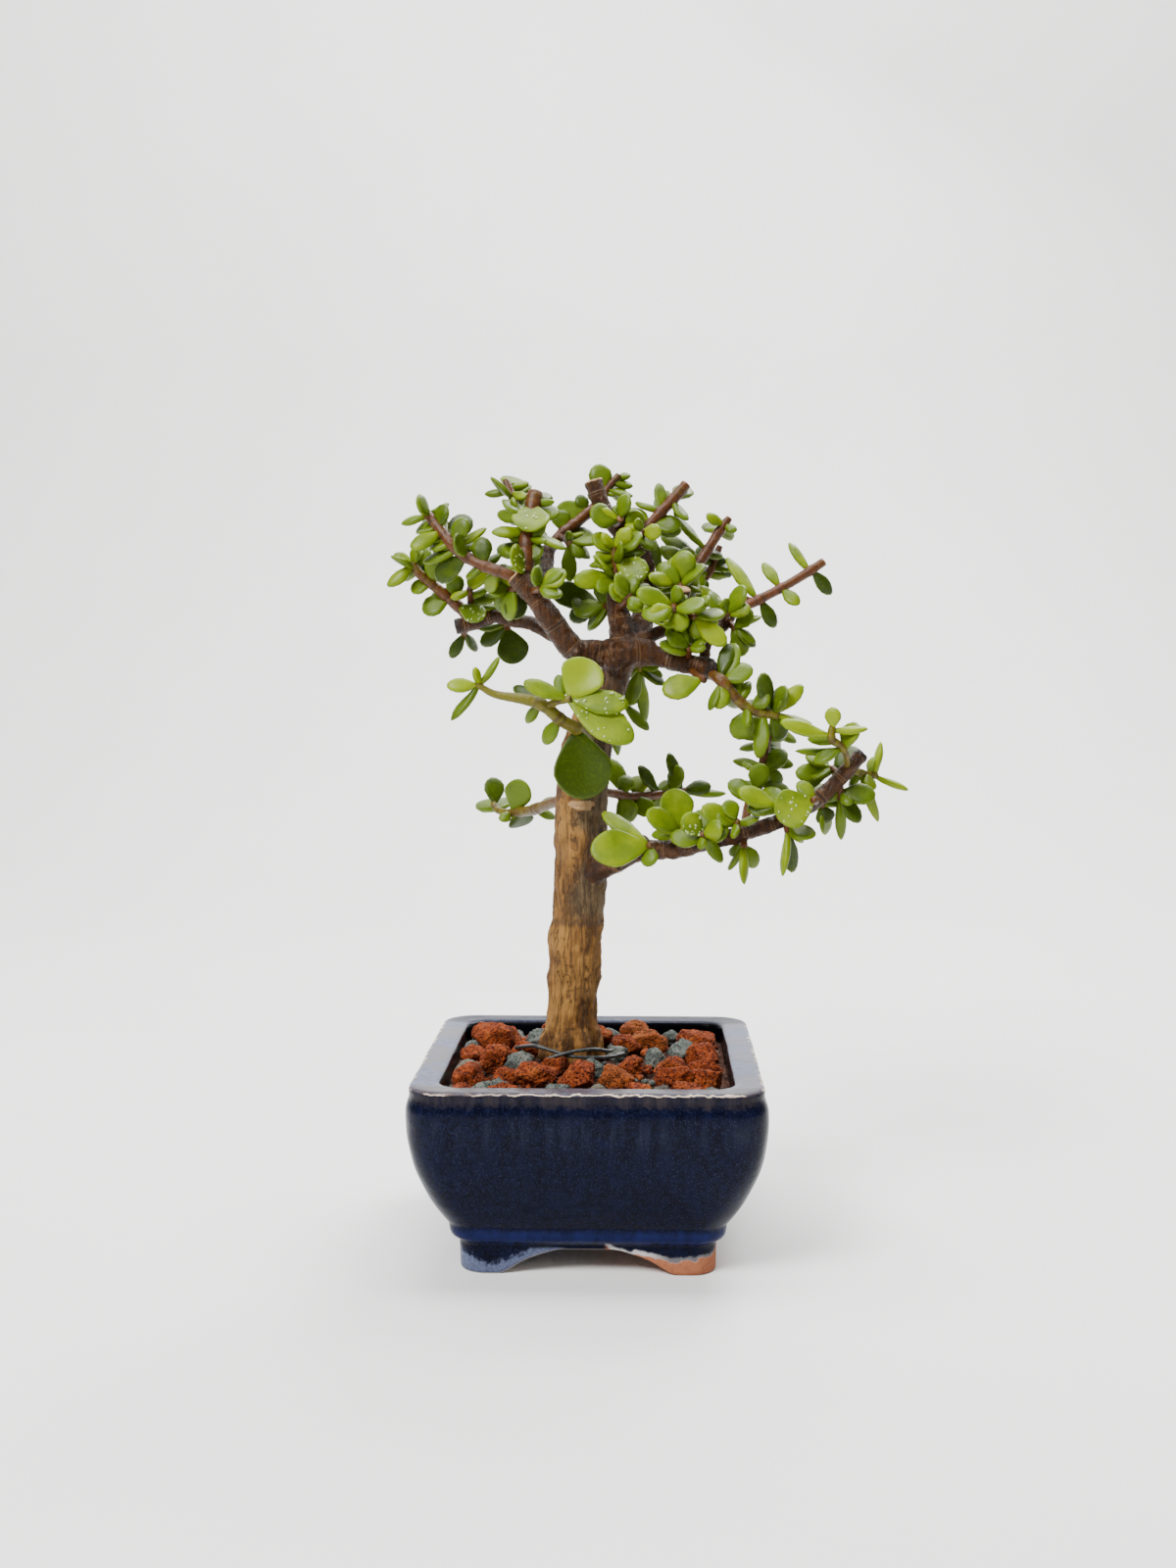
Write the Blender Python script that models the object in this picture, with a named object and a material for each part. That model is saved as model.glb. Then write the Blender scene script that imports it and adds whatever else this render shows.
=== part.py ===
"""Dwarf jade bonsai in its square glazed pot, one named object for each piece.

Lengths in the tables are millimetres. X runs to the right, Y away from the front, Z up.
The crown is laid out on the middle plane of the pot (Y = 0) as it looks from the front,
and each point is then carried along the line of sight by its own depth.
"""
import math
import random

import bpy
import bmesh
from mathutils import Matrix, Vector
from mathutils.bvhtree import BVHTree

MM = 0.001
CLEAR = 0.3                      # gap between two pieces that touch
EYE = Vector((14.0, -480.7, 173.1))   # where the crown is looked at from
DEEPEN = 1.5                     # the tables' depths are drawn out by this

# Driving sizes of the pot
RIM_Z = 56.0
RIM_HALF = 50.0
RIM_BAND = 9.0
CORNER = 10.0
FLOOR_Z = 11.0
ARCH_TOP = 7.2
ARCH_FOOT_HALF = 24.7            # the cutter is this wide just under the table
ARCH_TOP_HALF = 8.0
RECESS_RISE = 0.6                # the hollow under the floor is this much higher than the arches
FOOT_WALL = 7.0
DRAIN_RADIUS = 6.0
SCREEN_HALF = 10.0
SCREEN_THICK = 0.9
BAR_WIDTH = 1.2
BARS = 4
# (height, half width) of the outside from the table up to the rim
POT_OUTSIDE = [(0.0, 36.4), (0.9, 37.0), (5.5, 37.7), (8.0, 39.2), (11.5, 40.0), (15.5, 41.2),
               (22.5, 45.0), (33.5, 49.2), (47.5, 51.0), (51.6, 50.6), (52.6, RIM_HALF), (55.2, RIM_HALF)]
# (height, half width, corner) across the top of the rim
POT_RIM = [(RIM_Z - 0.1, RIM_HALF - 0.9, CORNER - 0.9), (RIM_Z, RIM_HALF - 2.2, CORNER - 2.2),
           (RIM_Z - 0.4, RIM_HALF - RIM_BAND + 1.5, 5.0)]
INSIDE_CORNER = 4.5
POT_INSIDE = [(54.6, 41.6), (50.0, 41.2), (33.5, 42.4), (22.5, 38.4), (15.5, 34.6), (FLOOR_Z, 33.0)]

# Driving sizes of the filling
SOIL_TOP = 44.0
GRIT_TOP = 46.4
BED_TOP = 50.4
MOUND = 5.0
STONE_LIMIT = 40.9               # how far out a stone may reach
MOUND_REACH = 42.0
# Steps of the mound under the stones: (radius, height over the bed, sides)
MOUND_STEPS = [(30.0, 1.6, 12), (18.0, 3.2, 10)]
ROOT_HOLE = 10.4
ROOT_END = 40.0
TRUNK_X = -6.0
RED_RISE = 0.26                  # a stone's middle stands this part of its width over the bed
GREY_RISE = 0.24
STONE_ROUGH = 0.16
COLUMN_PART = 0.26               # a grey stone's column is this part of its width
POCKET = 1.0                     # room round a grey stone besides the gap
WIRE_ROOM = 0.08                 # room round the wire besides the gap
WIRE_END_ROOM = 0.6

# Leaves: thick blades, narrow at the foot and cupped
LEAF_THICK = 1.7
LEAF_NECK = 0.34                 # width at the foot, as a part of the whole
LEAF_SWELL = 1.75
CUP_LONG = 0.10
CUP_WIDE = 0.035
LEAF_BACK = -0.15                # where the blade is thickest, from 1 at the foot to -1 at the tip
LEAF_SEED = 7
STONE_SEED = 11

COLOURS = {"glaze": ((0.012, 0.035, 0.10), 0.12), "mesh_black": ((0.02, 0.02, 0.02), 0.5),
           "soil_brown": ((0.06, 0.035, 0.02), 0.95), "grit_grey": ((0.20, 0.22, 0.21), 0.85),
           "lava_red": ((0.36, 0.085, 0.035), 0.9), "wire_dark": ((0.03, 0.035, 0.035), 0.45),
           "bark": ((0.20, 0.11, 0.05), 0.7), "leaf_green": ((0.16, 0.30, 0.015), 0.35)}

# Wood in one piece: rows of (x, z, depth, radius), each limb starting inside another
WOOD = {
    "stem": [(-6, 40, 0, 8.2), (-6, 52, 0, 9.2), (-6, 60, 0, 8.6), (-5.7, 68, 0, 7.5), (-5.2, 79, 0, 7.7),
             (-4.6, 91, 0, 8.2), (-3.6, 100, 0, 7.7), (-3.1, 114, 0, 7.9), (-3, 129, 0, 7.8),
             (-2.2, 142, 0, 7.8), (-0.2, 153, 0, 7.1), (3.8, 163, 0, 5.6), (7.4, 171, 0, 4.6), (9, 177, 0, 4.8)],
    "junction": [(1, 177.4, -1, 3.6), (6, 176.8, -1, 4.3), (11, 177.2, -1, 4.6), (16.5, 177.4, 0, 3.8)],
    "left_limb": [(6, 177, -1, 3.8), (0, 177.3, -2, 3.6), (-5.6, 178.6, -3, 3.7), (-12, 187, -4, 3.5),
                  (-16.3, 193.2, -4, 3.3), (-20.2, 197.7, -4, 3.2), (-23, 200.4, -4, 2.9)],
    "left_back_limb": [(-4, 178.5, 0, 2.3), (-14.3, 184.1, 7, 2.1), (-18.4, 186.1, 10, 2.1),
                       (-23.4, 186.9, 12, 2.1), (-28.7, 188.2, 13, 2.2), (-35, 186.2, 14, 2.2),
                       (-40.8, 185, 14, 2.4)],
    "back_limb": [(-15.3, 192, -3, 2.4), (-13.7, 198, 4, 2.5), (-13.5, 204, 9, 2.4), (-12.6, 208.5, 11, 2.1)],
    "middle_limb": [(9, 176, 0, 4.4), (9.2, 183, 2, 3.7), (8.2, 189, 3, 3.3), (6.8, 194.2, 3, 2.2),
                    (7.0, 196.4, 3, 1.8)],
    "top_limb": [(11, 177, 2, 4.0), (15, 186, 8, 3.4), (16.6, 196, 11, 3.2), (15, 206, 11, 3.1),
                 (12.8, 211.5, 10.5, 3.2), (11.4, 219.2, 10, 3.1)],
    "top_stub": [(13.4, 209, 10.5, 2.7), (9, 212.8, 11, 2.6), (5.4, 217, 11, 2.6), (2.6, 222.4, 11, 2.6),
                 (0.5, 228.4, 11, 2.65)],
    "tan_stub": [(13, 178.6, 1, 3.0), (17, 181.8, 2, 2.3), (22.5, 184.4, 1, 1.9), (25.8, 188.4, 0, 1.8),
                 (27, 192.4, -1, 1.9), (28, 196.5, -2, 2.05)],
    "right_limb": [(12, 177, 0, 3.8), (19.6, 176.2, -2, 3.1), (30, 173.6, -3, 3.0), (36.6, 172.2, -4, 3.1)],
    "knob_limb": [(33.6, 173.4, -3, 1.6), (34.3, 178, -1, 1.5), (35.8, 182, 2, 1.6), (39.4, 185.4, 6, 2.1),
                  (41.2, 188.6, 8, 2.3)],
    "knob_stub": [(39.6, 186, 7, 1.7), (35.4, 188.8, 9, 1.7)],
    "lower_limb": [(-2, 110.5, -1, 5.0), (5.5, 113.9, -5, 4.0), (15, 117.4, -8, 3.1), (27, 118.1, -10, 2.8),
                   (34.8, 120.4, -11, 2.6), (42.5, 121.8, -12, 2.5), (48.6, 123.7, -12, 2.4),
                   (56, 126.3, -12, 2.35), (64.6, 130.6, -11, 2.3), (69, 133.8, -11, 2.3),
                   (74, 138.8, -10, 2.3), (78, 143.2, -10, 2.3), (81.3, 147, -9, 2.25)],
}
# Knobs on the wood: (x, z, depth, radius)
KNOBS = [(-4.8, 176.9, -5.5, 1.6), (1.6, 179.0, -3.5, 2.0), (17.4, 178.6, -2.5, 2.6), (6.5, 173.6, -4, 2.4),
         (27.4, 118.3, -12.2, 1.5), (15.9, 120.6, -9, 1.7), (-3, 131.6, -6.3, 2.6), (36.4, 171.8, -5, 2.9)]
# Root flare: (heading in degrees, radius)
ROOTS = [(200, 2.4), (250, 2.8), (300, 2.6), (345, 2.6), (30, 2.5), (80, 2.6), (130, 2.5), (165, 2.2)]

# Leafy stems: "stems" holds rows of (x, z, depth, radius); the first one starts inside the wood.
# "leaves" holds rows of (foot x, foot z, tip x, tip z, width, turn, tip depth): turn 0 shows the
# whole blade from the front, 90 shows its edge, and tip depth counts from the leaf's foot.
SPRAYS = {
    "spray_left_tip": {
        "stems": [[(-21.6, 199.2, -4, 1.7), (-26.7, 201.2, -4, 1.7), (-33.3, 203.6, -3, 1.65),
                   (-38.2, 206.3, -2, 1.6), (-41.6, 209.4, -2, 1.55), (-44.1, 212.6, -1, 1.5),
                   (-46.6, 215.6, 0, 1.5), (-50.4, 220.2, 1, 1.1)]],
        "leaves": [(-41.5, 210.5, -37.0, 218.4, 7.4, 20, 4), (-40, 208.8, -30, 209.4, 5.0, 60, 3),
                   (-40.7, 209.3, -31.2, 214.4, 4.6, 70, 2), (-48.5, 218.4, -42.4, 221.7, 3.2, 70, 3),
                   (-49.6, 217.6, -57, 215.6, 4.0, 60, 1), (-48.3, 216.4, -52.4, 213, 3.6, 60, 3),
                   (-45.2, 213, -54.2, 208.4, 5.4, 35, -2), (-42.6, 210.6, -44.4, 206.8, 3.6, 30, 4),
                   (-40.6, 207.4, -50.6, 204.2, 4.6, 55, 3), (-37.6, 205.4, -46.8, 199.2, 7.6, 20, 4),
                   (-31.6, 203.4, -27.2, 206.6, 3.4, 60, 5), (-28, 201.8, -31.2, 195.4, 5.0, 30, 4)],
        "extra": 3},
    "spray_left_low": {
        "stems": [[(-36.4, 187.2, 13, 1.6), (-39.4, 190.6, 12, 1.7), (-44.4, 195, 11, 1.7),
                   (-48.1, 197.9, 10, 1.5), (-51.9, 201.2, 9, 1.3), (-53.6, 204.4, 9, 1.0)]],
        "leaves": [(-53.6, 203.6, -52.6, 208.6, 3.6, 30, -2), (-53.2, 204.2, -59.2, 206.8, 4.0, 35, 0),
                   (-53.6, 203.4, -61.2, 197, 4.6, 35, -1), (-53.8, 204, -50.6, 207.8, 3.0, 50, 2),
                   (-40, 191.2, -31.8, 187.6, 6.4, 15, -6), (-41, 191.8, -44.8, 196.6, 3.0, 60, 4)],
        "extra": 1},
    "spray_left_pair": {
        "stems": [[(-33.6, 187.0, 13, 1.1), (-36.0, 190.5, 13.5, 1.0), (-36.4, 196.4, 9, 0.9)]],
        "leaves": [(-36.3, 196.2, -29.8, 203.2, 4.4, 45, -2), (-36.3, 196.0, -42.2, 193.4, 4.0, 60, -1),
                   (-36.2, 192.4, -26.8, 194.4, 4.6, 60, -2), (-36, 191.2, -27.6, 191.0, 3.8, 60, 0)]},
    "spray_left_hang": {
        "stems": [[(-25.4, 186.9, 12.4, 1.2), (-25.2, 185.2, 15.4, 1.0), (-24.9, 184.2, 17, 0.9)]],
        "leaves": [(-25.0, 184.6, -22.6, 173.8, 9.6, 8, 1), (-25.2, 185.0, -33.4, 179.8, 5.6, 20, 3),
                   (-25.2, 185.2, -34.6, 184.4, 3.4, 65, 2)]},
    "spray_left_drop": {
        "stems": [[(-37.6, 185.6, 14, 1.2), (-38.0, 183.4, 17.4, 0.95), (-38.4, 182.2, 18.6, 0.85)]],
        "leaves": [(-38.2, 182.8, -42.4, 175.6, 4.2, 30, 1), (-38.0, 183.2, -34.2, 177.8, 3.6, 40, 5)]},
    "spray_left_inner": {
        "stems": [[(-21.2, 197.4, -4, 1.2), (-23.6, 196.2, -0.4, 1.0), (-24.8, 196.0, 2.2, 0.9)]],
        "leaves": [(-24.2, 196.2, -21.8, 187.2, 7.6, 12, 1), (-24.4, 196.2, -30.4, 198.6, 5.0, 25, 4),
                   (-24.4, 196.6, -25.4, 202.6, 4.0, 30, 6)]},
    "spray_left_stub": {
        "stems": [[(-19.9, 198.6, -4, 2.3), (-19.4, 205, -2, 2.4), (-18.9, 212, 0, 2.35),
                   (-16.6, 225, 3, 2.15)],
                  [(-19, 211.5, 0, 1.4), (-21.6, 217.5, 3, 1.3), (-23.4, 223.3, 5, 1.2), (-25.6, 228.6, 6, 1.0)]],
        "leaves": [(-17.2, 221.4, -18.6, 213.4, 11.0, 6, -6), (-19.2, 205.4, -26.4, 204.6, 8.6, 8, -5.5),
                   (-24.6, 225.2, -31.9, 224.4, 2.6, 60, 1), (-24.6, 225.6, -18.6, 227.8, 3.0, 60, 3),
                   (-23.8, 224.4, -19.2, 223.6, 3.0, 50, -3), (-16.8, 223.4, -11.4, 223.6, 3.4, 35, 4),
                   (-17.2, 221.8, -10.8, 222.0, 2.6, 55, 0), (-20.8, 216, -27.8, 219.2, 4.6, 30, 4),
                   (-22.0, 218.4, -20.0, 223.0, 4.4, 30, 5), (-19, 213.6, -29.8, 212.9, 5.0, 50, -3),
                   (-18.8, 213.8, -7.4, 207.9, 4.8, 60, -2), (-18.9, 211.4, -13.4, 210.2, 2.6, 35, -5),
                   (-19.2, 207.4, -15.6, 201.8, 5.4, 30, 4), (-19.3, 206.4, -29.2, 209.0, 6.0, 25, 5)],
        "extra": 1},
    "spray_left_fork": {
        "stems": [[(-18.2, 195.4, -4, 1.2), (-15.8, 196.2, -8.4, 1.0), (-15.2, 196.8, -9.4, 0.9)]],
        "leaves": [(-15.4, 196.6, -8.4, 201.6, 4.2, 55, -1), (-15.6, 196.6, -16.6, 203.0, 3.4, 60, 3)]},
    "spray_back_twig": {
        "stems": [[(-13.0, 206.8, 10.6, 1.6), (-9.2, 212, 13, 1.8), (-3, 217, 15.5, 1.7),
                   (2, 221.6, 17.5, 1.4), (5, 226, 18, 1.1), (8.4, 230.0, 18, 0.9)],
                  [(-9.6, 211.6, 12.8, 1.1), (-7.6, 211.0, 9.4, 1.0), (-6.4, 209.4, 6.6, 0.95)]],
        "leaves": [(-5.6, 214.8, -5.8, 222.4, 9.4, 12, 2), (-6.3, 208.4, -6.4, 198.4, 5.0, 20, -2),
                   (-6.4, 209.2, -6.6, 213.6, 2.4, 40, -1), (-6.2, 208.8, 4.6, 211.0, 4.4, 60, -1),
                   (6.2, 227.4, 12.6, 226.8, 3.4, 55, 1), (5, 225.4, 12.6, 223.6, 3.2, 60, -2),
                   (7.8, 229.2, 11.8, 229.9, 2.6, 50, 1)],
        "extra": 1},
    "spray_middle": {
        "stems": [[(6.9, 195.4, 3, 1.3), (7.6, 201, 3, 1.25), (7.1, 205, 3, 1.2), (6.9, 209.2, 3, 0.95)]],
        "leaves": [(7, 208.6, 11.8, 213.9, 5.2, 12, -2), (7, 208.6, 3.2, 212.6, 3.8, 40, -2),
                   (7.1, 205.4, 0.4, 205.4, 3.8, 55, -2), (7.2, 204.6, -0.8, 203.2, 4.0, 60, 1),
                   (7.1, 206.0, 1.4, 207.2, 3.0, 60, 4), (7.3, 206.4, 16.2, 207.2, 4.2, 60, 2),
                   (7.3, 204.4, 15.2, 204.6, 4.2, 55, 1), (7.4, 205.0, 16.8, 199.6, 8.4, 15, -4),
                   (7.5, 200, -5.3, 198.4, 6.6, 20, -3), (7.5, 199.4, 1.9, 195.6, 5.2, 10, -4),
                   (7.6, 199.8, 15.8, 198.0, 4.4, 55, 2), (7.2, 203.6, 9.4, 210.0, 4.4, 70, -5)]},
    "spray_middle_low": {
        "stems": [[(8.4, 190.6, 2, 1.4), (10.6, 192.6, -2.6, 1.0), (11.6, 194.6, -4.2, 0.9)]],
        "leaves": [(11.2, 193.8, 8.0, 197.6, 3.8, 30, -1), (11.4, 193.8, 14.6, 190.2, 5.0, 35, -2),
                   (11.6, 194.6, 13.2, 198.2, 3.4, 40, 3), (11.6, 194.4, 17.4, 197.4, 4.6, 30, 4)]},
    "spray_dark_back": {
        "stems": [[(7.6, 190.4, 4, 1.5), (4.6, 190.8, 8.4, 1.1), (1.4, 191.4, 11, 1.0)]],
        "leaves": [(3.4, 191.0, -12.4, 196.6, 8.2, 15, 4), (2.0, 191.2, -6.6, 187.6, 6.4, 20, 4),
                   (1.6, 191.4, 4.2, 195.6, 3.4, 40, 3)]},
    "spray_top": {
        "stems": [[(13.6, 211.6, 9.0, 1.3), (15.4, 212.6, 5.4, 1.1), (14.6, 213.6, 4.4, 0.95)]],
        "leaves": [(15.0, 213.2, 21.0, 213.0, 5.0, 12, -2), (14.8, 213.4, 13.4, 217.0, 3.0, 40, -2)]},
    "spray_top_face": {
        "stems": [[(7.0, 215.2, 10.4, 1.3), (8.4, 216.2, 6.4, 1.1), (8.8, 217.2, 5.0, 0.95)]],
        "leaves": [(8.6, 217.2, 0.8, 217.6, 6.4, 8, -2), (8.7, 217.4, 7.2, 221.0, 3.0, 40, 1)]},
    "spray_top_right": {
        "stems": [[(14.6, 210.2, 11, 1.5), (17.9, 215.6, 13, 1.65), (24.6, 222.9, 15, 1.6),
                   (28.3, 227.1, 16, 1.6)]],
        "leaves": [(20.9, 218.8, 20.3, 227.7, 3.8, 15, 3), (20.9, 219, 13, 221.8, 3.4, 75, 2),
                   (24.2, 222.0, 28.8, 216.4, 4.4, 60, -3), (17.2, 214.6, 27.0, 213.6, 5.6, 25, 3),
                   (17.2, 214.2, 20.4, 201.6, 4.6, 45, 3)],
        "extra": 1},
    "spray_right_stick": {
        "stems": [[(17.4, 194.4, 12, 1.7), (23.6, 197.8, 14.5, 1.6), (30.7, 202, 16, 1.55),
                   (38.1, 213, 18, 1.5), (41.2, 217.2, 18.5, 1.0)]],
        "leaves": [(39.8, 215.2, 34.2, 217.9, 3.8, 30, -3), (39.8, 215.0, 43.2, 213.2, 3.2, 40, -2),
                   (34.4, 207.6, 24.4, 219.0, 4.0, 60, 3), (31.2, 202.8, 20.4, 208.6, 5.6, 30, 3),
                   (31.4, 202.6, 28.6, 208.8, 4.4, 35, 5), (32.8, 205.0, 20.8, 212.4, 5.0, 30, 6)],
        "extra": 1},
    "spray_right_back": {
        "stems": [[(16.6, 188.6, 10, 1.4), (24, 191.0, 17, 1.3), (31.2, 196.2, 21, 1.2),
                   (35.6, 201.7, 22.5, 1.1), (38.4, 208.9, 23, 0.9)]],
        "leaves": [(37.6, 206.6, 41.8, 199.6, 4.4, 45, 2), (35.2, 201.2, 31.4, 200.0, 3.4, 35, -1),
                   (34.8, 200.6, 41.2, 199.9, 2.8, 70, 3), (31.6, 196.6, 25.6, 203.0, 7.0, 20, 3),
                   (30.4, 195.6, 29.0, 190.0, 5.0, 30, 2), (28.6, 194.2, 32.4, 189.4, 4.4, 40, 4)],
        "extra": 1},
    "spray_long_right": {
        "stems": [[(40.6, 187.8, 8, 1.5), (44.3, 190, 9, 1.5), (47.5, 191.6, 10, 1.5), (57.9, 197, 11, 1.4),
                   (65, 201.3, 12, 1.4), (69.3, 204.2, 12.5, 1.3)],
                  [(49, 192.4, 10.2, 0.9), (45.8, 193.4, 12, 0.8)]],
        "leaves": [(49.6, 193.4, 40.4, 205.6, 4.8, 45, 4), (50.8, 192.6, 55, 184.6, 4.6, 20, 1),
                   (56.3, 196.8, 51.3, 204.0, 4.2, 30, 3), (56.5, 197.0, 61.9, 191.3, 4.4, 25, -3),
                   (64.9, 201.4, 58.8, 209.9, 3.4, 50, 3), (66, 201.4, 71.7, 194.5, 4.6, 25, 2)],
        "extra": 0},
    "spray_knob_front": {
        "stems": [[(40.2, 186.8, 7, 1.2), (40.4, 188.0, 3.6, 1.0), (40.8, 188.8, 1.6, 0.9)]],
        "leaves": [(40.6, 188.6, 47.6, 190.6, 4.4, 30, -3), (40.6, 188.4, 40.2, 193.6, 3.0, 40, -1),
                   (40.4, 187.8, 32.8, 197.2, 4.6, 40, -2)]},
    "spray_knob_low": {
        "stems": [[(40.6, 186.8, 6.6, 1.2), (42.6, 184.8, 4.6, 0.95), (43.0, 184.2, 3.8, 0.85)]],
        "leaves": [(42.8, 184.6, 49.2, 180, 3.8, 50, -1), (42.8, 184.4, 43.6, 180.0, 3.4, 35, 4)]},
    "spray_bright_pair": {
        "stems": [[(25.4, 187.8, 0, 1.2), (28.8, 188.6, -4, 1.0), (31.4, 187.6, -6, 0.95)]],
        "leaves": [(31.2, 187.2, 40.4, 179.4, 6.2, 12, -2), (29.0, 188.4, 32.0, 179.6, 7.4, 20, 3),
                   (31.2, 187.8, 35.0, 188.6, 3.6, 35, 3)]},
    "spray_wet_round": {
        "stems": [[(26.6, 191.2, -0.8, 1.2), (25.0, 191.0, -5.6, 1.0), (24.8, 189.8, -7.6, 0.95)]],
        "leaves": [(25.0, 189.4, 17.6, 187.4, 6.8, 6, -2), (24.8, 191.0, 13.6, 195.6, 6.4, 25, -1),
                   (24.6, 189.6, 11.8, 191.4, 4.6, 45, 4), (24.9, 190.6, 24.6, 185.6, 3.0, 55, 3)]},
    "spray_crown_right": {
        "stems": [[(27.4, 194.6, -1.6, 1.2), (26.4, 197.6, 3.4, 1.0), (26.4, 198.4, 4.6, 0.95)]],
        "leaves": [(26.4, 198.0, 16.0, 199.8, 5.4, 40, -5), (26.6, 198.0, 31.8, 200.0, 6.4, 15, 3),
                   (26.4, 198.2, 24.8, 203.4, 5.6, 30, 4)]},
    "spray_right_top": {
        "stems": [[(29.0, 174.6, -3, 1.2), (29.2, 178.0, -5.4, 1.0), (29.4, 179.0, -6, 0.9)]],
        "leaves": [(29.4, 178.8, 22.8, 184.8, 5.6, 20, 1), (29.4, 178.4, 34.4, 178.6, 3.2, 45, -2),
                   (29.2, 178.0, 22.0, 178.4, 2.8, 70, 1)]},
    "spray_big_oval": {
        "stems": [[(29.6, 172.4, -3.4, 1.2), (32.0, 170.2, -7.8, 1.0), (34.2, 168.9, -9.6, 0.95)]],
        "leaves": [(34.6, 168.8, 21.4, 165.2, 8.4, 25, -1)]},
    "spray_junction_hang": {
        "stems": [[(13.2, 176.4, 0.5, 1.3), (14.4, 172.8, 4.6, 1.1), (14.8, 171.8, 6.6, 1.0)]],
        "leaves": [(14.4, 172.4, 11.2, 161.2, 5.0, 15, 2), (14.8, 172.2, 16.6, 156.6, 4.6, 35, 4),
                   (14.8, 172.4, 21.6, 170.0, 4.0, 25, 2), (14.6, 172.4, 14.0, 166.0, 4.6, 25, 6)]},
    "spray_trunk_back": {
        "stems": [[(2.4, 157.6, 2, 1.4), (6.4, 160.4, 8, 1.1), (10.4, 162.2, 12, 0.95)]],
        "leaves": [(10.2, 162.0, 17.6, 154.0, 4.4, 40, 2), (10.4, 162.2, 15.0, 164.6, 3.6, 50, 4),
                   (6.4, 160.4, 8.4, 146.2, 4.6, 60, 4)]},
    "spray_right_end": {
        "stems": [[(34.6, 171.8, -4.2, 1.7), (38.4, 169.4, -8.2, 1.7), (40.4, 167.6, -8.6, 1.65),
                   (43.4, 163.6, -8.4, 1.6), (48, 160.2, -8, 1.6), (51.6, 159.3, -8, 1.5), (56.2, 158.6, -8, 1.2)]],
        "leaves": [(39.4, 168.4, 35.4, 159.9, 3.6, 45, -2), (46.8, 161.4, 46.6, 154.6, 3.6, 45, -3),
                   (40.6, 167.4, 42.6, 180.2, 6.4, 20, 4), (44.2, 163.0, 42.6, 172.8, 5.2, 15, 4),
                   (45.0, 162.4, 47.4, 168.8, 3.6, 40, 2), (53.4, 159.0, 51.4, 171.4, 5.6, 20, -1),
                   (55.6, 158.7, 63.4, 167.6, 5.0, 15, 1), (56, 158.6, 66.4, 155.8, 3.8, 60, 1),
                   (52.2, 159.2, 50.4, 145.4, 5.0, 30, -2), (55.8, 158.6, 57.6, 163.4, 3.0, 45, -2),
                   (38.6, 169.0, 40.6, 177.0, 5.0, 20, 6)],
        "extra": 1},
    "spray_upright_right": {
        "stems": [[(46.4, 123.6, -12, 1.4), (47.4, 131, -6, 1.4), (50.6, 137.4, -2, 1.35),
                   (51.8, 144.8, 0, 1.25), (53, 151.4, 2, 1.1), (54.2, 155.6, 3, 1.0)]],
        "leaves": [(51.5, 143.4, 42.6, 144.9, 3.6, 40, 3), (52.2, 145.4, 60.9, 143.6, 4.4, 35, 2),
                   (51.3, 142.0, 57.9, 138.6, 5.0, 25, 3), (53.4, 152.8, 44.2, 152.6, 4.2, 40, 4),
                   (52.8, 150.2, 44.6, 148.4, 3.6, 45, 5), (53.8, 154.2, 62, 150.8, 4.4, 50, 3),
                   (51.0, 138.2, 60.2, 135.2, 5.4, 35, 4), (48.6, 133.6, 46.2, 139.0, 5.2, 25, 5)],
        "extra": 1},
    "spray_small_lime": {
        "stems": [[(77.0, 142.2, -10, 1.0), (76.6, 146.6, -13.6, 0.9), (75, 149.3, -14.6, 0.95),
                   (72.2, 151.4, -15, 1.3), (72.4, 155.4, -15, 0.9)]],
        "leaves": [(72.4, 154.8, 72.6, 160.9, 5.0, 10, -1), (72.4, 154.0, 83.1, 154.4, 3.6, 60, 0),
                   (71.8, 152.2, 56.7, 156.6, 5.0, 30, -2), (73.6, 150.4, 65.0, 152.2, 4.6, 30, 5),
                   (75.4, 148.8, 66.8, 144.4, 4.6, 35, 0), (75.8, 148.0, 61.2, 147.8, 3.6, 60, 6)]},
    "spray_right_curl": {
        "stems": [[(75.4, 140.2, -10, 1.1), (72.8, 142.2, -5.6, 1.0), (71.0, 142.6, -4, 0.95)]],
        "leaves": [(71.4, 142.4, 61.4, 140.6, 6.0, 20, -1), (72.0, 142.4, 62.6, 136.4, 4.6, 30, 3),
                   (72.6, 142.2, 64.4, 146.0, 3.6, 50, 3)]},
    "spray_right_tip": {
        "stems": [[(77.4, 142.4, -9.8, 1.1), (80.6, 141.4, -5.6, 1.1), (84, 140.5, -4, 1.0),
                   (86, 140.4, -3.6, 0.95)]],
        "leaves": [(85.8, 140.4, 86.8, 150.8, 3.2, 55, 1), (85.8, 140.3, 95.6, 136.2, 3.0, 70, 0),
                   (83.4, 140.8, 84.8, 146.2, 3.6, 40, 2), (82.8, 141.0, 84.4, 136.0, 4.4, 30, -3),
                   (81.2, 141.2, 86.6, 126.4, 3.8, 50, 4), (80.8, 141.2, 77.4, 136.8, 4.0, 60, 3)]},
    "spray_right_drop": {
        "stems": [[(74.2, 139.0, -10, 1.2), (75.0, 135.2, -9.0, 1.0), (74.8, 133.2, -8.6, 0.95)]],
        "leaves": [(75, 134.4, 81, 126.2, 5.4, 20, -1), (74.8, 133.4, 75.5, 120.8, 3.8, 35, 2),
                   (75.0, 135.0, 78.2, 131.6, 3.4, 30, -3)]},
    "spray_round_wet": {
        "stems": [[(67.4, 132.4, -11, 1.3), (67.6, 133.0, -16.4, 1.1), (66.8, 133.0, -18, 1.0)]],
        "leaves": [(67.2, 132.8, 55.6, 128.4, 12.0, 5, -1), (67.4, 133.2, 62.2, 138.6, 5.0, 25, 2)]},
    "spray_dark_under": {
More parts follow.
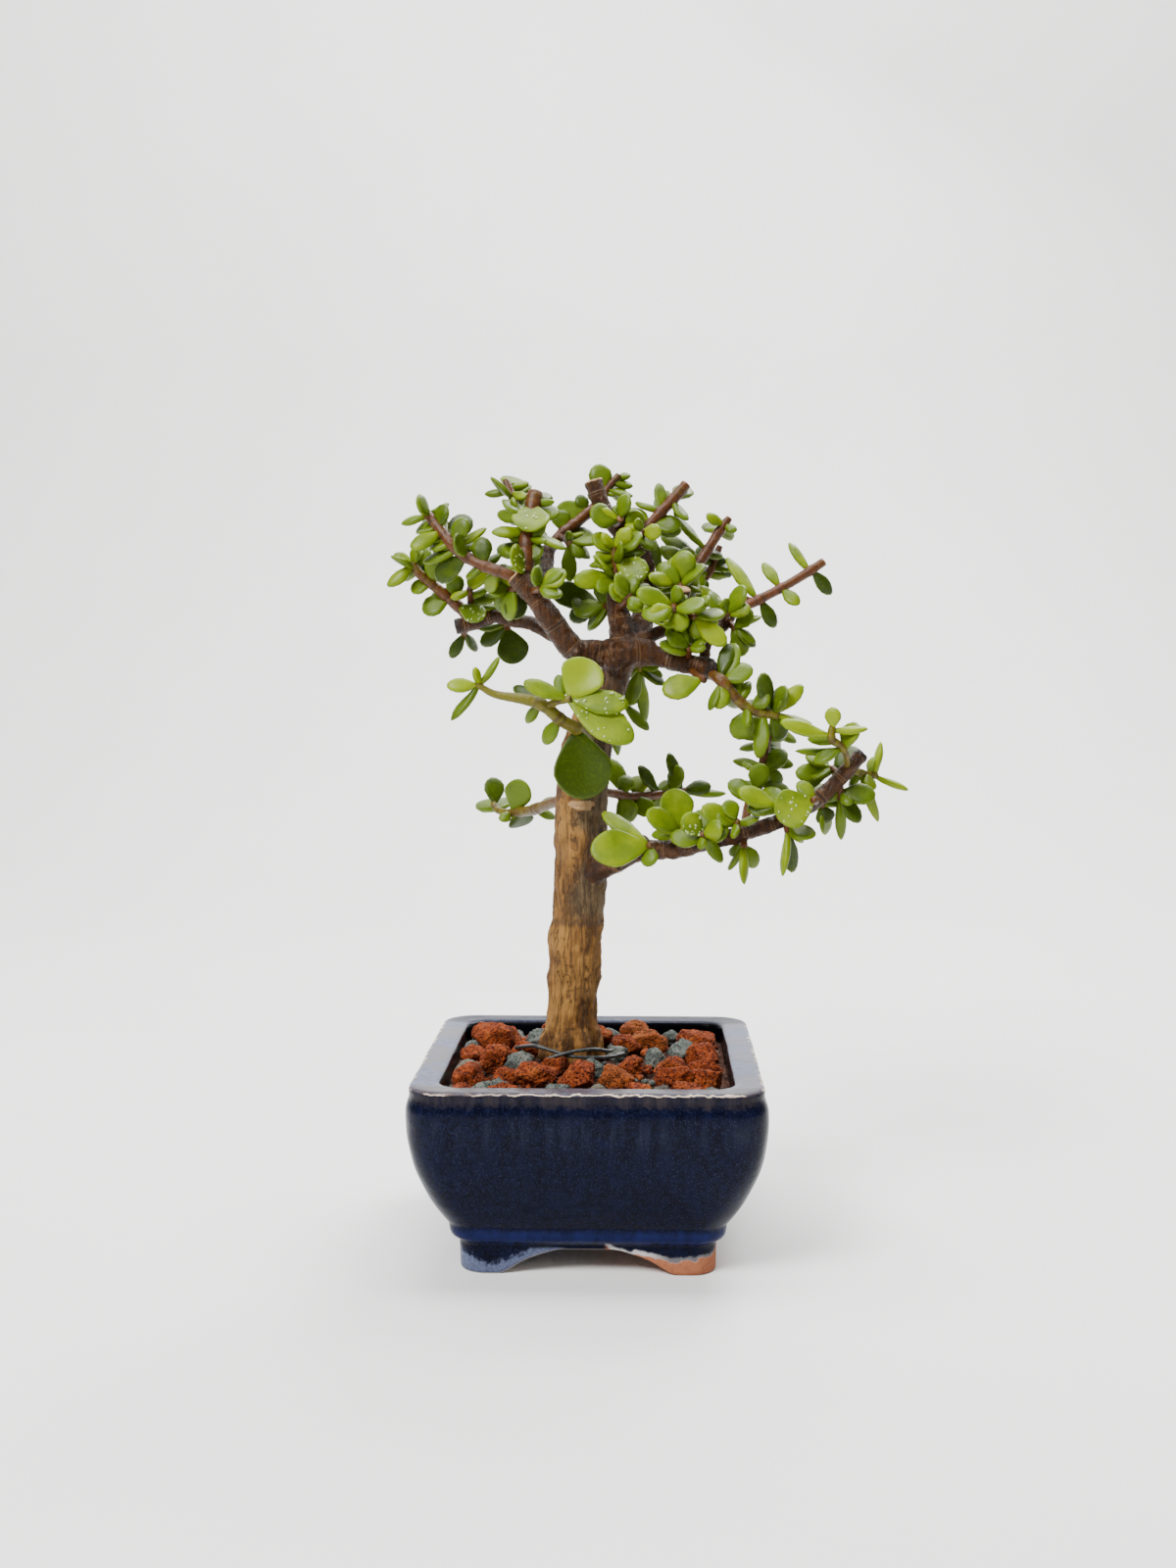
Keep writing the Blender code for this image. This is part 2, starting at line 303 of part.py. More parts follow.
        "stems": [[(68.4, 133.2, -10.4, 1.2), (69.4, 131.6, -5.4, 1.0), (69.6, 131.0, -4.2, 0.95)]],
        "leaves": [(69.5, 131.4, 71.2, 125.9, 6.2, 15, 1), (69.5, 131.6, 63.0, 134.4, 5.0, 30, 2)]},
    "spray_hang_right": {
        "stems": [[(59.0, 127.6, -12, 1.2), (59.2, 124.4, -14.2, 1.0), (59.3, 123.2, -14.4, 0.9)]],
        "leaves": [(59.0, 123.8, 57.6, 109.8, 4.0, 62, -3), (59.3, 123.8, 61.0, 111.0, 5.6, 30, 2)]},
    "spray_pale_left": {
        "stems": [[(56.6, 126.6, -12, 1.3), (57.2, 130.2, -15, 1.1), (56.6, 131.4, -16, 1.0)]],
        "leaves": [(56.8, 130.8, 44.2, 136.0, 6.8, 28, -1), (57.0, 130.2, 50.6, 131.0, 5.0, 25, 5)]},
    "spray_hang_middle": {
        "stems": [[(46.2, 122.8, -12, 1.2), (46.2, 119.4, -13.6, 1.0), (46.2, 118.4, -13.8, 0.9)]],
        "leaves": [(46.2, 118.8, 46.5, 107.2, 4.0, 58, -3), (46.2, 119.0, 50.2, 112.6, 5.6, 30, 2),
                   (46.2, 119.0, 41.6, 116.6, 3.6, 35, 3)]},
    "spray_pale_middle": {
        "stems": [[(43.8, 122.2, -12, 1.2), (44.2, 125.8, -14.6, 1.05), (43.6, 126.6, -15.4, 1.0)]],
        "leaves": [(43.8, 126.4, 33.2, 130.6, 7.0, 28, -1), (44.0, 126.0, 43.0, 121.4, 3.2, 60, -4)]},
    "spray_broad_wet": {
        "stems": [[(34.4, 120.4, -11, 1.2), (33.8, 122.0, -15.6, 1.05), (34.0, 122.8, -16.6, 1.0)]],
        "leaves": [(33.8, 122.2, 27.8, 128.4, 7.4, 15, -1), (34.2, 122.4, 41.2, 125.6, 6.4, 18, -1),
                   (33.8, 122.0, 33.4, 118.0, 3.4, 40, -2), (34.0, 122.4, 37.6, 117.2, 4.4, 40, 6)]},
    "spray_light_big": {
        "stems": [[(26.4, 118.6, -10, 1.3), (27.4, 122.8, -12.4, 1.1), (27.6, 124.4, -12.8, 1.0)]],
        "leaves": [(27.6, 124.2, 16.6, 129.2, 7.4, 25, -3), (27.6, 124.6, 24.6, 136.4, 10.4, 15, 3),
                   (27.4, 123.2, 18.2, 122.4, 4.4, 45, 3)]},
    "spray_big_low": {
        "stems": [[(17.6, 117.8, -9, 1.3), (18.0, 119.0, -14.4, 1.1), (17.4, 119.0, -15.6, 1.0)]],
        "leaves": [(17.6, 119.0, -0.2, 117.4, 11.6, 18, -2), (17.8, 119.2, 3.4, 129.2, 6.2, 35, 3)]},
    "spray_left_small": {
        "stems": [[(-1.0, 151.8, -5, 1.9), (-4.6, 154.5, -10, 2.0), (-8.9, 156.9, -12, 1.95),
                   (-12.8, 160.2, -13, 1.9), (-15.9, 162, -13, 1.8), (-20, 163.2, -13, 1.7),
                   (-28.5, 164.6, -13, 1.2), (-32.6, 166.6, -13, 1.0), (-34.6, 168.0, -13, 0.9)],
                  [(-13.6, 161.0, -13, 1.3), (-9.4, 162.8, -15, 1.1), (-5.8, 163.4, -16, 1.0)]],
        "leaves": [(-34.4, 168, -43.6, 167.4, 5.0, 25, -1), (-34.5, 167.8, -34.9, 172.9, 2.8, 50, -2),
                   (-33.8, 167.4, -27.3, 176, 3.4, 60, 1), (-34.2, 167.4, -42.4, 156.8, 3.6, 50, -1),
                   (-15.4, 161.8, -19.8, 156.2, 3.6, 45, 3), (-9.4, 157.6, -14.4, 149.8, 5.4, 35, 2),
                   (-6.2, 163.4, -20.4, 168.4, 6.0, 30, -1), (-14.6, 161.8, -23.2, 167.4, 5.0, 30, 4),
                   (-5.8, 163.6, 0.4, 175.0, 13.4, 12, 2), (-6.0, 163.3, 11.4, 161.6, 8.4, 25, -1),
                   (-7.2, 163.2, 12.8, 150.6, 10.6, 18, -3), (-4.4, 154.6, -1.4, 133.0, 17.4, 8, -2),
                   (-8.6, 163.0, -9.6, 170.6, 4.4, 30, 4)]},
    "spray_low_left": {
        "stems": [[(-6.0, 133.4, 5, 1.7), (-11, 132.2, 12, 1.7), (-17.6, 129.8, 20, 1.6),
                   (-21.5, 129.2, 24, 1.5), (-25.4, 128.8, 27, 1.2), (-28.3, 129.8, 29, 1.0),
                   (-29.7, 132, 30, 0.9)]],
        "leaves": [(-29.5, 131.6, -29.4, 139.8, 6.4, 12, 2), (-23.6, 129.2, -20.8, 139.0, 8.4, 15, -3),
                   (-21.4, 129.2, -21.2, 124.7, 8.0, 20, 5), (-16.0, 130.4, -10.6, 133.6, 3.4, 40, 3),
                   (-17.2, 130.0, -10.8, 127.4, 3.4, 45, 4), (-24.6, 128.9, -27.2, 126.4, 3.6, 40, -4)],
        "extra": 1},
    "spray_low_right": {
        "stems": [[(2.4, 135.4, 4, 1.4), (8, 134.6, 10, 1.4), (11.4, 133.9, 12, 1.35), (20, 134.5, 16, 1.2),
                   (28.4, 135.8, 19, 1.0)]],
        "leaves": [(20.6, 134.6, 14.3, 143.3, 4.6, 40, -2), (20.8, 134.6, 22.8, 139.0, 4.0, 40, 3),
                   (27.8, 135.7, 23.2, 147.2, 4.6, 40, -2), (28.2, 135.8, 36.2, 137.4, 5.0, 20, 2),
                   (28.2, 135.7, 40.8, 134.8, 3.2, 60, 3), (10.8, 134, 5.6, 145.4, 6.2, 25, 3),
                   (9.8, 134.2, 14.4, 129.0, 6.4, 20, 4), (19.6, 134.5, 20.0, 127.0, 5.6, 25, 3)],
        "extra": 1},
}

LEAF_ROOT = 1.0                  # how far from a stem's end the last leaf's foot is sunk
RIM_SIDES = 8                    # corners round a leaf's rim
EXTRA_LENGTH = 10.0
SLIM = 1.35                      # stems up to this radius are four-sided rods
STEP_BACK = 0.05                 # a stem's foot is drawn back in steps of this
MOST_STEPS = 240
ROD_ROOM = 1.02                  # a test rod is this much fatter, as its sides are flat
SWINGS = [(0, 0), (0, 8), (0, -8), (6, 0), (-6, 0), (0, 16), (0, -16), (6, 12), (-6, 12), (6, -12),
          (-6, -12), (12, 0), (-12, 0), (0, 26), (0, -26), (12, 20), (-12, 20), (12, -20), (-12, -20),
          (20, 0), (-20, 0), (0, 38), (0, -38), (20, 30), (-20, 30), (20, -30), (-20, -30)]
SHRINKS = (1.0, 0.85, 0.7)


def away(depth):
    """How much larger a thing is than it shows on the middle plane, at a tabled depth."""
    return 1 + depth * DEEPEN / -EYE.y


def seen(x, z, depth):
    """Point that shows at (x, z) on the middle plane, moved back by the tabled depth."""
    on_plane = Vector((x, 0.0, z))
    return EYE + (on_plane - EYE) * away(depth)


# Scene and materials

def clear_scene():
    """Remove what a new file holds."""
    for item in list(bpy.data.objects):
        bpy.data.objects.remove(item, do_unlink=True)


def new_collection(name, hidden=False):
    """Collection linked to the scene."""
    group = bpy.data.collections.new(name)
    bpy.context.scene.collection.children.link(group)
    group.hide_render = hidden
    return group


def make_materials():
    """One Principled material for each colour."""
    made = {}
    for name, (colour, rough) in COLOURS.items():
        mat = bpy.data.materials.new(name)
        mat.use_nodes = True
        shader = mat.node_tree.nodes["Principled BSDF"]
        shader.inputs["Base Color"].default_value = (*colour, 1.0)
        shader.inputs["Roughness"].default_value = rough
        shader.inputs["Metallic"].default_value = 0.0
        mat.diffuse_color = (*colour, 1.0)
        made[name] = mat
    return made


def add_object(name, mesh, group):
    """Object for a mesh, in a collection."""
    piece = bpy.data.objects.new(name, mesh)
    group.objects.link(piece)
    return piece


def from_bmesh(name, bm, group):
    """Object for a bmesh, with its faces turned outward."""
    bmesh.ops.recalc_face_normals(bm, faces=bm.faces)
    mesh = bpy.data.meshes.new(name)
    bm.to_mesh(mesh)
    bm.free()
    return add_object(name, mesh, group)


def apply_modifiers(piece):
    """Replace an object's mesh by its evaluated one."""
    graph = bpy.context.evaluated_depsgraph_get()
    mesh = bpy.data.meshes.new_from_object(piece.evaluated_get(graph))
    old = piece.data
    piece.modifiers.clear()
    piece.data = mesh
    bpy.data.meshes.remove(old)


def combine(piece, others, operation):
    """Fuse a list of objects into a piece, or cut them out of it."""
    group = new_collection(piece.name + "_with", hidden=True)
    for other in others:
        for owner in list(other.users_collection):
            owner.objects.unlink(other)
        group.objects.link(other)
        other.hide_render = True
        other.display_type = "WIRE"
    step = piece.modifiers.new(operation.lower(), "BOOLEAN")
    step.operation = operation
    step.operand_type = "COLLECTION"
    step.collection = group
    step.solver = "EXACT"
    apply_modifiers(piece)
    for other in others:
        bpy.data.objects.remove(other, do_unlink=True)
    bpy.data.collections.remove(group)


def drop_crumbs(piece):
    """Keep only the largest connected body of a piece that a cut has left crumbs of."""
    bm = bmesh.new()
    bm.from_mesh(piece.data)
    left = set(bm.verts)
    islands = []
    while left:
        island = set()
        edge = [left.pop()]
        while edge:
            vert = edge.pop()
            island.add(vert)
            for link in vert.link_edges:
                other = link.other_vert(vert)
                if other in left:
                    left.remove(other)
                    edge.append(other)
        islands.append(island)
    islands.sort(key=len)
    crumbs = [vert for island in islands[:-1] for vert in island]
    bmesh.ops.delete(bm, geom=crumbs, context="VERTS")
    bm.to_mesh(piece.data)
    bm.free()


# Rods, blades and stones

def tube(name, points, radii, group, fineness=2):
    """Closed round rod through the points, as a bevelled curve turned into a mesh."""
    curve = bpy.data.curves.new(name, "CURVE")
    curve.dimensions = "3D"
    curve.bevel_depth = MM
    curve.bevel_resolution = fineness
    curve.use_fill_caps = True
    line = curve.splines.new("POLY")
    line.points.add(len(points) - 1)
    for spot, where, radius in zip(line.points, points, radii):
        spot.co = (*(where * MM), 1.0)
        spot.radius = radius
    maker = add_object(name + "_curve", curve, group)
    graph = bpy.context.evaluated_depsgraph_get()
    mesh = bpy.data.meshes.new_from_object(maker.evaluated_get(graph))
    bpy.data.objects.remove(maker, do_unlink=True)
    bpy.data.curves.remove(curve)
    bm = bmesh.new()
    bm.from_mesh(mesh)
    bpy.data.meshes.remove(mesh)
    bmesh.ops.remove_doubles(bm, verts=bm.verts, dist=0.00001)
    return from_bmesh(name, bm, group)


def route(rows, grow=0.0):
    """Points and radii of a limb from its rows."""
    return [seen(x, z, depth) for x, z, depth, _ in rows], [row[3] * away(row[2]) + grow for row in rows]


def blade_place(corner, blade, grow=0.0):
    """Where a corner of a unit ball goes in a leaf: drawn out, narrow at the foot, cupped."""
    foot, tip, width, normal = blade
    along = tip - foot
    length = along.length
    along = along / length
    across = normal.cross(along).normalized()
    part = (1 - corner.x) / 2
    narrow = LEAF_NECK + (1 - LEAF_NECK) * min(1.0, part * LEAF_SWELL) ** 0.9
    side = corner.y * (width / 2 + grow) * narrow
    lift = corner.z * (LEAF_THICK / 2 + grow)
    cup = CUP_LONG * length * (part * part - part) + CUP_WIDE * side * side
    return foot + along * (part * (length + grow)) + across * side + normal * (lift + cup)


def ball_corners(rim=RIM_SIDES):
    """Corners and faces of the coarse ball that each leaf is drawn from."""
    corners = [Vector((math.cos(i * math.tau / rim), math.sin(i * math.tau / rim), 0)) for i in range(rim)]
    corners += [Vector((LEAF_BACK, 0, 1)), Vector((LEAF_BACK, 0, -1))]
    faces = [(i, (i + 1) % rim, rim) for i in range(rim)] + [((i + 1) % rim, i, rim + 1) for i in range(rim)]
    return corners, faces


BALL = ball_corners()


def blade_tree(blade, grow):
    """Search tree of a leaf grown by a gap, to tell whether it meets something."""
    corners, faces = BALL
    return BVHTree.FromPolygons([blade_place(corner, blade, grow) for corner in corners], faces)


def rod_tree(points, radii, grow, sides=8):
    """Search tree of a rod grown by a gap."""
    corners = []
    for i, (where, radius) in enumerate(zip(points, radii)):
        ahead = points[min(i + 1, len(points) - 1)] - points[max(i - 1, 0)]
        turn = ahead.to_track_quat("Z", "Y")
        for k in range(sides):
            angle = k * math.tau / sides
            spot = Vector((math.cos(angle), math.sin(angle), 0)) * (radius + grow) * ROD_ROOM
            corners.append(where + turn @ spot)
    faces = []
    for i in range(len(points) - 1):
        for k in range(sides):
            a, b = i * sides + k, i * sides + (k + 1) % sides
            faces.append((a, b, b + sides, a + sides))
    corners += [points[0], points[-1]]
    last = (len(points) - 1) * sides
    for k in range(sides):
        faces.append((k, (k + 1) % sides, len(corners) - 2))
        faces.append((last + k, last + (k + 1) % sides, len(corners) - 1))
    return BVHTree.FromPolygons(corners, faces)


def shortened(points, radii, cut):
    """Points and radii of a rod with a length cut off its start."""
    for i in range(len(points) - 1):
        step = points[i + 1] - points[i]
        if cut < step.length - 0.2:
            part = cut / step.length
            radius = radii[i] + (radii[i + 1] - radii[i]) * part
            return [points[i] + step * part] + points[i + 1:], [radius] + radii[i + 1:]
        cut -= step.length
    raise ValueError("the rod never comes clear")


def settled_stem(rows, obstacles):
    """Stem whose foot is drawn back until it stands just clear of what it grows from."""
    points, radii = route(rows)
    for k in range(MOST_STEPS):
        shorter, thick = shortened(points, radii, k * STEP_BACK)
        behind = shorter[0] + (shorter[0] - shorter[1]).normalized() * CLEAR * 0.8
        tree = rod_tree([behind] + shorter[1:], thick, CLEAR * 0.8)
        if not any(tree.overlap(other) for other in obstacles):
            return shorter, thick
    raise ValueError("the stem never comes clear")


def blade_object(name, blade, group):
    """A leaf: a coarse ball drawn out into a thick blade."""
    bm = bmesh.new()
    bmesh.ops.create_uvsphere(bm, u_segments=RIM_SIDES, v_segments=2, radius=1.0)
    for vert in bm.verts:
        corner = Vector(vert.co)
        if abs(corner.z) > 0.5:
            corner = Vector((LEAF_BACK, 0, math.copysign(1, corner.z)))
        vert.co = blade_place(corner, blade) * MM
    return from_bmesh(name, bm, group)


def depth_near(stems, x, z):
    """Depth of the stem that shows closest to (x, z)."""
    best = None
    for rows in stems:
        for first, second in zip(rows, rows[1:]):
            dx, dz = second[0] - first[0], second[1] - first[1]
            size = max(dx * dx + dz * dz, 0.01)
            part = max(0.0, min(1.0, ((x - first[0]) * dx + (z - first[1]) * dz) / size))
            if second is rows[-1]:
                whole = math.hypot(dx, dz, second[2] - first[2])
                part = min(part, max(0.0, 1 - LEAF_ROOT / whole))
            gap = math.hypot(first[0] + dx * part - x, first[1] + dz * part - z)
            if best is None or gap < best[0]:
                best = (gap, first[2] + (second[2] - first[2]) * part,
                        first[0] + dx * part, first[1] + dz * part)
    return best[1:]


def leaf_from_row(stems, row):
    """Foot, tip, width and normal of a leaf row."""
    foot_x, foot_z, tip_x, tip_z, width, turn, tip_depth = row
    depth, on_x, on_z = depth_near(stems, foot_x, foot_z)
    foot = seen(on_x, on_z, depth)
    tip = seen(tip_x, tip_z, depth + tip_depth)
    along = (tip - foot).normalized()
    toward = (EYE - foot).normalized()
    face = (toward - along * toward.dot(along)).normalized()
    side = along.cross(face)
    if side.z < 0:
        side = -side
    angle = math.radians(turn)
    return foot, tip, width * away(depth), (face * math.cos(angle) + side * math.sin(angle)).normalized()


def extra_rows(stems, count, draws):
    """Leaves at the back of a stem, in pairs by a rule with drawn lengths and turns."""
    rows = []
    line = stems[0]
    for k in range(count):
        first = line[-2 - k % max(1, len(line) - 2)]
        for hand in (-1, 1):
            reach = EXTRA_LENGTH * draws.uniform(0.35, 0.6)
            rows.append((first[0], first[1], first[0] + hand * reach, first[1] + draws.uniform(-2.5, 4.5),
                         draws.uniform(5, 6.5), draws.uniform(15, 50), draws.uniform(6, 9)))
    return rows


def swing(blade, sideways, back, size):
    """Leaf turned about its foot."""
    foot, tip, width, normal = blade
    toward = (EYE - foot).normalized()
    along = tip - foot
    flat = along.cross(toward).normalized()
    turn = Matrix.Rotation(math.radians(sideways), 3, toward) @ Matrix.Rotation(math.radians(back), 3, flat)
    return foot, foot + turn @ along * size, width * (0.5 + size / 2), (turn @ normal).normalized()


def knob_trees():
    """Search trees of the knobs on the wood."""
    trees = []
    for x, z, depth, radius in KNOBS:
        middle = seen(x, z, depth)
        ends = [middle - Vector((0, 0, radius * 0.8)), middle, middle + Vector((0, 0, radius * 0.8))]
        trees.append(rod_tree(ends, [radius * 0.6, radius, radius * 0.6], 0.0))
    return trees


def place_stems():
    """Settle the stems clear of the wood and of each other; returns rods by spray."""
    obstacles = [rod_tree(*route(rows), 0.0) for rows in WOOD.values()] + knob_trees()
    result = {}
    for name, spray in SPRAYS.items():
        main_stem = settled_stem(spray["stems"][0], obstacles)
        result[name] = [main_stem] + [route(rows) for rows in spray["stems"][1:]]
        obstacles += [rod_tree(*rod, 0.0) for rod in result[name]]
    return result


def place_leaves(stems):
    """Settle every leaf clear of other stems' wood and leaves; returns blades by spray."""
    draws = random.Random(LEAF_SEED)
    rods = [("trunk", rod_tree(*route(rows), 0.0)) for rows in WOOD.values()]
    rods += [("trunk", tree) for tree in knob_trees()]
    for name, parts in stems.items():
        rods += [(name, rod_tree(*rod, 0.0)) for rod in parts]
    placed = []
    result = {}
    for name, spray in SPRAYS.items():
        result[name] = []
        rows = spray["leaves"] + extra_rows(spray["stems"], spray.get("extra", 0), draws)
        for row in rows:
            kept = settled_leaf(leaf_from_row(spray["stems"], row), name, rods + placed)
            placed.append((name, blade_tree(kept, 0.0)))
            result[name].append(kept)
    return result


def settled_leaf(blade, name, others):
    """The least swung and shrunk leaf that is clear of what isn't its own stem's."""
    for size in SHRINKS:
        for sideways, back in SWINGS:
            trial = swing(blade, sideways, back, size)
            tree = blade_tree(trial, CLEAR + 0.1)
            if not any(owner != name and tree.overlap(other) for owner, other in others):
                return trial
    raise ValueError("a leaf never comes clear on " + name)


def stone(name, where, size, stretch, draws, group):
    """A rounded broken stone: a ball with each corner pushed in or out by a draw."""
    bm = bmesh.new()
    bmesh.ops.create_icosphere(bm, subdivisions=1, radius=1.0)
    turn = Matrix.Rotation(draws.uniform(0, math.tau), 3, "Z") @ Matrix.Rotation(draws.uniform(-0.5, 0.5), 3, "X")
    for vert in bm.verts:
        push = 1 + draws.uniform(-STONE_ROUGH, STONE_ROUGH)
        shape = Vector((vert.co.x * stretch[0], vert.co.y * stretch[1], vert.co.z * stretch[2]))
        vert.co = (where + turn @ (shape * size / 2 * push)) * MM
    return from_bmesh(name, bm, group)


# The pot and what fills it

def square_ring(bm, half, corner, z, steps=3):
    """Closed ring of edges round a square with rounded corners."""
    verts = []
    for quarter in range(4):
        start = quarter * math.pi / 2
        middle = Vector((half - corner, half - corner, 0))
        middle.rotate(Matrix.Rotation(start, 3, "Z"))
        for k in range(steps + 1):
            angle = start + k * math.pi / 2 / steps
            spot = middle + Vector((math.cos(angle), math.sin(angle), 0)) * corner
            verts.append(bm.verts.new(Vector((spot.x, spot.y, z)) * MM))
    return [bm.edges.new((verts[i], verts[(i + 1) % len(verts)])) for i in range(len(verts))]


def lofted(name, levels, group):
    """Closed body through rounded squares given as (height, half width, corner)."""
    bm = bmesh.new()
    rings = [square_ring(bm, half, corner, z) for z, half, corner in levels]
    for lower, upper in zip(rings, rings[1:]):
        bmesh.ops.bridge_loops(bm, edges=lower + upper)
    bmesh.ops.contextual_create(bm, geom=rings[0])
    bmesh.ops.contextual_create(bm, geom=rings[-1])
    return from_bmesh(name, bm, group)


def box(name, low, high, group):
    """Plain block between two corners."""
    bm = bmesh.new()
    bmesh.ops.create_cube(bm, size=1.0)
    low, high = Vector(low), Vector(high)
    for vert in bm.verts:
        part = vert.co + Vector((0.5, 0.5, 0.5))
        vert.co = Vector([low[i] + (high[i] - low[i]) * part[i] for i in range(3)]) * MM
    return from_bmesh(name, bm, group)


def cylinder(name, centre, radius, low, high, group, sides=24):
    """Upright round block."""
    bm = bmesh.new()
    bmesh.ops.create_cone(bm, cap_ends=True, segments=sides, radius1=radius * MM, radius2=radius * MM,
                          depth=(high - low) * MM)
    bmesh.ops.translate(bm, verts=bm.verts, vec=Vector((centre[0], centre[1], (low + high) / 2)) * MM)
    return from_bmesh(name, bm, group)


def arch_cutter(name, turn, group):
    """Long block with the arch's outline, wide at the table and narrow at its flat top."""
    bm = bmesh.new()
    bmesh.ops.create_cube(bm, size=1.0)
    for vert in bm.verts:
        high = vert.co.z > 0
        half = ARCH_TOP_HALF if high else ARCH_FOOT_HALF
        spot = Vector((math.copysign(half, vert.co.x), math.copysign(60, vert.co.y), ARCH_TOP if high else -0.6))
        spot.rotate(Matrix.Rotation(turn, 3, "Z"))
        vert.co = spot * MM
    return from_bmesh(name, bm, group)


def make_pot(group):
    """Square pot with a flat rim, waisted foot, four bracket feet and a drain hole."""
    outside = [(z, half, CORNER * half / RIM_HALF) for z, half in POT_OUTSIDE]
    inside = [(z, half, INSIDE_CORNER) for z, half in POT_INSIDE]
    pot = lofted("pot", outside + POT_RIM + inside, group)
    inner = POT_OUTSIDE[0][1] - FOOT_WALL
    cutters = [arch_cutter("arch_along_y", 0.0, group), arch_cutter("arch_along_x", math.pi / 2, group),
               box("under_recess", (-inner, -inner, -1), (inner, inner, ARCH_TOP + RECESS_RISE), group),
               cylinder("drain_cut", (0, 0), DRAIN_RADIUS, -2, FLOOR_Z + 2, group)]
    combine(pot, cutters, "DIFFERENCE")
    return pot


def make_drain_mesh(group):
    """Plastic screen over the drain hole: crossing bars."""
    low, high = FLOOR_Z + CLEAR, FLOOR_Z + CLEAR + SCREEN_THICK
    side = BAR_WIDTH / 2
    bars = []
    for k in range(BARS):
        at = side - SCREEN_HALF + k * (2 * SCREEN_HALF - BAR_WIDTH) / (BARS - 1)
        bars.append(box("bar_y", (at - side, -SCREEN_HALF, low), (at + side, SCREEN_HALF, high), group))
        bars.append(box("bar_x", (-SCREEN_HALF, at - side, low), (SCREEN_HALF, at + side, high), group))
    screen = bars[0]
    screen.name = "drain_mesh"
    combine(screen, bars[1:], "UNION")
    return screen


def inner_half(z):
    """Half width of the pot's inside at a height."""
    for (high_z, high_half), (low_z, low_half) in zip(POT_INSIDE, POT_INSIDE[1:]):
        if low_z <= z <= high_z:
            part = (z - low_z) / (high_z - low_z)
            return low_half + (high_half - low_half) * part
    return POT_INSIDE[-1][1]


def filling(name, heights, group):
    """Block that follows the pot's inside with a gap."""
    return lofted(name, [(z, inner_half(z) - CLEAR, INSIDE_CORNER - 0.2) for z in heights], group)


def root_hole(group, low, high):
    """Plain round cutter for the foot of the trunk."""
    return cylinder("root_cut", (TRUNK_X, 0), ROOT_HOLE, low, high, group)


def make_soil(group):
    """Soil with a pocket for the screen and a plain hole for the root."""
    soil = filling("soil", (FLOOR_Z + CLEAR, 15.5, 22.5, 33.5, SOIL_TOP), group)
    half = SCREEN_HALF + CLEAR
    cuts = [box("screen_cut", (-half, -half, FLOOR_Z - 1), (half, half, FLOOR_Z + 2 * CLEAR + SCREEN_THICK), group),
            root_hole(group, ROOT_END - CLEAR, SOIL_TOP + 5)]
    combine(soil, cuts, "DIFFERENCE")
    return soil


def bed_height(x, y):
    """Height of the gravel's surface: mounded toward the trunk."""
    reach = min(1.0, math.hypot(x - TRUNK_X, y) / MOUND_REACH)
    return BED_TOP + MOUND * (1 - reach) ** 1.2


# Stones picked out in the photograph: (x, y, width) with the lava first and the grey ones after
RED_STONES = [(-36, -26, 11.5), (-29, -9, 12.0), (-15, -28, 13.0), (-3, -27, 12.0), (8, -28, 12.0),
              (26, -27, 13.0), (39, -26, 12.0), (29, -36, 9.5), (-29, 14, 15.0), (17, 16, 13.0),
              (35, 4, 11.0), (-37, -36, 8.0), (-24, -36, 8.5), (15, -37, 8.5), (0, 22, 12.0), (33, 25, 12.5),
              (-12, 31, 12.0), (14, 34, 11.0), (-34, 33, 11.5), (36, -10, 10.5), (10, 10, 10.0),
              (-20, 2, 9.0), (24, -13, 10.0), (-38, 1, 10.0), (-10, -16, 8.5), (12, -14, 9.0), (-24, -22, 8.0)]
GREY_STONES = [(-38, -16, 9.0), (-21, -14, 9.5), (-30, -34, 7.0), (-8, -36, 8.0), (3, -36, 7.0),
               (2, -17, 7.5), (20, -4, 9.5), (28, 9, 10.0), (21, -34, 6.5), (36, -36, 7.0), (33, -18, 6.5),
               (-17, 19, 9.0), (6, 29, 8.0), (25, 32, 8.0), (-25, 30, 7.5), (-37, 16, 8.0), (38, 15, 7.0),
               (-16, -36, 5.5), (8, 0, 7.5), (-26, -28, 6.0)]
WIRE = [[(-23, 57.2, 0.5, 0.8), (-17.5, 57.8, -6.5, 0.8), (-12, 56.4, -8.5, 0.8), (-6, 54.7, -9.5, 0.8),
         (0, 54.3, -9, 0.8), (6, 54.6, -7.3, 0.8), (10, 55.6, -3.5, 0.8)],
        [(-14, 53.6, -10, 0.8), (-8.5, 55.4, -10, 0.8), (-4, 56.4, -9.3, 0.8), (1, 56.9, -8.3, 0.8),
         (5, 56.4, -6, 0.8), (6.5, 56.6, -2, 0.8)]]


def make_wire(group):
    """Tie wire at the foot of the trunk: two strands that cross."""
    strands = [tube("tie_wire", *route(rows), group) for rows in WIRE]
    combine(strands[0], strands[1:], "UNION")
    return strands[0]


def wire_cutters(group):
    """Rods that clear a bed in the gravel for the wire, a little fatter and longer than it."""
    cutters = []
    for rows in WIRE:
        points, radii = route(rows, CLEAR + WIRE_ROOM)
        first = points[0] + (points[0] - points[1]).normalized() * WIRE_END_ROOM
        last = points[-1] + (points[-1] - points[-2]).normalized() * WIRE_END_ROOM
        cutters.append(tube("wire_cut", [first] + points[1:-1] + [last], radii, group))
    return cutters


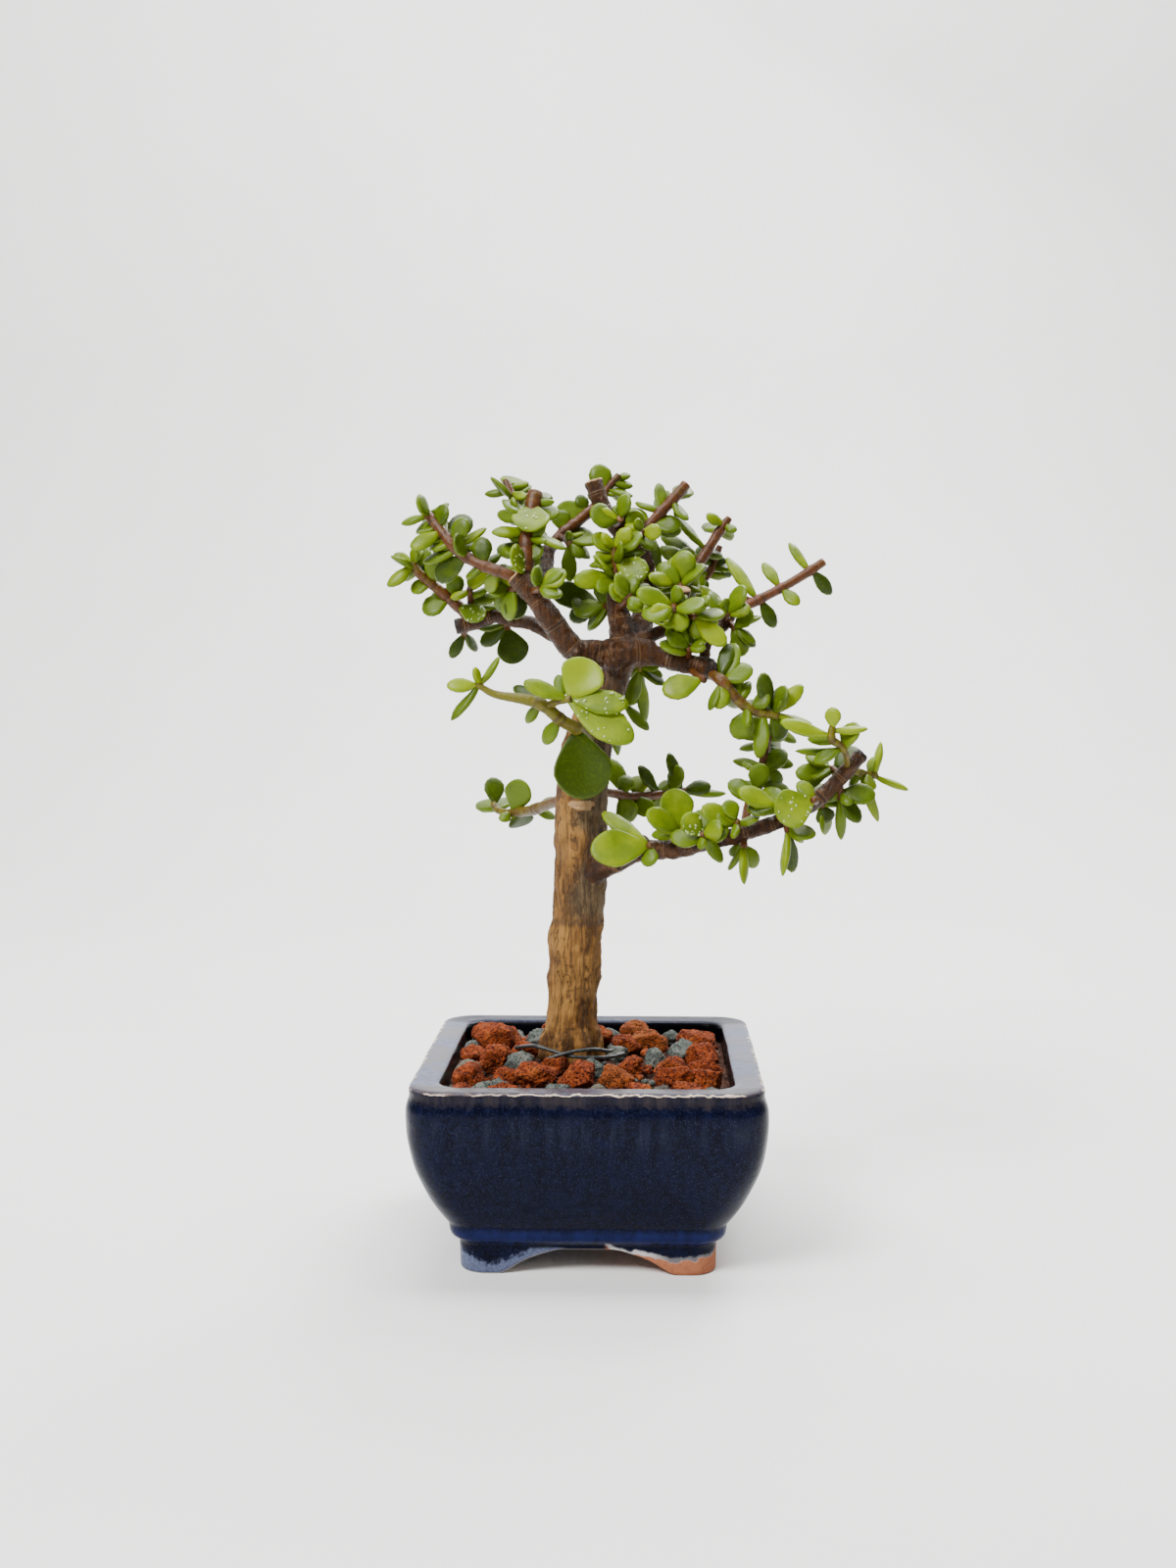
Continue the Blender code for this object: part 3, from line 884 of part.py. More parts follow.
def stones_of(rows, rise, group, seed, grow=0.0):
    """Stones of one colour, sunk partly in the bed; grow makes cutters of them."""
    draws = random.Random(seed)
    made = []
    for x, y, size in rows:
        flat = (1.0, draws.uniform(0.75, 0.95), draws.uniform(0.62, 0.8))
        limit = STONE_LIMIT - size * 0.6
        x, y = max(-limit, min(limit, x)), max(-limit, min(limit, y))
        z = bed_height(x, y) + rise * size
        made.append(stone("stone", Vector((x, y, z)), size + grow, flat, draws, group))
    return made


def columns(grow, group):
    """Posts that tie the grey stones to their bed; grow makes cutters of them."""
    return [cylinder("column", (x, y), size * COLUMN_PART + grow, GRIT_TOP - 1, bed_height(x, y), group, sides=6)
            for x, y, size in GREY_STONES]


def make_gravel(group):
    """Grey grit with its stones below, lava gravel above, each fused as one piece."""
    grit = filling("grey_grit", (SOIL_TOP + CLEAR, GRIT_TOP), group)
    combine(grit, columns(0.0, group) + stones_of(GREY_STONES, GREY_RISE, group, STONE_SEED), "UNION")
    combine(grit, [root_hole(group, SOIL_TOP - 5, RIM_Z + 20)], "DIFFERENCE")

    lava = filling("lava_gravel", (GRIT_TOP + CLEAR, BED_TOP), group)
    mounds = [cylinder("mound", (TRUNK_X, 0), radius, GRIT_TOP + 1, BED_TOP + rise, group, sides)
              for radius, rise, sides in MOUND_STEPS]
    combine(lava, mounds + stones_of(RED_STONES, RED_RISE, group, STONE_SEED + 1), "UNION")
    pockets = stones_of(GREY_STONES, GREY_RISE, group, STONE_SEED, grow=2 * CLEAR + POCKET)
    pockets += columns(CLEAR, group) + [root_hole(group, SOIL_TOP - 5, RIM_Z + 20)]
    combine(lava, pockets, "DIFFERENCE")
    return grit, lava


# The plant

def make_trunk(group):
    """Trunk, limbs, cut stubs and knobs in one piece."""
    rods = []
    for name, rows in WOOD.items():
        rods.append(tube(name, *route(rows), group, fineness=2 if name == "stem" else 1))
    for x, z, depth, radius in KNOBS:
        bm = bmesh.new()
        bmesh.ops.create_icosphere(bm, subdivisions=1, radius=radius * MM)
        bmesh.ops.translate(bm, verts=bm.verts, vec=seen(x, z, depth) * MM)
        rods.append(from_bmesh("knob", bm, group))
    for heading, radius in ROOTS:
        out = Vector((math.cos(math.radians(heading)), math.sin(math.radians(heading)), 0))
        foot = Vector((TRUNK_X, 0, 0))
        points = [foot + out * 2 + Vector((0, 0, 69)), foot + out * 6.6 + Vector((0, 0, 61)),
                  foot + out * (ROOT_HOLE - 1.1 - radius * 0.35) + Vector((0, 0, 54))]
        rods.append(tube("root", points, [radius * 0.8, radius, radius * 0.8], group, fineness=1))
    trunk = rods[0]
    trunk.name = "trunk"
    combine(trunk, rods[1:], "UNION")
    drop_crumbs(trunk)
    return trunk


def make_spray(name, stems, blades, group):
    """One leafy stem with its leaves fused to it."""
    parts = [tube(name, *rod, group, fineness=1 if max(rod[1]) > SLIM else 0) for rod in stems]
    parts += [blade_object("leaf", blade, group) for blade in blades]
    combine(parts[0], parts[1:], "UNION")
    drop_crumbs(parts[0])
    return parts[0]


def main():
    """Build every piece and set the whole on its origin."""
    clear_scene()
    group = new_collection("dwarf_jade_bonsai")
    colours = make_materials()
    pieces = [(make_pot(group), "glaze"), (make_drain_mesh(group), "mesh_black"),
              (make_soil(group), "soil_brown")]
    grit, lava = make_gravel(group)
    wire = make_wire(group)
    combine(lava, wire_cutters(group), "DIFFERENCE")
    combine(grit, wire_cutters(group), "DIFFERENCE")
    drop_crumbs(lava)
    drop_crumbs(grit)
    pieces += [(grit, "grit_grey"), (lava, "lava_red"), (wire, "wire_dark")]
    pieces.append((make_trunk(group), "bark"))
    stems = place_stems()
    blades = place_leaves(stems)
    for name in SPRAYS:
        pieces.append((make_spray(name, stems[name], blades[name], group), "leaf_green"))
    corners = [vert.co for piece, _ in pieces for vert in piece.data.vertices]
    middle_x = (min(c.x for c in corners) + max(c.x for c in corners)) / 2
    middle_y = (min(c.y for c in corners) + max(c.y for c in corners)) / 2
    for piece, colour in pieces:
        piece.data.transform(Matrix.Translation((-middle_x, -middle_y, 0)))
        piece.data.materials.clear()
        piece.data.materials.append(colours[colour])


main()
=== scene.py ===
"""Dwarf jade bonsai in a square glazed pot, dressed for the render.

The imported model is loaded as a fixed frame. Lengths in the tables are millimetres in the
pot's own frame: X to the right, Y away from the front, Z up, with the pot's middle at zero.
The crown is laid out as it looks from the front and carried back along the line of sight.
"""
import logging
import math
import random
from dataclasses import dataclass, field
from enum import Enum
from typing import Dict, Iterable, List, Optional, Sequence, Tuple

import bmesh
import bpy
import numpy as np
from mathutils import Matrix, Vector, noise
from mathutils.bvhtree import BVHTree


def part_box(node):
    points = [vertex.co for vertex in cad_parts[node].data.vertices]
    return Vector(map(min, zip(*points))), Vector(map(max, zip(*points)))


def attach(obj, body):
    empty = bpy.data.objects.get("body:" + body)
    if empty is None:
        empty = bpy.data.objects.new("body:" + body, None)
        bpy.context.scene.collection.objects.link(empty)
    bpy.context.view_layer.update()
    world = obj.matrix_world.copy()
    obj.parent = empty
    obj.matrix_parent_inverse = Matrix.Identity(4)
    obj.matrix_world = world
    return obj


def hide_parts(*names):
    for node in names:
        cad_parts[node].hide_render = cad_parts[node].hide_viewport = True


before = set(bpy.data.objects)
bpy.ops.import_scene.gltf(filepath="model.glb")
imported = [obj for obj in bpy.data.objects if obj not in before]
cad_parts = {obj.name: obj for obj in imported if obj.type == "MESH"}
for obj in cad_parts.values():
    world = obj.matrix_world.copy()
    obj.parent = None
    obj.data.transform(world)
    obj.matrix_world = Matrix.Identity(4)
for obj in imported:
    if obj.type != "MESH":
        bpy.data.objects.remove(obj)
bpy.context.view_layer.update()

LOG = logging.getLogger("bonsai")

MM = 0.001
CLEAR = 0.3
EYE = Vector((14.0, -480.7, 173.1))
DEEPEN = 1.5
_POT_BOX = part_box("pot")
MIDDLE = Vector(((_POT_BOX[0][0] + _POT_BOX[1][0]) / 2, (_POT_BOX[0][1] + _POT_BOX[1][1]) / 2, 0.0))

LEAF_THICK = 1.7
FLESHY = 1.4
BROADER = 1.08
FILLER = -1
LEAF_SEED = 7
STONE_SEED = 11
LEAF_ROOT = 1.0
RIM_SIDES = 8
ROD_SIDES = 8
EXTRA_LENGTH = 10.0
BED_TOP = 50.4
MOUND = 5.0
TRUNK_X = -6.0
STONE_LIMIT = 40.9

WOOD = {
    "stem": [(-6, 40, 0, 8.2), (-6, 52, 0, 9.2), (-6, 60, 0, 8.6), (-5.7, 68, 0, 7.5), (-5.2, 79, 0, 7.7),
        (-4.6, 91, 0, 8.2), (-3.6, 100, 0, 7.7), (-3.1, 114, 0, 7.9), (-3, 129, 0, 7.8),
        (-2.2, 142, 0, 7.8), (-0.2, 153, 0, 7.1), (3.8, 163, 0, 5.6), (7.4, 171, 0, 4.6), (9, 177, 0, 4.8)],
    "junction": [(1, 177.4, -1, 3.6), (6, 176.8, -1, 4.3), (11, 177.2, -1, 4.6), (16.5, 177.4, 0, 3.8)],
    "left_limb": [(6, 177, -1, 3.8), (0, 177.3, -2, 3.6), (-5.6, 178.6, -3, 3.7), (-12, 187, -4, 3.5),
        (-16.3, 193.2, -4, 3.3), (-20.2, 197.7, -4, 3.2), (-23, 200.4, -4, 2.9)],
    "left_back_limb": [(-4, 178.5, 0, 2.3), (-14.3, 184.1, 7, 2.1), (-18.4, 186.1, 10, 2.1),
        (-23.4, 186.9, 12, 2.1), (-28.7, 188.2, 13, 2.2), (-35, 186.2, 14, 2.2), (-40.8, 185, 14, 2.4)],
    "back_limb": [(-15.3, 192, -3, 2.4), (-13.7, 198, 4, 2.5), (-13.5, 204, 9, 2.4),
        (-12.6, 208.5, 11, 2.1)],
    "middle_limb": [(9, 176, 0, 4.4), (9.2, 183, 2, 3.7), (8.2, 189, 3, 3.3), (6.8, 194.2, 3, 2.2),
        (7.0, 196.4, 3, 1.8)],
    "top_limb": [(11, 177, 2, 4.0), (15, 186, 8, 3.4), (16.6, 196, 11, 3.2), (15, 206, 11, 3.1),
        (12.8, 211.5, 10.5, 3.2), (11.4, 219.2, 10, 3.1)],
    "top_stub": [(13.4, 209, 10.5, 2.7), (9, 212.8, 11, 2.6), (5.4, 217, 11, 2.6), (2.6, 222.4, 11, 2.6),
        (0.5, 228.4, 11, 2.65)],
    "tan_stub": [(13, 178.6, 1, 3.0), (17, 181.8, 2, 2.3), (22.5, 184.4, 1, 1.9), (25.8, 188.4, 0, 1.8),
        (27, 192.4, -1, 1.9), (28, 196.5, -2, 2.05)],
    "right_limb": [(12, 177, 0, 3.8), (19.6, 176.2, -2, 3.1), (30, 173.6, -3, 3.0), (36.6, 172.2, -4, 3.1)],
    "knob_limb": [(33.6, 173.4, -3, 1.6), (34.3, 178, -1, 1.5), (35.8, 182, 2, 1.6), (39.4, 185.4, 6, 2.1),
        (41.2, 188.6, 8, 2.3)],
    "knob_stub": [(39.6, 186, 7, 1.7), (35.4, 188.8, 9, 1.7)],
    "lower_limb": [(-2, 110.5, -1, 5.0), (5.5, 113.9, -5, 4.0), (15, 117.4, -8, 3.1), (27, 118.1, -10, 2.8),
        (34.8, 120.4, -11, 2.6), (42.5, 121.8, -12, 2.5), (48.6, 123.7, -12, 2.4), (56, 126.3, -12, 2.35),
        (64.6, 130.6, -11, 2.3), (69, 133.8, -11, 2.3), (74, 138.8, -10, 2.3), (78, 143.2, -10, 2.3),
        (81.3, 147, -9, 2.25)],
}
# Knobs on the wood: (x, z, depth, radius)
KNOBS = [(-4.8, 176.9, -5.5, 1.6), (1.6, 179.0, -3.5, 2.0), (17.4, 178.6, -2.5, 2.6), (6.5, 173.6, -4, 2.4),
         (27.4, 118.3, -12.2, 1.5), (15.9, 120.6, -9, 1.7), (-3, 131.6, -6.3, 2.6), (36.4, 171.8, -5, 2.9)]
# Root flare: (heading in degrees, radius)
ROOTS = [(200, 2.4), (250, 2.8), (300, 2.6), (345, 2.6), (30, 2.5), (80, 2.6), (130, 2.5), (165, 2.2)]

# Leafy stems: "stems" holds rows of (x, z, depth, radius); the first one starts inside the wood.
# "leaves" holds rows of (foot x, foot z, tip x, tip z, width, turn, tip depth): turn 0 shows the
# whole blade from the front, 90 shows its edge, and tip depth counts from the leaf's foot.
SPRAYS = {
    "spray_left_tip": {
        "stems": [[(-21.6, 199.2, -4, 1.7), (-26.7, 201.2, -4, 1.7), (-33.3, 203.6, -3, 1.65),
            (-38.2, 206.3, -2, 1.6), (-41.6, 209.4, -2, 1.55), (-44.1, 212.6, -1, 1.5),
            (-46.6, 215.6, 0, 1.5), (-50.4, 220.2, 1, 1.1)]],
        "leaves": [(-41.5, 210.5, -37.0, 218.4, 7.4, 20, 4), (-40, 208.8, -30, 209.4, 5.0, 60, 3),
            (-40.7, 209.3, -31.2, 214.4, 4.6, 70, 2), (-48.5, 218.4, -42.4, 221.7, 3.2, 70, 3),
            (-49.6, 217.6, -57, 215.6, 4.0, 60, 1), (-48.3, 216.4, -52.4, 213, 3.6, 60, 3),
            (-45.2, 213, -54.2, 208.4, 5.4, 35, -2), (-42.6, 210.6, -44.4, 206.8, 3.6, 30, 4),
            (-40.6, 207.4, -50.6, 204.2, 4.6, 55, 3), (-37.6, 205.4, -46.8, 199.2, 7.6, 20, 4),
            (-31.6, 203.4, -27.2, 206.6, 3.4, 60, 5), (-28, 201.8, -31.2, 195.4, 5.0, 30, 4)],
        "extra": 3},
    "spray_left_low": {
        "stems": [[(-36.4, 187.2, 13, 1.6), (-39.4, 190.6, 12, 1.7), (-44.4, 195, 11, 1.7),
            (-48.1, 197.9, 10, 1.5), (-51.9, 201.2, 9, 1.3), (-53.6, 204.4, 9, 1.0)]],
        "leaves": [(-53.6, 203.6, -52.6, 208.6, 3.6, 30, -2), (-53.2, 204.2, -59.2, 206.8, 4.0, 35, 0),
            (-53.6, 203.4, -61.2, 197, 4.6, 35, -1), (-53.8, 204, -50.6, 207.8, 3.0, 50, 2),
            (-40, 191.2, -31.8, 187.6, 6.4, 15, -6), (-41, 191.8, -44.8, 196.6, 3.0, 60, 4)],
        "extra": 1},
    "spray_left_pair": {
        "stems": [[(-33.6, 187.0, 13, 1.1), (-36.0, 190.5, 13.5, 1.0), (-36.4, 196.4, 9, 0.9)]],
        "leaves": [(-36.3, 196.2, -29.8, 203.2, 4.4, 45, -2), (-36.3, 196.0, -42.2, 193.4, 4.0, 60, -1),
            (-36.2, 192.4, -26.8, 194.4, 4.6, 60, -2), (-36, 191.2, -27.6, 191.0, 3.8, 60, 0)]},
    "spray_left_hang": {
        "stems": [[(-25.4, 186.9, 12.4, 1.2), (-25.2, 185.2, 15.4, 1.0), (-24.9, 184.2, 17, 0.9)]],
        "leaves": [(-25.0, 184.6, -22.6, 173.8, 9.6, 8, 1), (-25.2, 185.0, -33.4, 179.8, 5.6, 20, 3),
            (-25.2, 185.2, -34.6, 184.4, 3.4, 65, 2)]},
    "spray_left_drop": {
        "stems": [[(-37.6, 185.6, 14, 1.2), (-38.0, 183.4, 17.4, 0.95), (-38.4, 182.2, 18.6, 0.85)]],
        "leaves": [(-38.2, 182.8, -42.4, 175.6, 4.2, 30, 1), (-38.0, 183.2, -34.2, 177.8, 3.6, 40, 5)]},
    "spray_left_inner": {
        "stems": [[(-21.2, 197.4, -4, 1.2), (-23.6, 196.2, -0.4, 1.0), (-24.8, 196.0, 2.2, 0.9)]],
        "leaves": [(-24.2, 196.2, -21.8, 187.2, 7.6, 12, 1), (-24.4, 196.2, -30.4, 198.6, 5.0, 25, 4),
            (-24.4, 196.6, -25.4, 202.6, 4.0, 30, 6)]},
    "spray_left_stub": {
        "stems": [[(-19.9, 198.6, -4, 2.3), (-19.4, 205, -2, 2.4), (-18.9, 212, 0, 2.35),
            (-16.6, 225, 3, 2.15)], [(-19, 211.5, 0, 1.4), (-21.6, 217.5, 3, 1.3), (-23.4, 223.3, 5, 1.2),
            (-25.6, 228.6, 6, 1.0)]],
        "leaves": [(-17.2, 221.4, -18.6, 213.4, 11.0, 6, -6), (-19.2, 205.4, -26.4, 204.6, 8.6, 8, -5.5),
            (-24.6, 225.2, -31.9, 224.4, 2.6, 60, 1), (-24.6, 225.6, -18.6, 227.8, 3.0, 60, 3),
            (-23.8, 224.4, -19.2, 223.6, 3.0, 50, -3), (-16.8, 223.4, -11.4, 223.6, 3.4, 35, 4),
            (-17.2, 221.8, -10.8, 222.0, 2.6, 55, 0), (-20.8, 216, -27.8, 219.2, 4.6, 30, 4),
            (-22.0, 218.4, -20.0, 223.0, 4.4, 30, 5), (-19, 213.6, -29.8, 212.9, 5.0, 50, -3),
            (-18.8, 213.8, -7.4, 207.9, 4.8, 60, -2), (-18.9, 211.4, -13.4, 210.2, 2.6, 35, -5),
            (-19.2, 207.4, -15.6, 201.8, 5.4, 30, 4), (-19.3, 206.4, -29.2, 209.0, 6.0, 25, 5)],
        "extra": 1},
    "spray_left_fork": {
        "stems": [[(-18.2, 195.4, -4, 1.2), (-15.8, 196.2, -8.4, 1.0), (-15.2, 196.8, -9.4, 0.9)]],
        "leaves": [(-15.4, 196.6, -8.4, 201.6, 4.2, 55, -1), (-15.6, 196.6, -16.6, 203.0, 3.4, 60, 3)]},
    "spray_back_twig": {
        "stems": [[(-13.0, 206.8, 10.6, 1.6), (-9.2, 212, 13, 1.8), (-3, 217, 15.5, 1.7),
            (2, 221.6, 17.5, 1.4), (5, 226, 18, 1.1), (8.4, 230.0, 18, 0.9)], [(-9.6, 211.6, 12.8, 1.1),
            (-7.6, 211.0, 9.4, 1.0), (-6.4, 209.4, 6.6, 0.95)]],
        "leaves": [(-5.6, 214.8, -5.8, 222.4, 9.4, 12, 2), (-6.3, 208.4, -6.4, 198.4, 5.0, 20, -2),
            (-6.4, 209.2, -6.6, 213.6, 2.4, 40, -1), (-6.2, 208.8, 4.6, 211.0, 4.4, 60, -1),
            (6.2, 227.4, 12.6, 226.8, 3.4, 55, 1), (5, 225.4, 12.6, 223.6, 3.2, 60, -2),
            (7.8, 229.2, 11.8, 229.9, 2.6, 50, 1)],
        "extra": 1},
    "spray_middle": {
        "stems": [[(6.9, 195.4, 3, 1.3), (7.6, 201, 3, 1.25), (7.1, 205, 3, 1.2), (6.9, 209.2, 3, 0.95)]],
        "leaves": [(7, 208.6, 11.8, 213.9, 5.2, 12, -2), (7, 208.6, 3.2, 212.6, 3.8, 40, -2),
            (7.1, 205.4, 0.4, 205.4, 3.8, 55, -2), (7.2, 204.6, -0.8, 203.2, 4.0, 60, 1),
            (7.1, 206.0, 1.4, 207.2, 3.0, 60, 4), (7.3, 206.4, 16.2, 207.2, 4.2, 60, 2),
            (7.3, 204.4, 15.2, 204.6, 4.2, 55, 1), (7.4, 205.0, 16.8, 199.6, 8.4, 15, -4),
            (7.5, 200, -5.3, 198.4, 6.6, 20, -3), (7.5, 199.4, 1.9, 195.6, 5.2, 10, -4),
            (7.6, 199.8, 15.8, 198.0, 4.4, 55, 2), (7.2, 203.6, 9.4, 210.0, 4.4, 70, -5)]},
    "spray_middle_low": {
        "stems": [[(8.4, 190.6, 2, 1.4), (10.6, 192.6, -2.6, 1.0), (11.6, 194.6, -4.2, 0.9)]],
        "leaves": [(11.2, 193.8, 8.0, 197.6, 3.8, 30, -1), (11.4, 193.8, 14.6, 190.2, 5.0, 35, -2),
            (11.6, 194.6, 13.2, 198.2, 3.4, 40, 3), (11.6, 194.4, 17.4, 197.4, 4.6, 30, 4)]},
    "spray_dark_back": {
        "stems": [[(7.6, 190.4, 4, 1.5), (4.6, 190.8, 8.4, 1.1), (1.4, 191.4, 11, 1.0)]],
        "leaves": [(3.4, 191.0, -12.4, 196.6, 8.2, 15, 4), (2.0, 191.2, -6.6, 187.6, 6.4, 20, 4),
            (1.6, 191.4, 4.2, 195.6, 3.4, 40, 3)]},
    "spray_top": {
        "stems": [[(13.6, 211.6, 9.0, 1.3), (15.4, 212.6, 5.4, 1.1), (14.6, 213.6, 4.4, 0.95)]],
        "leaves": [(15.0, 213.2, 21.0, 213.0, 5.0, 12, -2), (14.8, 213.4, 13.4, 217.0, 3.0, 40, -2)]},
    "spray_top_face": {
        "stems": [[(7.0, 215.2, 10.4, 1.3), (8.4, 216.2, 6.4, 1.1), (8.8, 217.2, 5.0, 0.95)]],
        "leaves": [(8.6, 217.2, 0.8, 217.6, 6.4, 8, -2), (8.7, 217.4, 7.2, 221.0, 3.0, 40, 1)]},
    "spray_top_right": {
        "stems": [[(14.6, 210.2, 11, 1.5), (17.9, 215.6, 13, 1.65), (24.6, 222.9, 15, 1.6),
            (28.3, 227.1, 16, 1.6)]],
        "leaves": [(20.9, 218.8, 20.3, 227.7, 3.8, 15, 3), (20.9, 219, 13, 221.8, 3.4, 75, 2),
            (24.2, 222.0, 28.8, 216.4, 4.4, 60, -3), (17.2, 214.6, 27.0, 213.6, 5.6, 25, 3),
            (17.2, 214.2, 20.4, 201.6, 4.6, 45, 3)],
        "extra": 1},
    "spray_right_stick": {
        "stems": [[(17.4, 194.4, 12, 1.7), (23.6, 197.8, 14.5, 1.6), (30.7, 202, 16, 1.55),
            (38.1, 213, 18, 1.5), (41.2, 217.2, 18.5, 1.0)]],
        "leaves": [(39.8, 215.2, 34.2, 217.9, 3.8, 30, -3), (39.8, 215.0, 43.2, 213.2, 3.2, 40, -2),
            (34.4, 207.6, 24.4, 219.0, 4.0, 60, 3), (31.2, 202.8, 20.4, 208.6, 5.6, 30, 3),
            (31.4, 202.6, 28.6, 208.8, 4.4, 35, 5), (32.8, 205.0, 20.8, 212.4, 5.0, 30, 6)],
        "extra": 1},
    "spray_right_back": {
        "stems": [[(16.6, 188.6, 10, 1.4), (24, 191.0, 17, 1.3), (31.2, 196.2, 21, 1.2),
            (35.6, 201.7, 22.5, 1.1), (38.4, 208.9, 23, 0.9)]],
        "leaves": [(37.6, 206.6, 41.8, 199.6, 4.4, 45, 2), (35.2, 201.2, 31.4, 200.0, 3.4, 35, -1),
            (34.8, 200.6, 41.2, 199.9, 2.8, 70, 3), (31.6, 196.6, 25.6, 203.0, 7.0, 20, 3),
            (30.4, 195.6, 29.0, 190.0, 5.0, 30, 2), (28.6, 194.2, 32.4, 189.4, 4.4, 40, 4)],
        "extra": 1},
    "spray_long_right": {
        "stems": [[(40.6, 187.8, 8, 1.5), (44.3, 190, 9, 1.5), (47.5, 191.6, 10, 1.5), (57.9, 197, 11, 1.4),
            (65, 201.3, 12, 1.4), (69.3, 204.2, 12.5, 1.3)], [(49, 192.4, 10.2, 0.9),
            (45.8, 193.4, 12, 0.8)]],
        "leaves": [(49.6, 193.4, 40.4, 205.6, 4.8, 45, 4), (50.8, 192.6, 55, 184.6, 4.6, 20, 1),
            (56.3, 196.8, 51.3, 204.0, 4.2, 30, 3), (56.5, 197.0, 61.9, 191.3, 4.4, 25, -3),
            (64.9, 201.4, 58.8, 209.9, 3.4, 50, 3), (66, 201.4, 71.7, 194.5, 4.6, 25, 2)],
        "extra": 0},
    "spray_knob_front": {
        "stems": [[(40.2, 186.8, 7, 1.2), (40.4, 188.0, 3.6, 1.0), (40.8, 188.8, 1.6, 0.9)]],
        "leaves": [(40.6, 188.6, 47.6, 190.6, 4.4, 30, -3), (40.6, 188.4, 40.2, 193.6, 3.0, 40, -1),
            (40.4, 187.8, 32.8, 197.2, 4.6, 40, -2)]},
    "spray_knob_low": {
        "stems": [[(40.6, 186.8, 6.6, 1.2), (42.6, 184.8, 4.6, 0.95), (43.0, 184.2, 3.8, 0.85)]],
        "leaves": [(42.8, 184.6, 49.2, 180, 3.8, 50, -1), (42.8, 184.4, 43.6, 180.0, 3.4, 35, 4)]},
    "spray_bright_pair": {
        "stems": [[(25.4, 187.8, 0, 1.2), (28.8, 188.6, -4, 1.0), (31.4, 187.6, -6, 0.95)]],
        "leaves": [(31.2, 187.2, 40.4, 179.4, 6.2, 12, -2), (29.0, 188.4, 32.0, 179.6, 7.4, 20, 3),
            (31.2, 187.8, 35.0, 188.6, 3.6, 35, 3)]},
    "spray_wet_round": {
        "stems": [[(26.6, 191.2, -0.8, 1.2), (25.0, 191.0, -5.6, 1.0), (24.8, 189.8, -7.6, 0.95)]],
        "leaves": [(25.0, 189.4, 17.6, 187.4, 6.8, 6, -2), (24.8, 191.0, 13.6, 195.6, 6.4, 25, -1),
            (24.6, 189.6, 11.8, 191.4, 4.6, 45, 4), (24.9, 190.6, 24.6, 185.6, 3.0, 55, 3)]},
    "spray_crown_right": {
        "stems": [[(27.4, 194.6, -1.6, 1.2), (26.4, 197.6, 3.4, 1.0), (26.4, 198.4, 4.6, 0.95)]],
        "leaves": [(26.4, 198.0, 16.0, 199.8, 5.4, 40, -5), (26.6, 198.0, 31.8, 200.0, 6.4, 15, 3),
            (26.4, 198.2, 24.8, 203.4, 5.6, 30, 4)]},
    "spray_right_top": {
        "stems": [[(29.0, 174.6, -3, 1.2), (29.2, 178.0, -5.4, 1.0), (29.4, 179.0, -6, 0.9)]],
        "leaves": [(29.4, 178.8, 22.8, 184.8, 5.6, 20, 1), (29.4, 178.4, 34.4, 178.6, 3.2, 45, -2),
            (29.2, 178.0, 22.0, 178.4, 2.8, 70, 1)]},
    "spray_big_oval": {
        "stems": [[(29.6, 172.4, -3.4, 1.2), (32.0, 170.2, -7.8, 1.0), (34.2, 168.9, -9.6, 0.95)]],
        "leaves": [(34.6, 168.8, 21.4, 165.2, 8.4, 25, -1)]},
    "spray_junction_hang": {
        "stems": [[(13.2, 176.4, 0.5, 1.3), (14.4, 172.8, 4.6, 1.1), (14.8, 171.8, 6.6, 1.0)]],
        "leaves": [(14.4, 172.4, 11.2, 161.2, 5.0, 15, 2), (14.8, 172.2, 16.6, 156.6, 4.6, 35, 4),
            (14.8, 172.4, 21.6, 170.0, 4.0, 25, 2), (14.6, 172.4, 14.0, 166.0, 4.6, 25, 6)]},
    "spray_trunk_back": {
        "stems": [[(2.4, 157.6, 2, 1.4), (6.4, 160.4, 8, 1.1), (10.4, 162.2, 12, 0.95)]],
        "leaves": [(10.2, 162.0, 17.6, 154.0, 4.4, 40, 2), (10.4, 162.2, 15.0, 164.6, 3.6, 50, 4),
            (6.4, 160.4, 8.4, 146.2, 4.6, 60, 4)]},
    "spray_right_end": {
        "stems": [[(34.6, 171.8, -4.2, 1.7), (38.4, 169.4, -8.2, 1.7), (40.4, 167.6, -8.6, 1.65),
            (43.4, 163.6, -8.4, 1.6), (48, 160.2, -8, 1.6), (51.6, 159.3, -8, 1.5),
            (56.2, 158.6, -8, 1.2)]],
        "leaves": [(39.4, 168.4, 35.4, 159.9, 3.6, 45, -2), (46.8, 161.4, 46.6, 154.6, 3.6, 45, -3),
            (40.6, 167.4, 42.6, 180.2, 6.4, 20, 4), (44.2, 163.0, 42.6, 172.8, 5.2, 15, 4),
            (45.0, 162.4, 47.4, 168.8, 3.6, 40, 2), (53.4, 159.0, 51.4, 171.4, 5.6, 20, -1),
            (55.6, 158.7, 63.4, 167.6, 5.0, 15, 1), (56, 158.6, 66.4, 155.8, 3.8, 60, 1),
            (52.2, 159.2, 50.4, 145.4, 5.0, 30, -2), (55.8, 158.6, 57.6, 163.4, 3.0, 45, -2),
            (38.6, 169.0, 40.6, 177.0, 5.0, 20, 6)],
        "extra": 1},
    "spray_upright_right": {
        "stems": [[(46.4, 123.6, -12, 1.4), (47.4, 131, -6, 1.4), (50.6, 137.4, -2, 1.35),
            (51.8, 144.8, 0, 1.25), (53, 151.4, 2, 1.1), (54.2, 155.6, 3, 1.0)]],
        "leaves": [(51.5, 143.4, 42.6, 144.9, 3.6, 40, 3), (52.2, 145.4, 60.9, 143.6, 4.4, 35, 2),
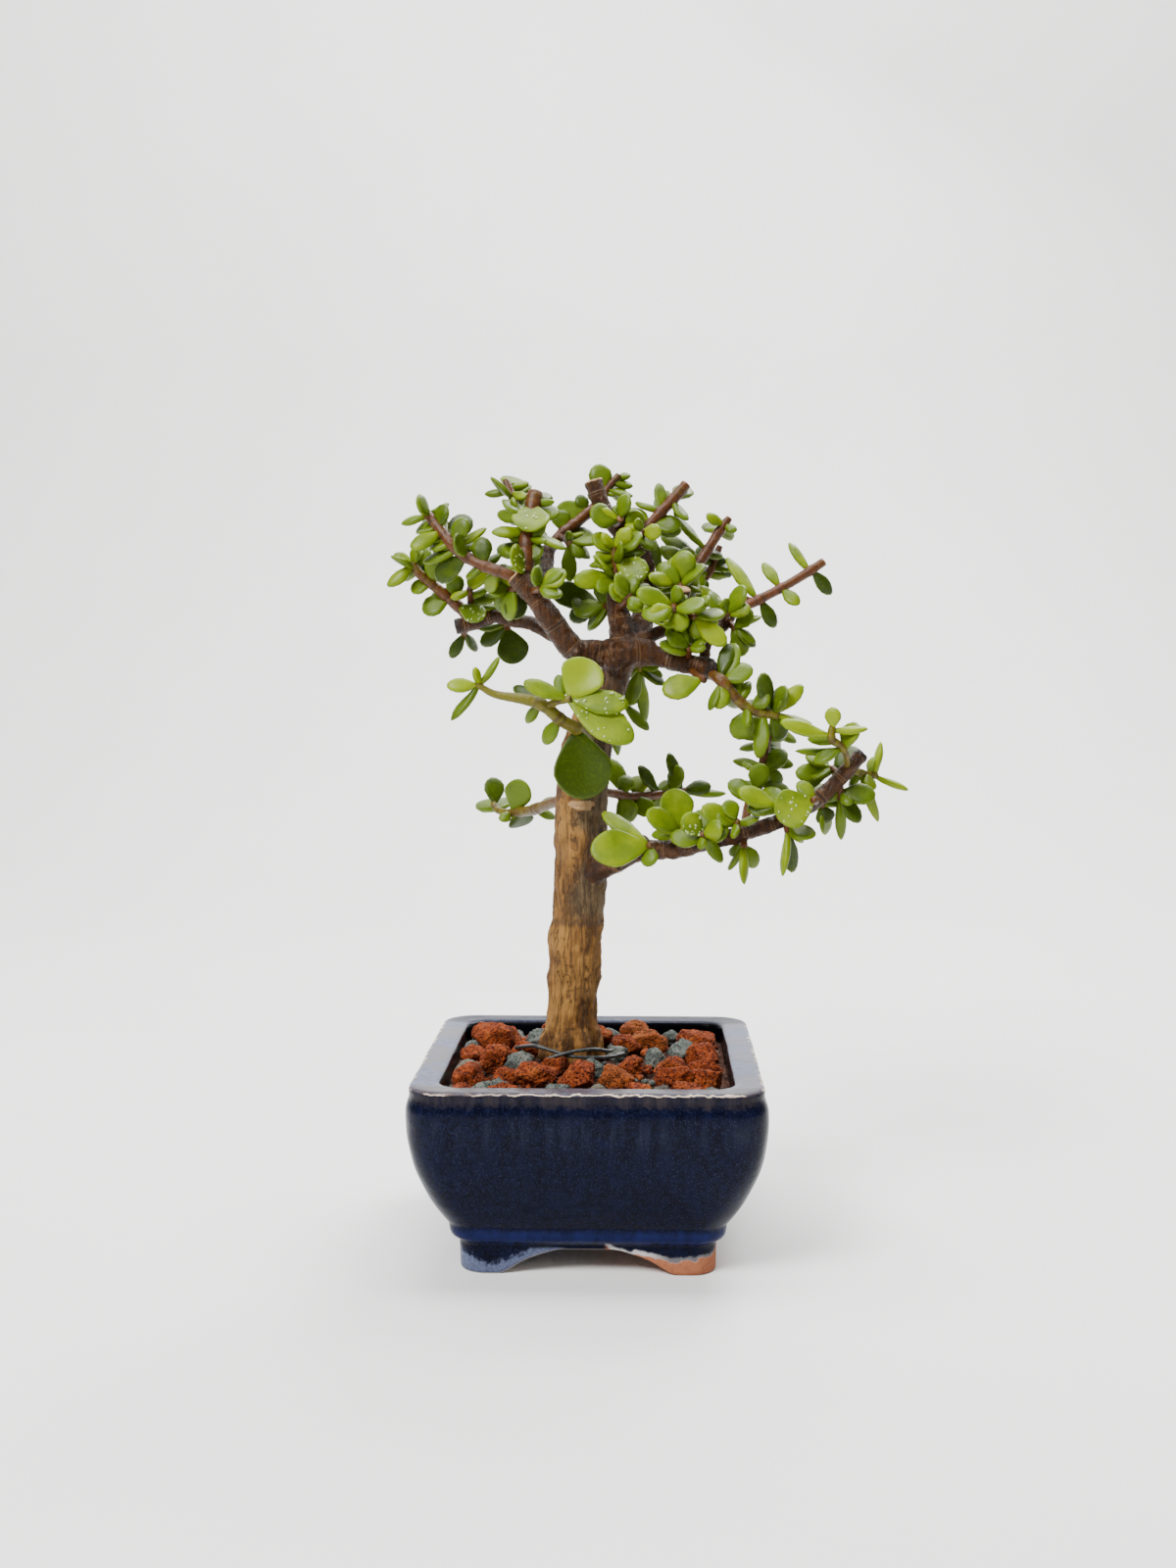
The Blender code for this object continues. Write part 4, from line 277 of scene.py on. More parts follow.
            (51.3, 142.0, 57.9, 138.6, 5.0, 25, 3), (53.4, 152.8, 44.2, 152.6, 4.2, 40, 4),
            (52.8, 150.2, 44.6, 148.4, 3.6, 45, 5), (53.8, 154.2, 62, 150.8, 4.4, 50, 3),
            (51.0, 138.2, 60.2, 135.2, 5.4, 35, 4), (48.6, 133.6, 46.2, 139.0, 5.2, 25, 5)],
        "extra": 1},
    "spray_small_lime": {
        "stems": [[(77.0, 142.2, -10, 1.0), (76.6, 146.6, -13.6, 0.9), (75, 149.3, -14.6, 0.95),
            (72.2, 151.4, -15, 1.3), (72.4, 155.4, -15, 0.9)]],
        "leaves": [(72.4, 154.8, 72.6, 160.9, 5.0, 10, -1), (72.4, 154.0, 83.1, 154.4, 3.6, 60, 0),
            (71.8, 152.2, 56.7, 156.6, 5.0, 30, -2), (73.6, 150.4, 65.0, 152.2, 4.6, 30, 5),
            (75.4, 148.8, 66.8, 144.4, 4.6, 35, 0), (75.8, 148.0, 61.2, 147.8, 3.6, 60, 6)]},
    "spray_right_curl": {
        "stems": [[(75.4, 140.2, -10, 1.1), (72.8, 142.2, -5.6, 1.0), (71.0, 142.6, -4, 0.95)]],
        "leaves": [(71.4, 142.4, 61.4, 140.6, 6.0, 20, -1), (72.0, 142.4, 62.6, 136.4, 4.6, 30, 3),
            (72.6, 142.2, 64.4, 146.0, 3.6, 50, 3)]},
    "spray_right_tip": {
        "stems": [[(77.4, 142.4, -9.8, 1.1), (80.6, 141.4, -5.6, 1.1), (84, 140.5, -4, 1.0),
            (86, 140.4, -3.6, 0.95)]],
        "leaves": [(85.8, 140.4, 86.8, 150.8, 3.2, 55, 1), (85.8, 140.3, 95.6, 136.2, 3.0, 70, 0),
            (83.4, 140.8, 84.8, 146.2, 3.6, 40, 2), (82.8, 141.0, 84.4, 136.0, 4.4, 30, -3),
            (81.2, 141.2, 86.6, 126.4, 3.8, 50, 4), (80.8, 141.2, 77.4, 136.8, 4.0, 60, 3)]},
    "spray_right_drop": {
        "stems": [[(74.2, 139.0, -10, 1.2), (75.0, 135.2, -9.0, 1.0), (74.8, 133.2, -8.6, 0.95)]],
        "leaves": [(75, 134.4, 81, 126.2, 5.4, 20, -1), (74.8, 133.4, 75.5, 120.8, 3.8, 35, 2),
            (75.0, 135.0, 78.2, 131.6, 3.4, 30, -3)]},
    "spray_round_wet": {
        "stems": [[(67.4, 132.4, -11, 1.3), (67.6, 133.0, -16.4, 1.1), (66.8, 133.0, -18, 1.0)]],
        "leaves": [(67.2, 132.8, 55.6, 128.4, 12.0, 5, -1), (67.4, 133.2, 62.2, 138.6, 5.0, 25, 2)]},
    "spray_dark_under": {
        "stems": [[(68.4, 133.2, -10.4, 1.2), (69.4, 131.6, -5.4, 1.0), (69.6, 131.0, -4.2, 0.95)]],
        "leaves": [(69.5, 131.4, 71.2, 125.9, 6.2, 15, 1), (69.5, 131.6, 63.0, 134.4, 5.0, 30, 2)]},
    "spray_hang_right": {
        "stems": [[(59.0, 127.6, -12, 1.2), (59.2, 124.4, -14.2, 1.0), (59.3, 123.2, -14.4, 0.9)]],
        "leaves": [(59.0, 123.8, 57.6, 109.8, 4.0, 62, -3), (59.3, 123.8, 61.0, 111.0, 5.6, 30, 2)]},
    "spray_pale_left": {
        "stems": [[(56.6, 126.6, -12, 1.3), (57.2, 130.2, -15, 1.1), (56.6, 131.4, -16, 1.0)]],
        "leaves": [(56.8, 130.8, 44.2, 136.0, 6.8, 28, -1), (57.0, 130.2, 50.6, 131.0, 5.0, 25, 5)]},
    "spray_hang_middle": {
        "stems": [[(46.2, 122.8, -12, 1.2), (46.2, 119.4, -13.6, 1.0), (46.2, 118.4, -13.8, 0.9)]],
        "leaves": [(46.2, 118.8, 46.5, 107.2, 4.0, 58, -3), (46.2, 119.0, 50.2, 112.6, 5.6, 30, 2),
            (46.2, 119.0, 41.6, 116.6, 3.6, 35, 3)]},
    "spray_pale_middle": {
        "stems": [[(43.8, 122.2, -12, 1.2), (44.2, 125.8, -14.6, 1.05), (43.6, 126.6, -15.4, 1.0)]],
        "leaves": [(43.8, 126.4, 33.2, 130.6, 7.0, 28, -1), (44.0, 126.0, 43.0, 121.4, 3.2, 60, -4)]},
    "spray_broad_wet": {
        "stems": [[(34.4, 120.4, -11, 1.2), (33.8, 122.0, -15.6, 1.05), (34.0, 122.8, -16.6, 1.0)]],
        "leaves": [(33.8, 122.2, 27.8, 128.4, 7.4, 15, -1), (34.2, 122.4, 41.2, 125.6, 6.4, 18, -1),
            (33.8, 122.0, 33.4, 118.0, 3.4, 40, -2), (34.0, 122.4, 37.6, 117.2, 4.4, 40, 6)]},
    "spray_light_big": {
        "stems": [[(26.4, 118.6, -10, 1.3), (27.4, 122.8, -12.4, 1.1), (27.6, 124.4, -12.8, 1.0)]],
        "leaves": [(27.6, 124.2, 16.6, 129.2, 7.4, 25, -3), (27.6, 124.6, 24.6, 136.4, 10.4, 15, 3),
            (27.4, 123.2, 18.2, 122.4, 4.4, 45, 3)]},
    "spray_big_low": {
        "stems": [[(17.6, 117.8, -9, 1.3), (18.0, 119.0, -14.4, 1.1), (17.4, 119.0, -15.6, 1.0)]],
        "leaves": [(17.6, 119.0, -0.2, 117.4, 11.6, 18, -2), (17.8, 119.2, 3.4, 129.2, 6.2, 35, 3)]},
    "spray_left_small": {
        "stems": [[(-1.0, 151.8, -5, 1.9), (-4.6, 154.5, -10, 2.0), (-8.9, 156.9, -12, 1.95),
            (-12.8, 160.2, -13, 1.9), (-15.9, 162, -13, 1.8), (-20, 163.2, -13, 1.7),
            (-28.5, 164.6, -13, 1.2), (-32.6, 166.6, -13, 1.0), (-34.6, 168.0, -13, 0.9)],
            [(-13.6, 161.0, -13, 1.3), (-9.4, 162.8, -15, 1.1), (-5.8, 163.4, -16, 1.0)]],
        "leaves": [(-34.4, 168, -43.6, 167.4, 5.0, 25, -1), (-34.5, 167.8, -34.9, 172.9, 2.8, 50, -2),
            (-33.8, 167.4, -27.3, 176, 3.4, 60, 1), (-34.2, 167.4, -42.4, 156.8, 3.6, 50, -1),
            (-15.4, 161.8, -19.8, 156.2, 3.6, 45, 3), (-9.4, 157.6, -14.4, 149.8, 5.4, 35, 2),
            (-6.2, 163.4, -20.4, 168.4, 6.0, 30, -1), (-14.6, 161.8, -23.2, 167.4, 5.0, 30, 4),
            (-5.8, 163.6, 0.4, 175.0, 13.4, 12, 2), (-6.0, 163.3, 11.4, 161.6, 8.4, 25, -1),
            (-7.2, 163.2, 12.8, 150.6, 10.6, 18, -3), (-4.4, 154.6, -1.4, 133.0, 17.4, 8, -2),
            (-8.6, 163.0, -9.6, 170.6, 4.4, 30, 4)]},
    "spray_low_left": {
        "stems": [[(-6.0, 133.4, 5, 1.7), (-11, 132.2, 12, 1.7), (-17.6, 129.8, 20, 1.6),
            (-21.5, 129.2, 24, 1.5), (-25.4, 128.8, 27, 1.2), (-28.3, 129.8, 29, 1.0),
            (-29.7, 132, 30, 0.9)]],
        "leaves": [(-29.5, 131.6, -29.4, 139.8, 6.4, 12, 2), (-23.6, 129.2, -20.8, 139.0, 8.4, 15, -3),
            (-21.4, 129.2, -21.2, 124.7, 8.0, 20, 5), (-16.0, 130.4, -10.6, 133.6, 3.4, 40, 3),
            (-17.2, 130.0, -10.8, 127.4, 3.4, 45, 4), (-24.6, 128.9, -27.2, 126.4, 3.6, 40, -4)],
        "extra": 1},
    "spray_low_right": {
        "stems": [[(2.4, 135.4, 4, 1.4), (8, 134.6, 10, 1.4), (11.4, 133.9, 12, 1.35), (20, 134.5, 16, 1.2),
            (28.4, 135.8, 19, 1.0)]],
        "leaves": [(20.6, 134.6, 14.3, 143.3, 4.6, 40, -2), (20.8, 134.6, 22.8, 139.0, 4.0, 40, 3),
            (27.8, 135.7, 23.2, 147.2, 4.6, 40, -2), (28.2, 135.8, 36.2, 137.4, 5.0, 20, 2),
            (28.2, 135.7, 40.8, 134.8, 3.2, 60, 3), (10.8, 134, 5.6, 145.4, 6.2, 25, 3),
            (9.8, 134.2, 14.4, 129.0, 6.4, 20, 4), (19.6, 134.5, 20.0, 127.0, 5.6, 25, 3)],
        "extra": 1},
}

SWINGS = [(0, 0), (0, 8), (0, -8), (6, 0), (-6, 0), (0, 16), (0, -16), (6, 12), (-6, 12), (6, -12),
          (-6, -12), (12, 0), (-12, 0), (0, 26), (0, -26), (12, 20), (-12, 20), (12, -20), (-12, -20),
          (20, 0), (-20, 0), (0, 38), (0, -38), (20, 30), (-20, 30), (20, -30), (-20, -30)]
SHRINKS = (1.0, 0.85, 0.7)

# Stones picked out in the photograph: (x, y, width) with the lava first and the grey ones after
RED_STONES = [(-36, -26, 11.5), (-29, -9, 12.0), (-15, -28, 13.0), (-3, -27, 12.0), (8, -28, 12.0),
    (26, -27, 13.0), (39, -26, 12.0), (29, -36, 9.5), (-29, 14, 15.0), (17, 16, 13.0), (35, 4, 11.0),
    (-37, -36, 8.0), (-24, -36, 8.5), (15, -37, 8.5), (0, 22, 12.0), (33, 25, 12.5), (-12, 31, 12.0),
    (14, 34, 11.0), (-34, 33, 11.5), (36, -10, 10.5), (10, 10, 10.0), (-20, 2, 9.0), (24, -13, 10.0),
    (-38, 1, 10.0), (-10, -16, 8.5), (12, -14, 9.0), (-24, -22, 8.0)]
GREY_STONES = [(-38, -16, 9.0), (-21, -14, 9.5), (-30, -34, 7.0), (-8, -36, 8.0), (3, -36, 7.0),
    (2, -17, 7.5), (20, -4, 9.5), (28, 9, 10.0), (21, -34, 6.5), (36, -36, 7.0), (33, -18, 6.5),
    (-17, 19, 9.0), (6, 29, 8.0), (25, 32, 8.0), (-25, 30, 7.5), (-37, 16, 8.0), (38, 15, 7.0),
    (-16, -36, 5.5), (8, 0, 7.5), (-26, -28, 6.0)]
WIRE = [[(-23, 57.2, 0.5, 0.8), (-17.5, 57.8, -6.5, 0.8), (-12, 56.4, -8.5, 0.8), (-6, 54.7, -9.5, 0.8),
    (0, 54.3, -9, 0.8), (6, 54.6, -7.3, 0.8), (10, 55.6, -3.5, 0.8)], [(-14, 53.6, -10, 0.8),
    (-8.5, 55.4, -10, 0.8), (-4, 56.4, -9.3, 0.8), (1, 56.9, -8.3, 0.8), (5, 56.4, -6, 0.8),
    (6.5, 56.6, -2, 0.8)]]


Rod = Tuple[List[Vector], List[float]]
Row = Tuple[float, ...]
Triple = Tuple[float, float, float]
Obstacles = List[Tuple[str, BVHTree]]
BMesh = bmesh.types.BMesh
Socket = bpy.types.NodeSocket
Material = bpy.types.Material
Node = bpy.types.Node
Group = bpy.types.NodeTree
Piece = bpy.types.Object


class LeafMood(Enum):
    """How a leaf looks: old and dark, usual, light, or young and lime."""

    DARK = 0.0
    USUAL = 0.45
    LIGHT = 0.7
    LIME = 1.0


# Leaves that stand out in the photograph, by spray and by row in its table
LIME_LEAVES = {"spray_left_small": (0, 1, 8), "spray_middle": (0, 1), "spray_top_face": (0,),
    "spray_top": (0,), "spray_small_lime": (0, 1, 2), "spray_right_end": (6, 7),
    "spray_right_tip": (0, 1), "spray_left_pair": (0, 1), "spray_wet_round": (0,),
    "spray_bright_pair": (0,)}
LIGHT_LEAVES = {"spray_left_small": (2, 6, 9, 10), "spray_left_stub": (0, 1, 3, 4, 9, 10),
    "spray_middle": (2, 4, 7, 8), "spray_crown_right": (0, 1), "spray_wet_round": (1, 2),
    "spray_pale_left": (0,), "spray_pale_middle": (0,), "spray_round_wet": (0, 1),
    "spray_light_big": (0, 1), "spray_broad_wet": (0, 1), "spray_big_low": (0, 1),
    "spray_left_tip": (1, 2, 6, 11), "spray_knob_front": (0, 2), "spray_big_oval": (0,),
    "spray_hang_middle": (0,), "spray_hang_right": (0,), "spray_left_low": (0, 1, 2),
    "spray_long_right": (0, 2, 3, 4), "spray_right_tip": (2, 3, 4), "spray_right_stick": (0, 3),
    "spray_junction_hang": (1,)}
DARK_LEAVES = {"spray_left_small": (11, 7), "spray_dark_back": (0, 1), "spray_left_hang": (0, 1, 2),
    "spray_dark_under": (0,), "spray_left_inner": (0, 1), "spray_left_tip": (0, 9),
    "spray_low_right": (0, 2, 3), "spray_right_end": (5, 10), "spray_hang_right": (1,),
    "spray_long_right": (1, 5), "spray_low_left": (0, 2), "spray_left_drop": (0, 1),
    "spray_right_drop": (0,), "spray_right_back": (0, 3)}
WET_LEAVES = {"spray_left_stub": (0, 1), "spray_round_wet": (0,), "spray_wet_round": (0,),
    "spray_middle": (7,), "spray_left_small": (9, 10), "spray_broad_wet": (0,), "spray_left_low": (4,)}

# Pairs of small leaves that fill each stem out, and how green its wood is (below zero is pink)
FILLING = {"spray_left_tip": 6, "spray_left_low": 5, "spray_left_pair": 2, "spray_left_inner": 5,
    "spray_left_stub": 6, "spray_left_fork": 5, "spray_back_twig": 6, "spray_middle": 6,
    "spray_middle_low": 5, "spray_dark_back": 4, "spray_top": 2, "spray_top_face": 4,
    "spray_top_right": 2, "spray_right_stick": 2, "spray_right_back": 6, "spray_knob_front": 5,
    "spray_knob_low": 4, "spray_bright_pair": 5, "spray_wet_round": 3, "spray_crown_right": 6,
    "spray_right_top": 5, "spray_right_end": 5, "spray_upright_right": 6, "spray_small_lime": 1,
    "spray_right_curl": 2, "spray_hang_right": 4, "spray_hang_middle": 2, "spray_light_big": 2,
    "spray_low_right": 5, "spray_dark_under": 2, "spray_junction_hang": 2, "spray_trunk_back": 2,
    "spray_broad_wet": 2, "spray_right_drop": 2, "spray_pale_middle": 2, "spray_pale_left": 1,
    "spray_big_low": 1}
YOUTH = {"spray_left_small": 0.75, "spray_right_tip": 0.85, "spray_small_lime": 0.7,
    "spray_low_left": 0.45, "spray_right_end": 0.5, "spray_long_right": -0.22, "spray_middle": 0.35,
    "spray_junction_hang": 0.6, "spray_right_stick": -0.1, "spray_left_low": 0.3}


# Where things are

def away(depth: float) -> float:
    """How much larger a thing is than it shows on the middle plane, at a tabled depth."""
    return 1 + depth * DEEPEN / -EYE.y


def seen(x: float, z: float, depth: float) -> Vector:
    """Point that shows at (x, z) on the middle plane, moved back by the tabled depth."""
    on_plane = Vector((x, 0.0, z))
    return EYE + (on_plane - EYE) * away(depth)


def in_row(where: Vector) -> Vector:
    """Point of the pot's frame in millimetres, in the row frame in metres."""
    return where * MM + MIDDLE


def route(rows: Sequence[Row], grow: float = 0.0) -> Rod:
    """Points and radii of a limb.

    Args:
        rows: (x, z, depth, radius) along the limb.
        grow: added to each radius.

    Returns:
        The points and the radii.
    """
    return [seen(x, z, depth) for x, z, depth, _ in rows], [row[3] * away(row[2]) + grow for row in rows]


@dataclass
class Blade:
    """One leaf: where it starts and ends, how wide it is and which way it faces."""

    foot: Vector
    tip: Vector
    width: float
    normal: Vector

    def spot(self, corner: Vector, grow: float = 0.0, fine: bool = False) -> Vector:
        """Where a corner of a unit ball goes in the leaf.

        Args:
            corner: point of the unit ball.
            grow: gap added all round.
            fine: whether the faces are flat with a round rim, as on the finished leaf.

        Returns:
            The point in millimetres.
        """
        along = self.tip - self.foot
        length = along.length
        along = along / length
        across = self.normal.cross(along).normalized()
        part = (1 - corner.x) / 2
        narrow = 0.34 + 0.66 * min(1.0, part * 1.75) ** 0.9
        side = corner.y * (self.width / 2 * (BROADER if fine else 1.0) + grow) * narrow
        height = corner.z
        if fine:
            height = math.copysign(abs(corner.z) ** 0.7, corner.z) * (0.62 + 0.38 * math.sqrt(1 - part))
        lift = height * (LEAF_THICK / 2 * (FLESHY if fine else 1.0) + grow)
        cup = 0.10 * length * (part * part - part) + 0.035 * side * side
        return self.foot + along * (part * (length + grow)) + across * side + self.normal * (lift + cup)

    def tree(self, grow: float) -> BVHTree:
        """Search tree of the coarse leaf grown by a gap."""
        corners, faces = BALL
        return BVHTree.FromPolygons([self.spot(corner, grow) for corner in corners], faces)

    def swung(self, sideways: float, back: float, size: float) -> "Blade":
        """The leaf turned about its foot and scaled.

        Args:
            sideways: turn about the line of sight, in degrees.
            back: turn away from the eye, in degrees.
            size: how long it becomes.

        Returns:
            The new leaf.
        """
        toward = (EYE - self.foot).normalized()
        along = self.tip - self.foot
        flat = along.cross(toward).normalized()
        turn = Matrix.Rotation(math.radians(sideways), 3, toward)
        turn = turn @ Matrix.Rotation(math.radians(back), 3, flat)
        return Blade(self.foot, self.foot + turn @ along * size, self.width * (0.5 + size / 2),
                     (turn @ self.normal).normalized())


def on_circle(angle: float) -> Vector:
    """Point of the unit circle at an angle in radians."""
    return Vector((math.cos(angle), math.sin(angle), 0))


def ball_corners() -> Tuple[List[Vector], List[Tuple[int, int, int]]]:
    """Corners and faces of the coarse ball that stands for a leaf in clearance tests.

    Returns:
        The corners and the faces.
    """
    rim = RIM_SIDES
    corners = [on_circle(i * math.tau / rim) for i in range(rim)]
    corners += [Vector((-0.15, 0, 1)), Vector((-0.15, 0, -1))]
    faces = [(i, (i + 1) % rim, rim) for i in range(rim)] + [((i + 1) % rim, i, rim + 1) for i in range(rim)]
    return corners, faces


BALL = ball_corners()


def rod_tree(points: List[Vector], radii: List[float], grow: float) -> BVHTree:
    """Search tree of a closed rod grown by a gap.

    Args:
        points: middle line in millimetres.
        radii: radius at each point.
        grow: gap added all round.

    Returns:
        The tree.
    """
    sides = ROD_SIDES
    corners: List[Vector] = []
    for i, (where, radius) in enumerate(zip(points, radii)):
        ahead = points[min(i + 1, len(points) - 1)] - points[max(i - 1, 0)]
        turn = ahead.to_track_quat("Z", "Y")
        for k in range(sides):
            corners.append(where + turn @ (on_circle(k * math.tau / sides) * (radius + grow) * 1.02))
    faces: List[Tuple[int, ...]] = []
    for i in range(len(points) - 1):
        for k in range(sides):
            a, b = i * sides + k, i * sides + (k + 1) % sides
            faces.append((a, b, b + sides, a + sides))
    corners += [points[0], points[-1]]
    last = (len(points) - 1) * sides
    for k in range(sides):
        faces.append((k, (k + 1) % sides, len(corners) - 2))
        faces.append((last + k, last + (k + 1) % sides, len(corners) - 1))
    return BVHTree.FromPolygons(corners, faces)


def shortened(points: List[Vector], radii: List[float], cut: float) -> Rod:
    """Points and radii of a rod with a length cut off its start."""
    for i in range(len(points) - 1):
        step = points[i + 1] - points[i]
        if cut < step.length - 0.2:
            part = cut / step.length
            radius = radii[i] + (radii[i + 1] - radii[i]) * part
            return [points[i] + step * part] + points[i + 1:], [radius] + radii[i + 1:]
        cut -= step.length
    raise ValueError("the rod never comes clear")


@dataclass
class Crown:
    """Places every leafy stem and leaf by the rules that the solids follow."""

    stems: Dict[str, List[Rod]] = field(default_factory=dict)
    blades: Dict[str, List[Tuple[int, Blade]]] = field(default_factory=dict)
    taken: Obstacles = field(default_factory=list)

    def knob_trees(self) -> List[BVHTree]:
        """Search trees of the knobs on the wood.

        Returns:
            One tree for each knob.
        """
        trees = []
        for x, z, depth, radius in KNOBS:
            middle = seen(x, z, depth)
            ends = [middle - Vector((0, 0, radius * 0.8)), middle, middle + Vector((0, 0, radius * 0.8))]
            trees.append(rod_tree(ends, [radius * 0.6, radius, radius * 0.6], 0.0))
        return trees

    def settled_stem(self, rows: Sequence[Row], obstacles: List[BVHTree]) -> Rod:
        """Stem whose foot is drawn back until it stands just clear of what it grows from.

        Args:
            rows: the stem as tabled.
            obstacles: trees of what stands already.

        Returns:
            The stem's points and radii.
        """
        points, radii = route(rows)
        for k in range(240):
            shorter, thick = shortened(points, radii, k * 0.05)
            behind = shorter[0] + (shorter[0] - shorter[1]).normalized() * CLEAR * 0.8
            tree = rod_tree([behind] + shorter[1:], thick, CLEAR * 0.8)
            if not any(tree.overlap(other) for other in obstacles):
                return shorter, thick
        raise ValueError("the stem never comes clear")

    def place_stems(self) -> None:
        """Settle the stems clear of the wood and of each other."""
        obstacles = [rod_tree(*route(rows), 0.0) for rows in WOOD.values()] + self.knob_trees()
        for name, spray in SPRAYS.items():
            first = self.settled_stem(spray["stems"][0], obstacles)
            self.stems[name] = [first] + [route(rows) for rows in spray["stems"][1:]]
            obstacles += [rod_tree(*rod, 0.0) for rod in self.stems[name]]

    @staticmethod
    def depth_near(stems: Sequence[Sequence[Row]], x: float, z: float) -> Triple:
        """Depth and place on the stem that shows closest to (x, z).

        Args:
            stems: rows of each rod of the spray.
            x: sideways place on the middle plane.
            z: height on the middle plane.

        Returns:
            The depth, x and z.
        """
        best: Optional[Tuple[float, float, float, float]] = None
        for rows in stems:
            for first, second in zip(rows, rows[1:]):
                dx, dz = second[0] - first[0], second[1] - first[1]
                size = max(dx * dx + dz * dz, 0.01)
                part = max(0.0, min(1.0, ((x - first[0]) * dx + (z - first[1]) * dz) / size))
                if second is rows[-1]:
                    whole = math.hypot(dx, dz, second[2] - first[2])
                    part = min(part, max(0.0, 1 - LEAF_ROOT / whole))
                gap = math.hypot(first[0] + dx * part - x, first[1] + dz * part - z)
                if best is None or gap < best[0]:
                    best = (gap, first[2] + (second[2] - first[2]) * part,
                            first[0] + dx * part, first[1] + dz * part)
        assert best is not None
        return best[1:]

    def from_row(self, stems: Sequence[Sequence[Row]], row: Row) -> Blade:
        """Leaf of a table row.

        Args:
            stems: rows of each rod of the spray.
            row: foot, tip, width, turn and tip depth.

        Returns:
            The leaf.
        """
        foot_x, foot_z, tip_x, tip_z, width, turn, tip_depth = row
        depth, on_x, on_z = self.depth_near(stems, foot_x, foot_z)
        foot = seen(on_x, on_z, depth)
        tip = seen(tip_x, tip_z, depth + tip_depth)
        along = (tip - foot).normalized()
        toward = (EYE - foot).normalized()
        face = (toward - along * toward.dot(along)).normalized()
        side = along.cross(face)
        if side.z < 0:
            side = -side
        angle = math.radians(turn)
        normal = (face * math.cos(angle) + side * math.sin(angle)).normalized()
        return Blade(foot, tip, width * away(depth), normal)

    @staticmethod
    def extra_rows(stems: Sequence[Sequence[Row]], count: int, draws: random.Random) -> List[Row]:
        """Leaves at the back of a stem, in pairs with drawn lengths and turns.

        Args:
            stems: rows of each rod of the spray.
            count: number of pairs.
            draws: where the lengths and turns come from.

        Returns:
            Rows like those of the table.
        """
        rows: List[Row] = []
        line = stems[0]
        for k in range(count):
            first = line[-2 - k % max(1, len(line) - 2)]
            for hand in (-1, 1):
                reach = EXTRA_LENGTH * draws.uniform(0.35, 0.6)
                rows.append((first[0], first[1], first[0] + hand * reach, first[1] + draws.uniform(-2.5, 4.5),
                             draws.uniform(5, 6.5), draws.uniform(15, 50), draws.uniform(6, 9)))
        return rows

    def place_leaves(self) -> None:
        """Settle every leaf clear of the wood, other stems and other stems' leaves."""
        draws = random.Random(LEAF_SEED)
        rods = [("trunk", rod_tree(*route(rows), 0.0)) for rows in WOOD.values()]
        rods += [("trunk", tree) for tree in self.knob_trees()]
        for name, parts in self.stems.items():
            rods += [(name, rod_tree(*rod, 0.0)) for rod in parts]
        placed: Obstacles = []
        for name, spray in SPRAYS.items():
            self.blades[name] = []
            rows = spray["leaves"] + self.extra_rows(spray["stems"], spray.get("extra", 0), draws)
            for number, row in enumerate(rows):
                kept = self.settled_leaf(self.from_row(spray["stems"], row), name, rods + placed)
                if kept is not None:
                    placed.append((name, kept.tree(0.0)))
                    self.blades[name].append((number, kept))
        self.taken = rods + placed

    def fill_out(self) -> None:
        """Add small leaves in crossed pairs along the stems, where there is room for them."""
        draws = random.Random(LEAF_SEED + 2)
        for name, pairs in FILLING.items():
            for k in range(pairs):
                points, _ = self.stems[name][k % len(self.stems[name])]
                for blade in self.leaf_pair(points, 0.2 + 0.78 * (k + draws.random()) / pairs, k, draws):
                    for size in (1.0, 0.8):
                        trial = blade.swung(draws.uniform(-8, 8), draws.uniform(-8, 8), size)
                        tree = trial.tree(0.0)
                        if not any(tree.overlap(other) for owner, other in self.taken if owner != name):
                            self.taken.append((name, tree))
                            self.blades[name].append((FILLER, trial))
                            break

    @staticmethod
    def leaf_pair(points: List[Vector], part: float, turn: int, draws: random.Random) -> List[Blade]:
        """Two leaves opposite each other on a stem.

        Args:
            points: the stem's middle line.
            part: how far along it they grow.
            turn: number of the pair, as each one is crossed to the one before.
            draws: where their sizes come from.

        Returns:
            The leaves that don't reach out in front of the stem.
        """
        place = min(part, 0.98) * (len(points) - 1)
        step = int(place)
        foot = points[step].lerp(points[step + 1], place - step)
        ahead = (points[step + 1] - points[step]).normalized()
        toward = (EYE - foot).normalized()
        out = ahead.cross(toward).normalized()
        out.rotate(Matrix.Rotation(math.pi / 2 * (turn % 2) + draws.uniform(-0.5, 0.5), 3, ahead))
        pair = []
        for hand in (-1, 1):
            length = draws.uniform(6.5, 10.5)
            along = (out * hand + ahead * draws.uniform(0.25, 0.8) + Vector((0, 0, 0.15))).normalized()
            if along.dot(toward) > 0.45:
                continue
            face = toward * 0.6 + Vector((0, 0, 0.8)) + Vector([draws.uniform(-0.4, 0.4) for _ in range(3)])
            normal = (face - along * face.dot(along)).normalized()
            pair.append(Blade(foot, foot + along * length, length * draws.uniform(0.68, 0.84), normal))
        return pair

    @staticmethod
    def settled_leaf(blade: Blade, name: str, others: Obstacles) -> Optional[Blade]:
        """The least swung leaf that is clear of what isn't its own."""
        for size in SHRINKS:
            for sideways, back in SWINGS:
                trial = blade.swung(sideways, back, size)
                tree = trial.tree(CLEAR + 0.1)
                if not any(owner != name and tree.overlap(other) for owner, other in others):
                    return trial
        return None


# Materials

class SharedEffect(Enum):
    """Node groups that several finishes use."""

    PATCHES = "soft patches"
    RELIEF = "fine relief"

    def tree(self) -> Group:
        """The group, built when it is first asked for."""
        made = bpy.data.node_groups.get(self.value)
        return made or (build_patches() if self is SharedEffect.PATCHES else build_relief())


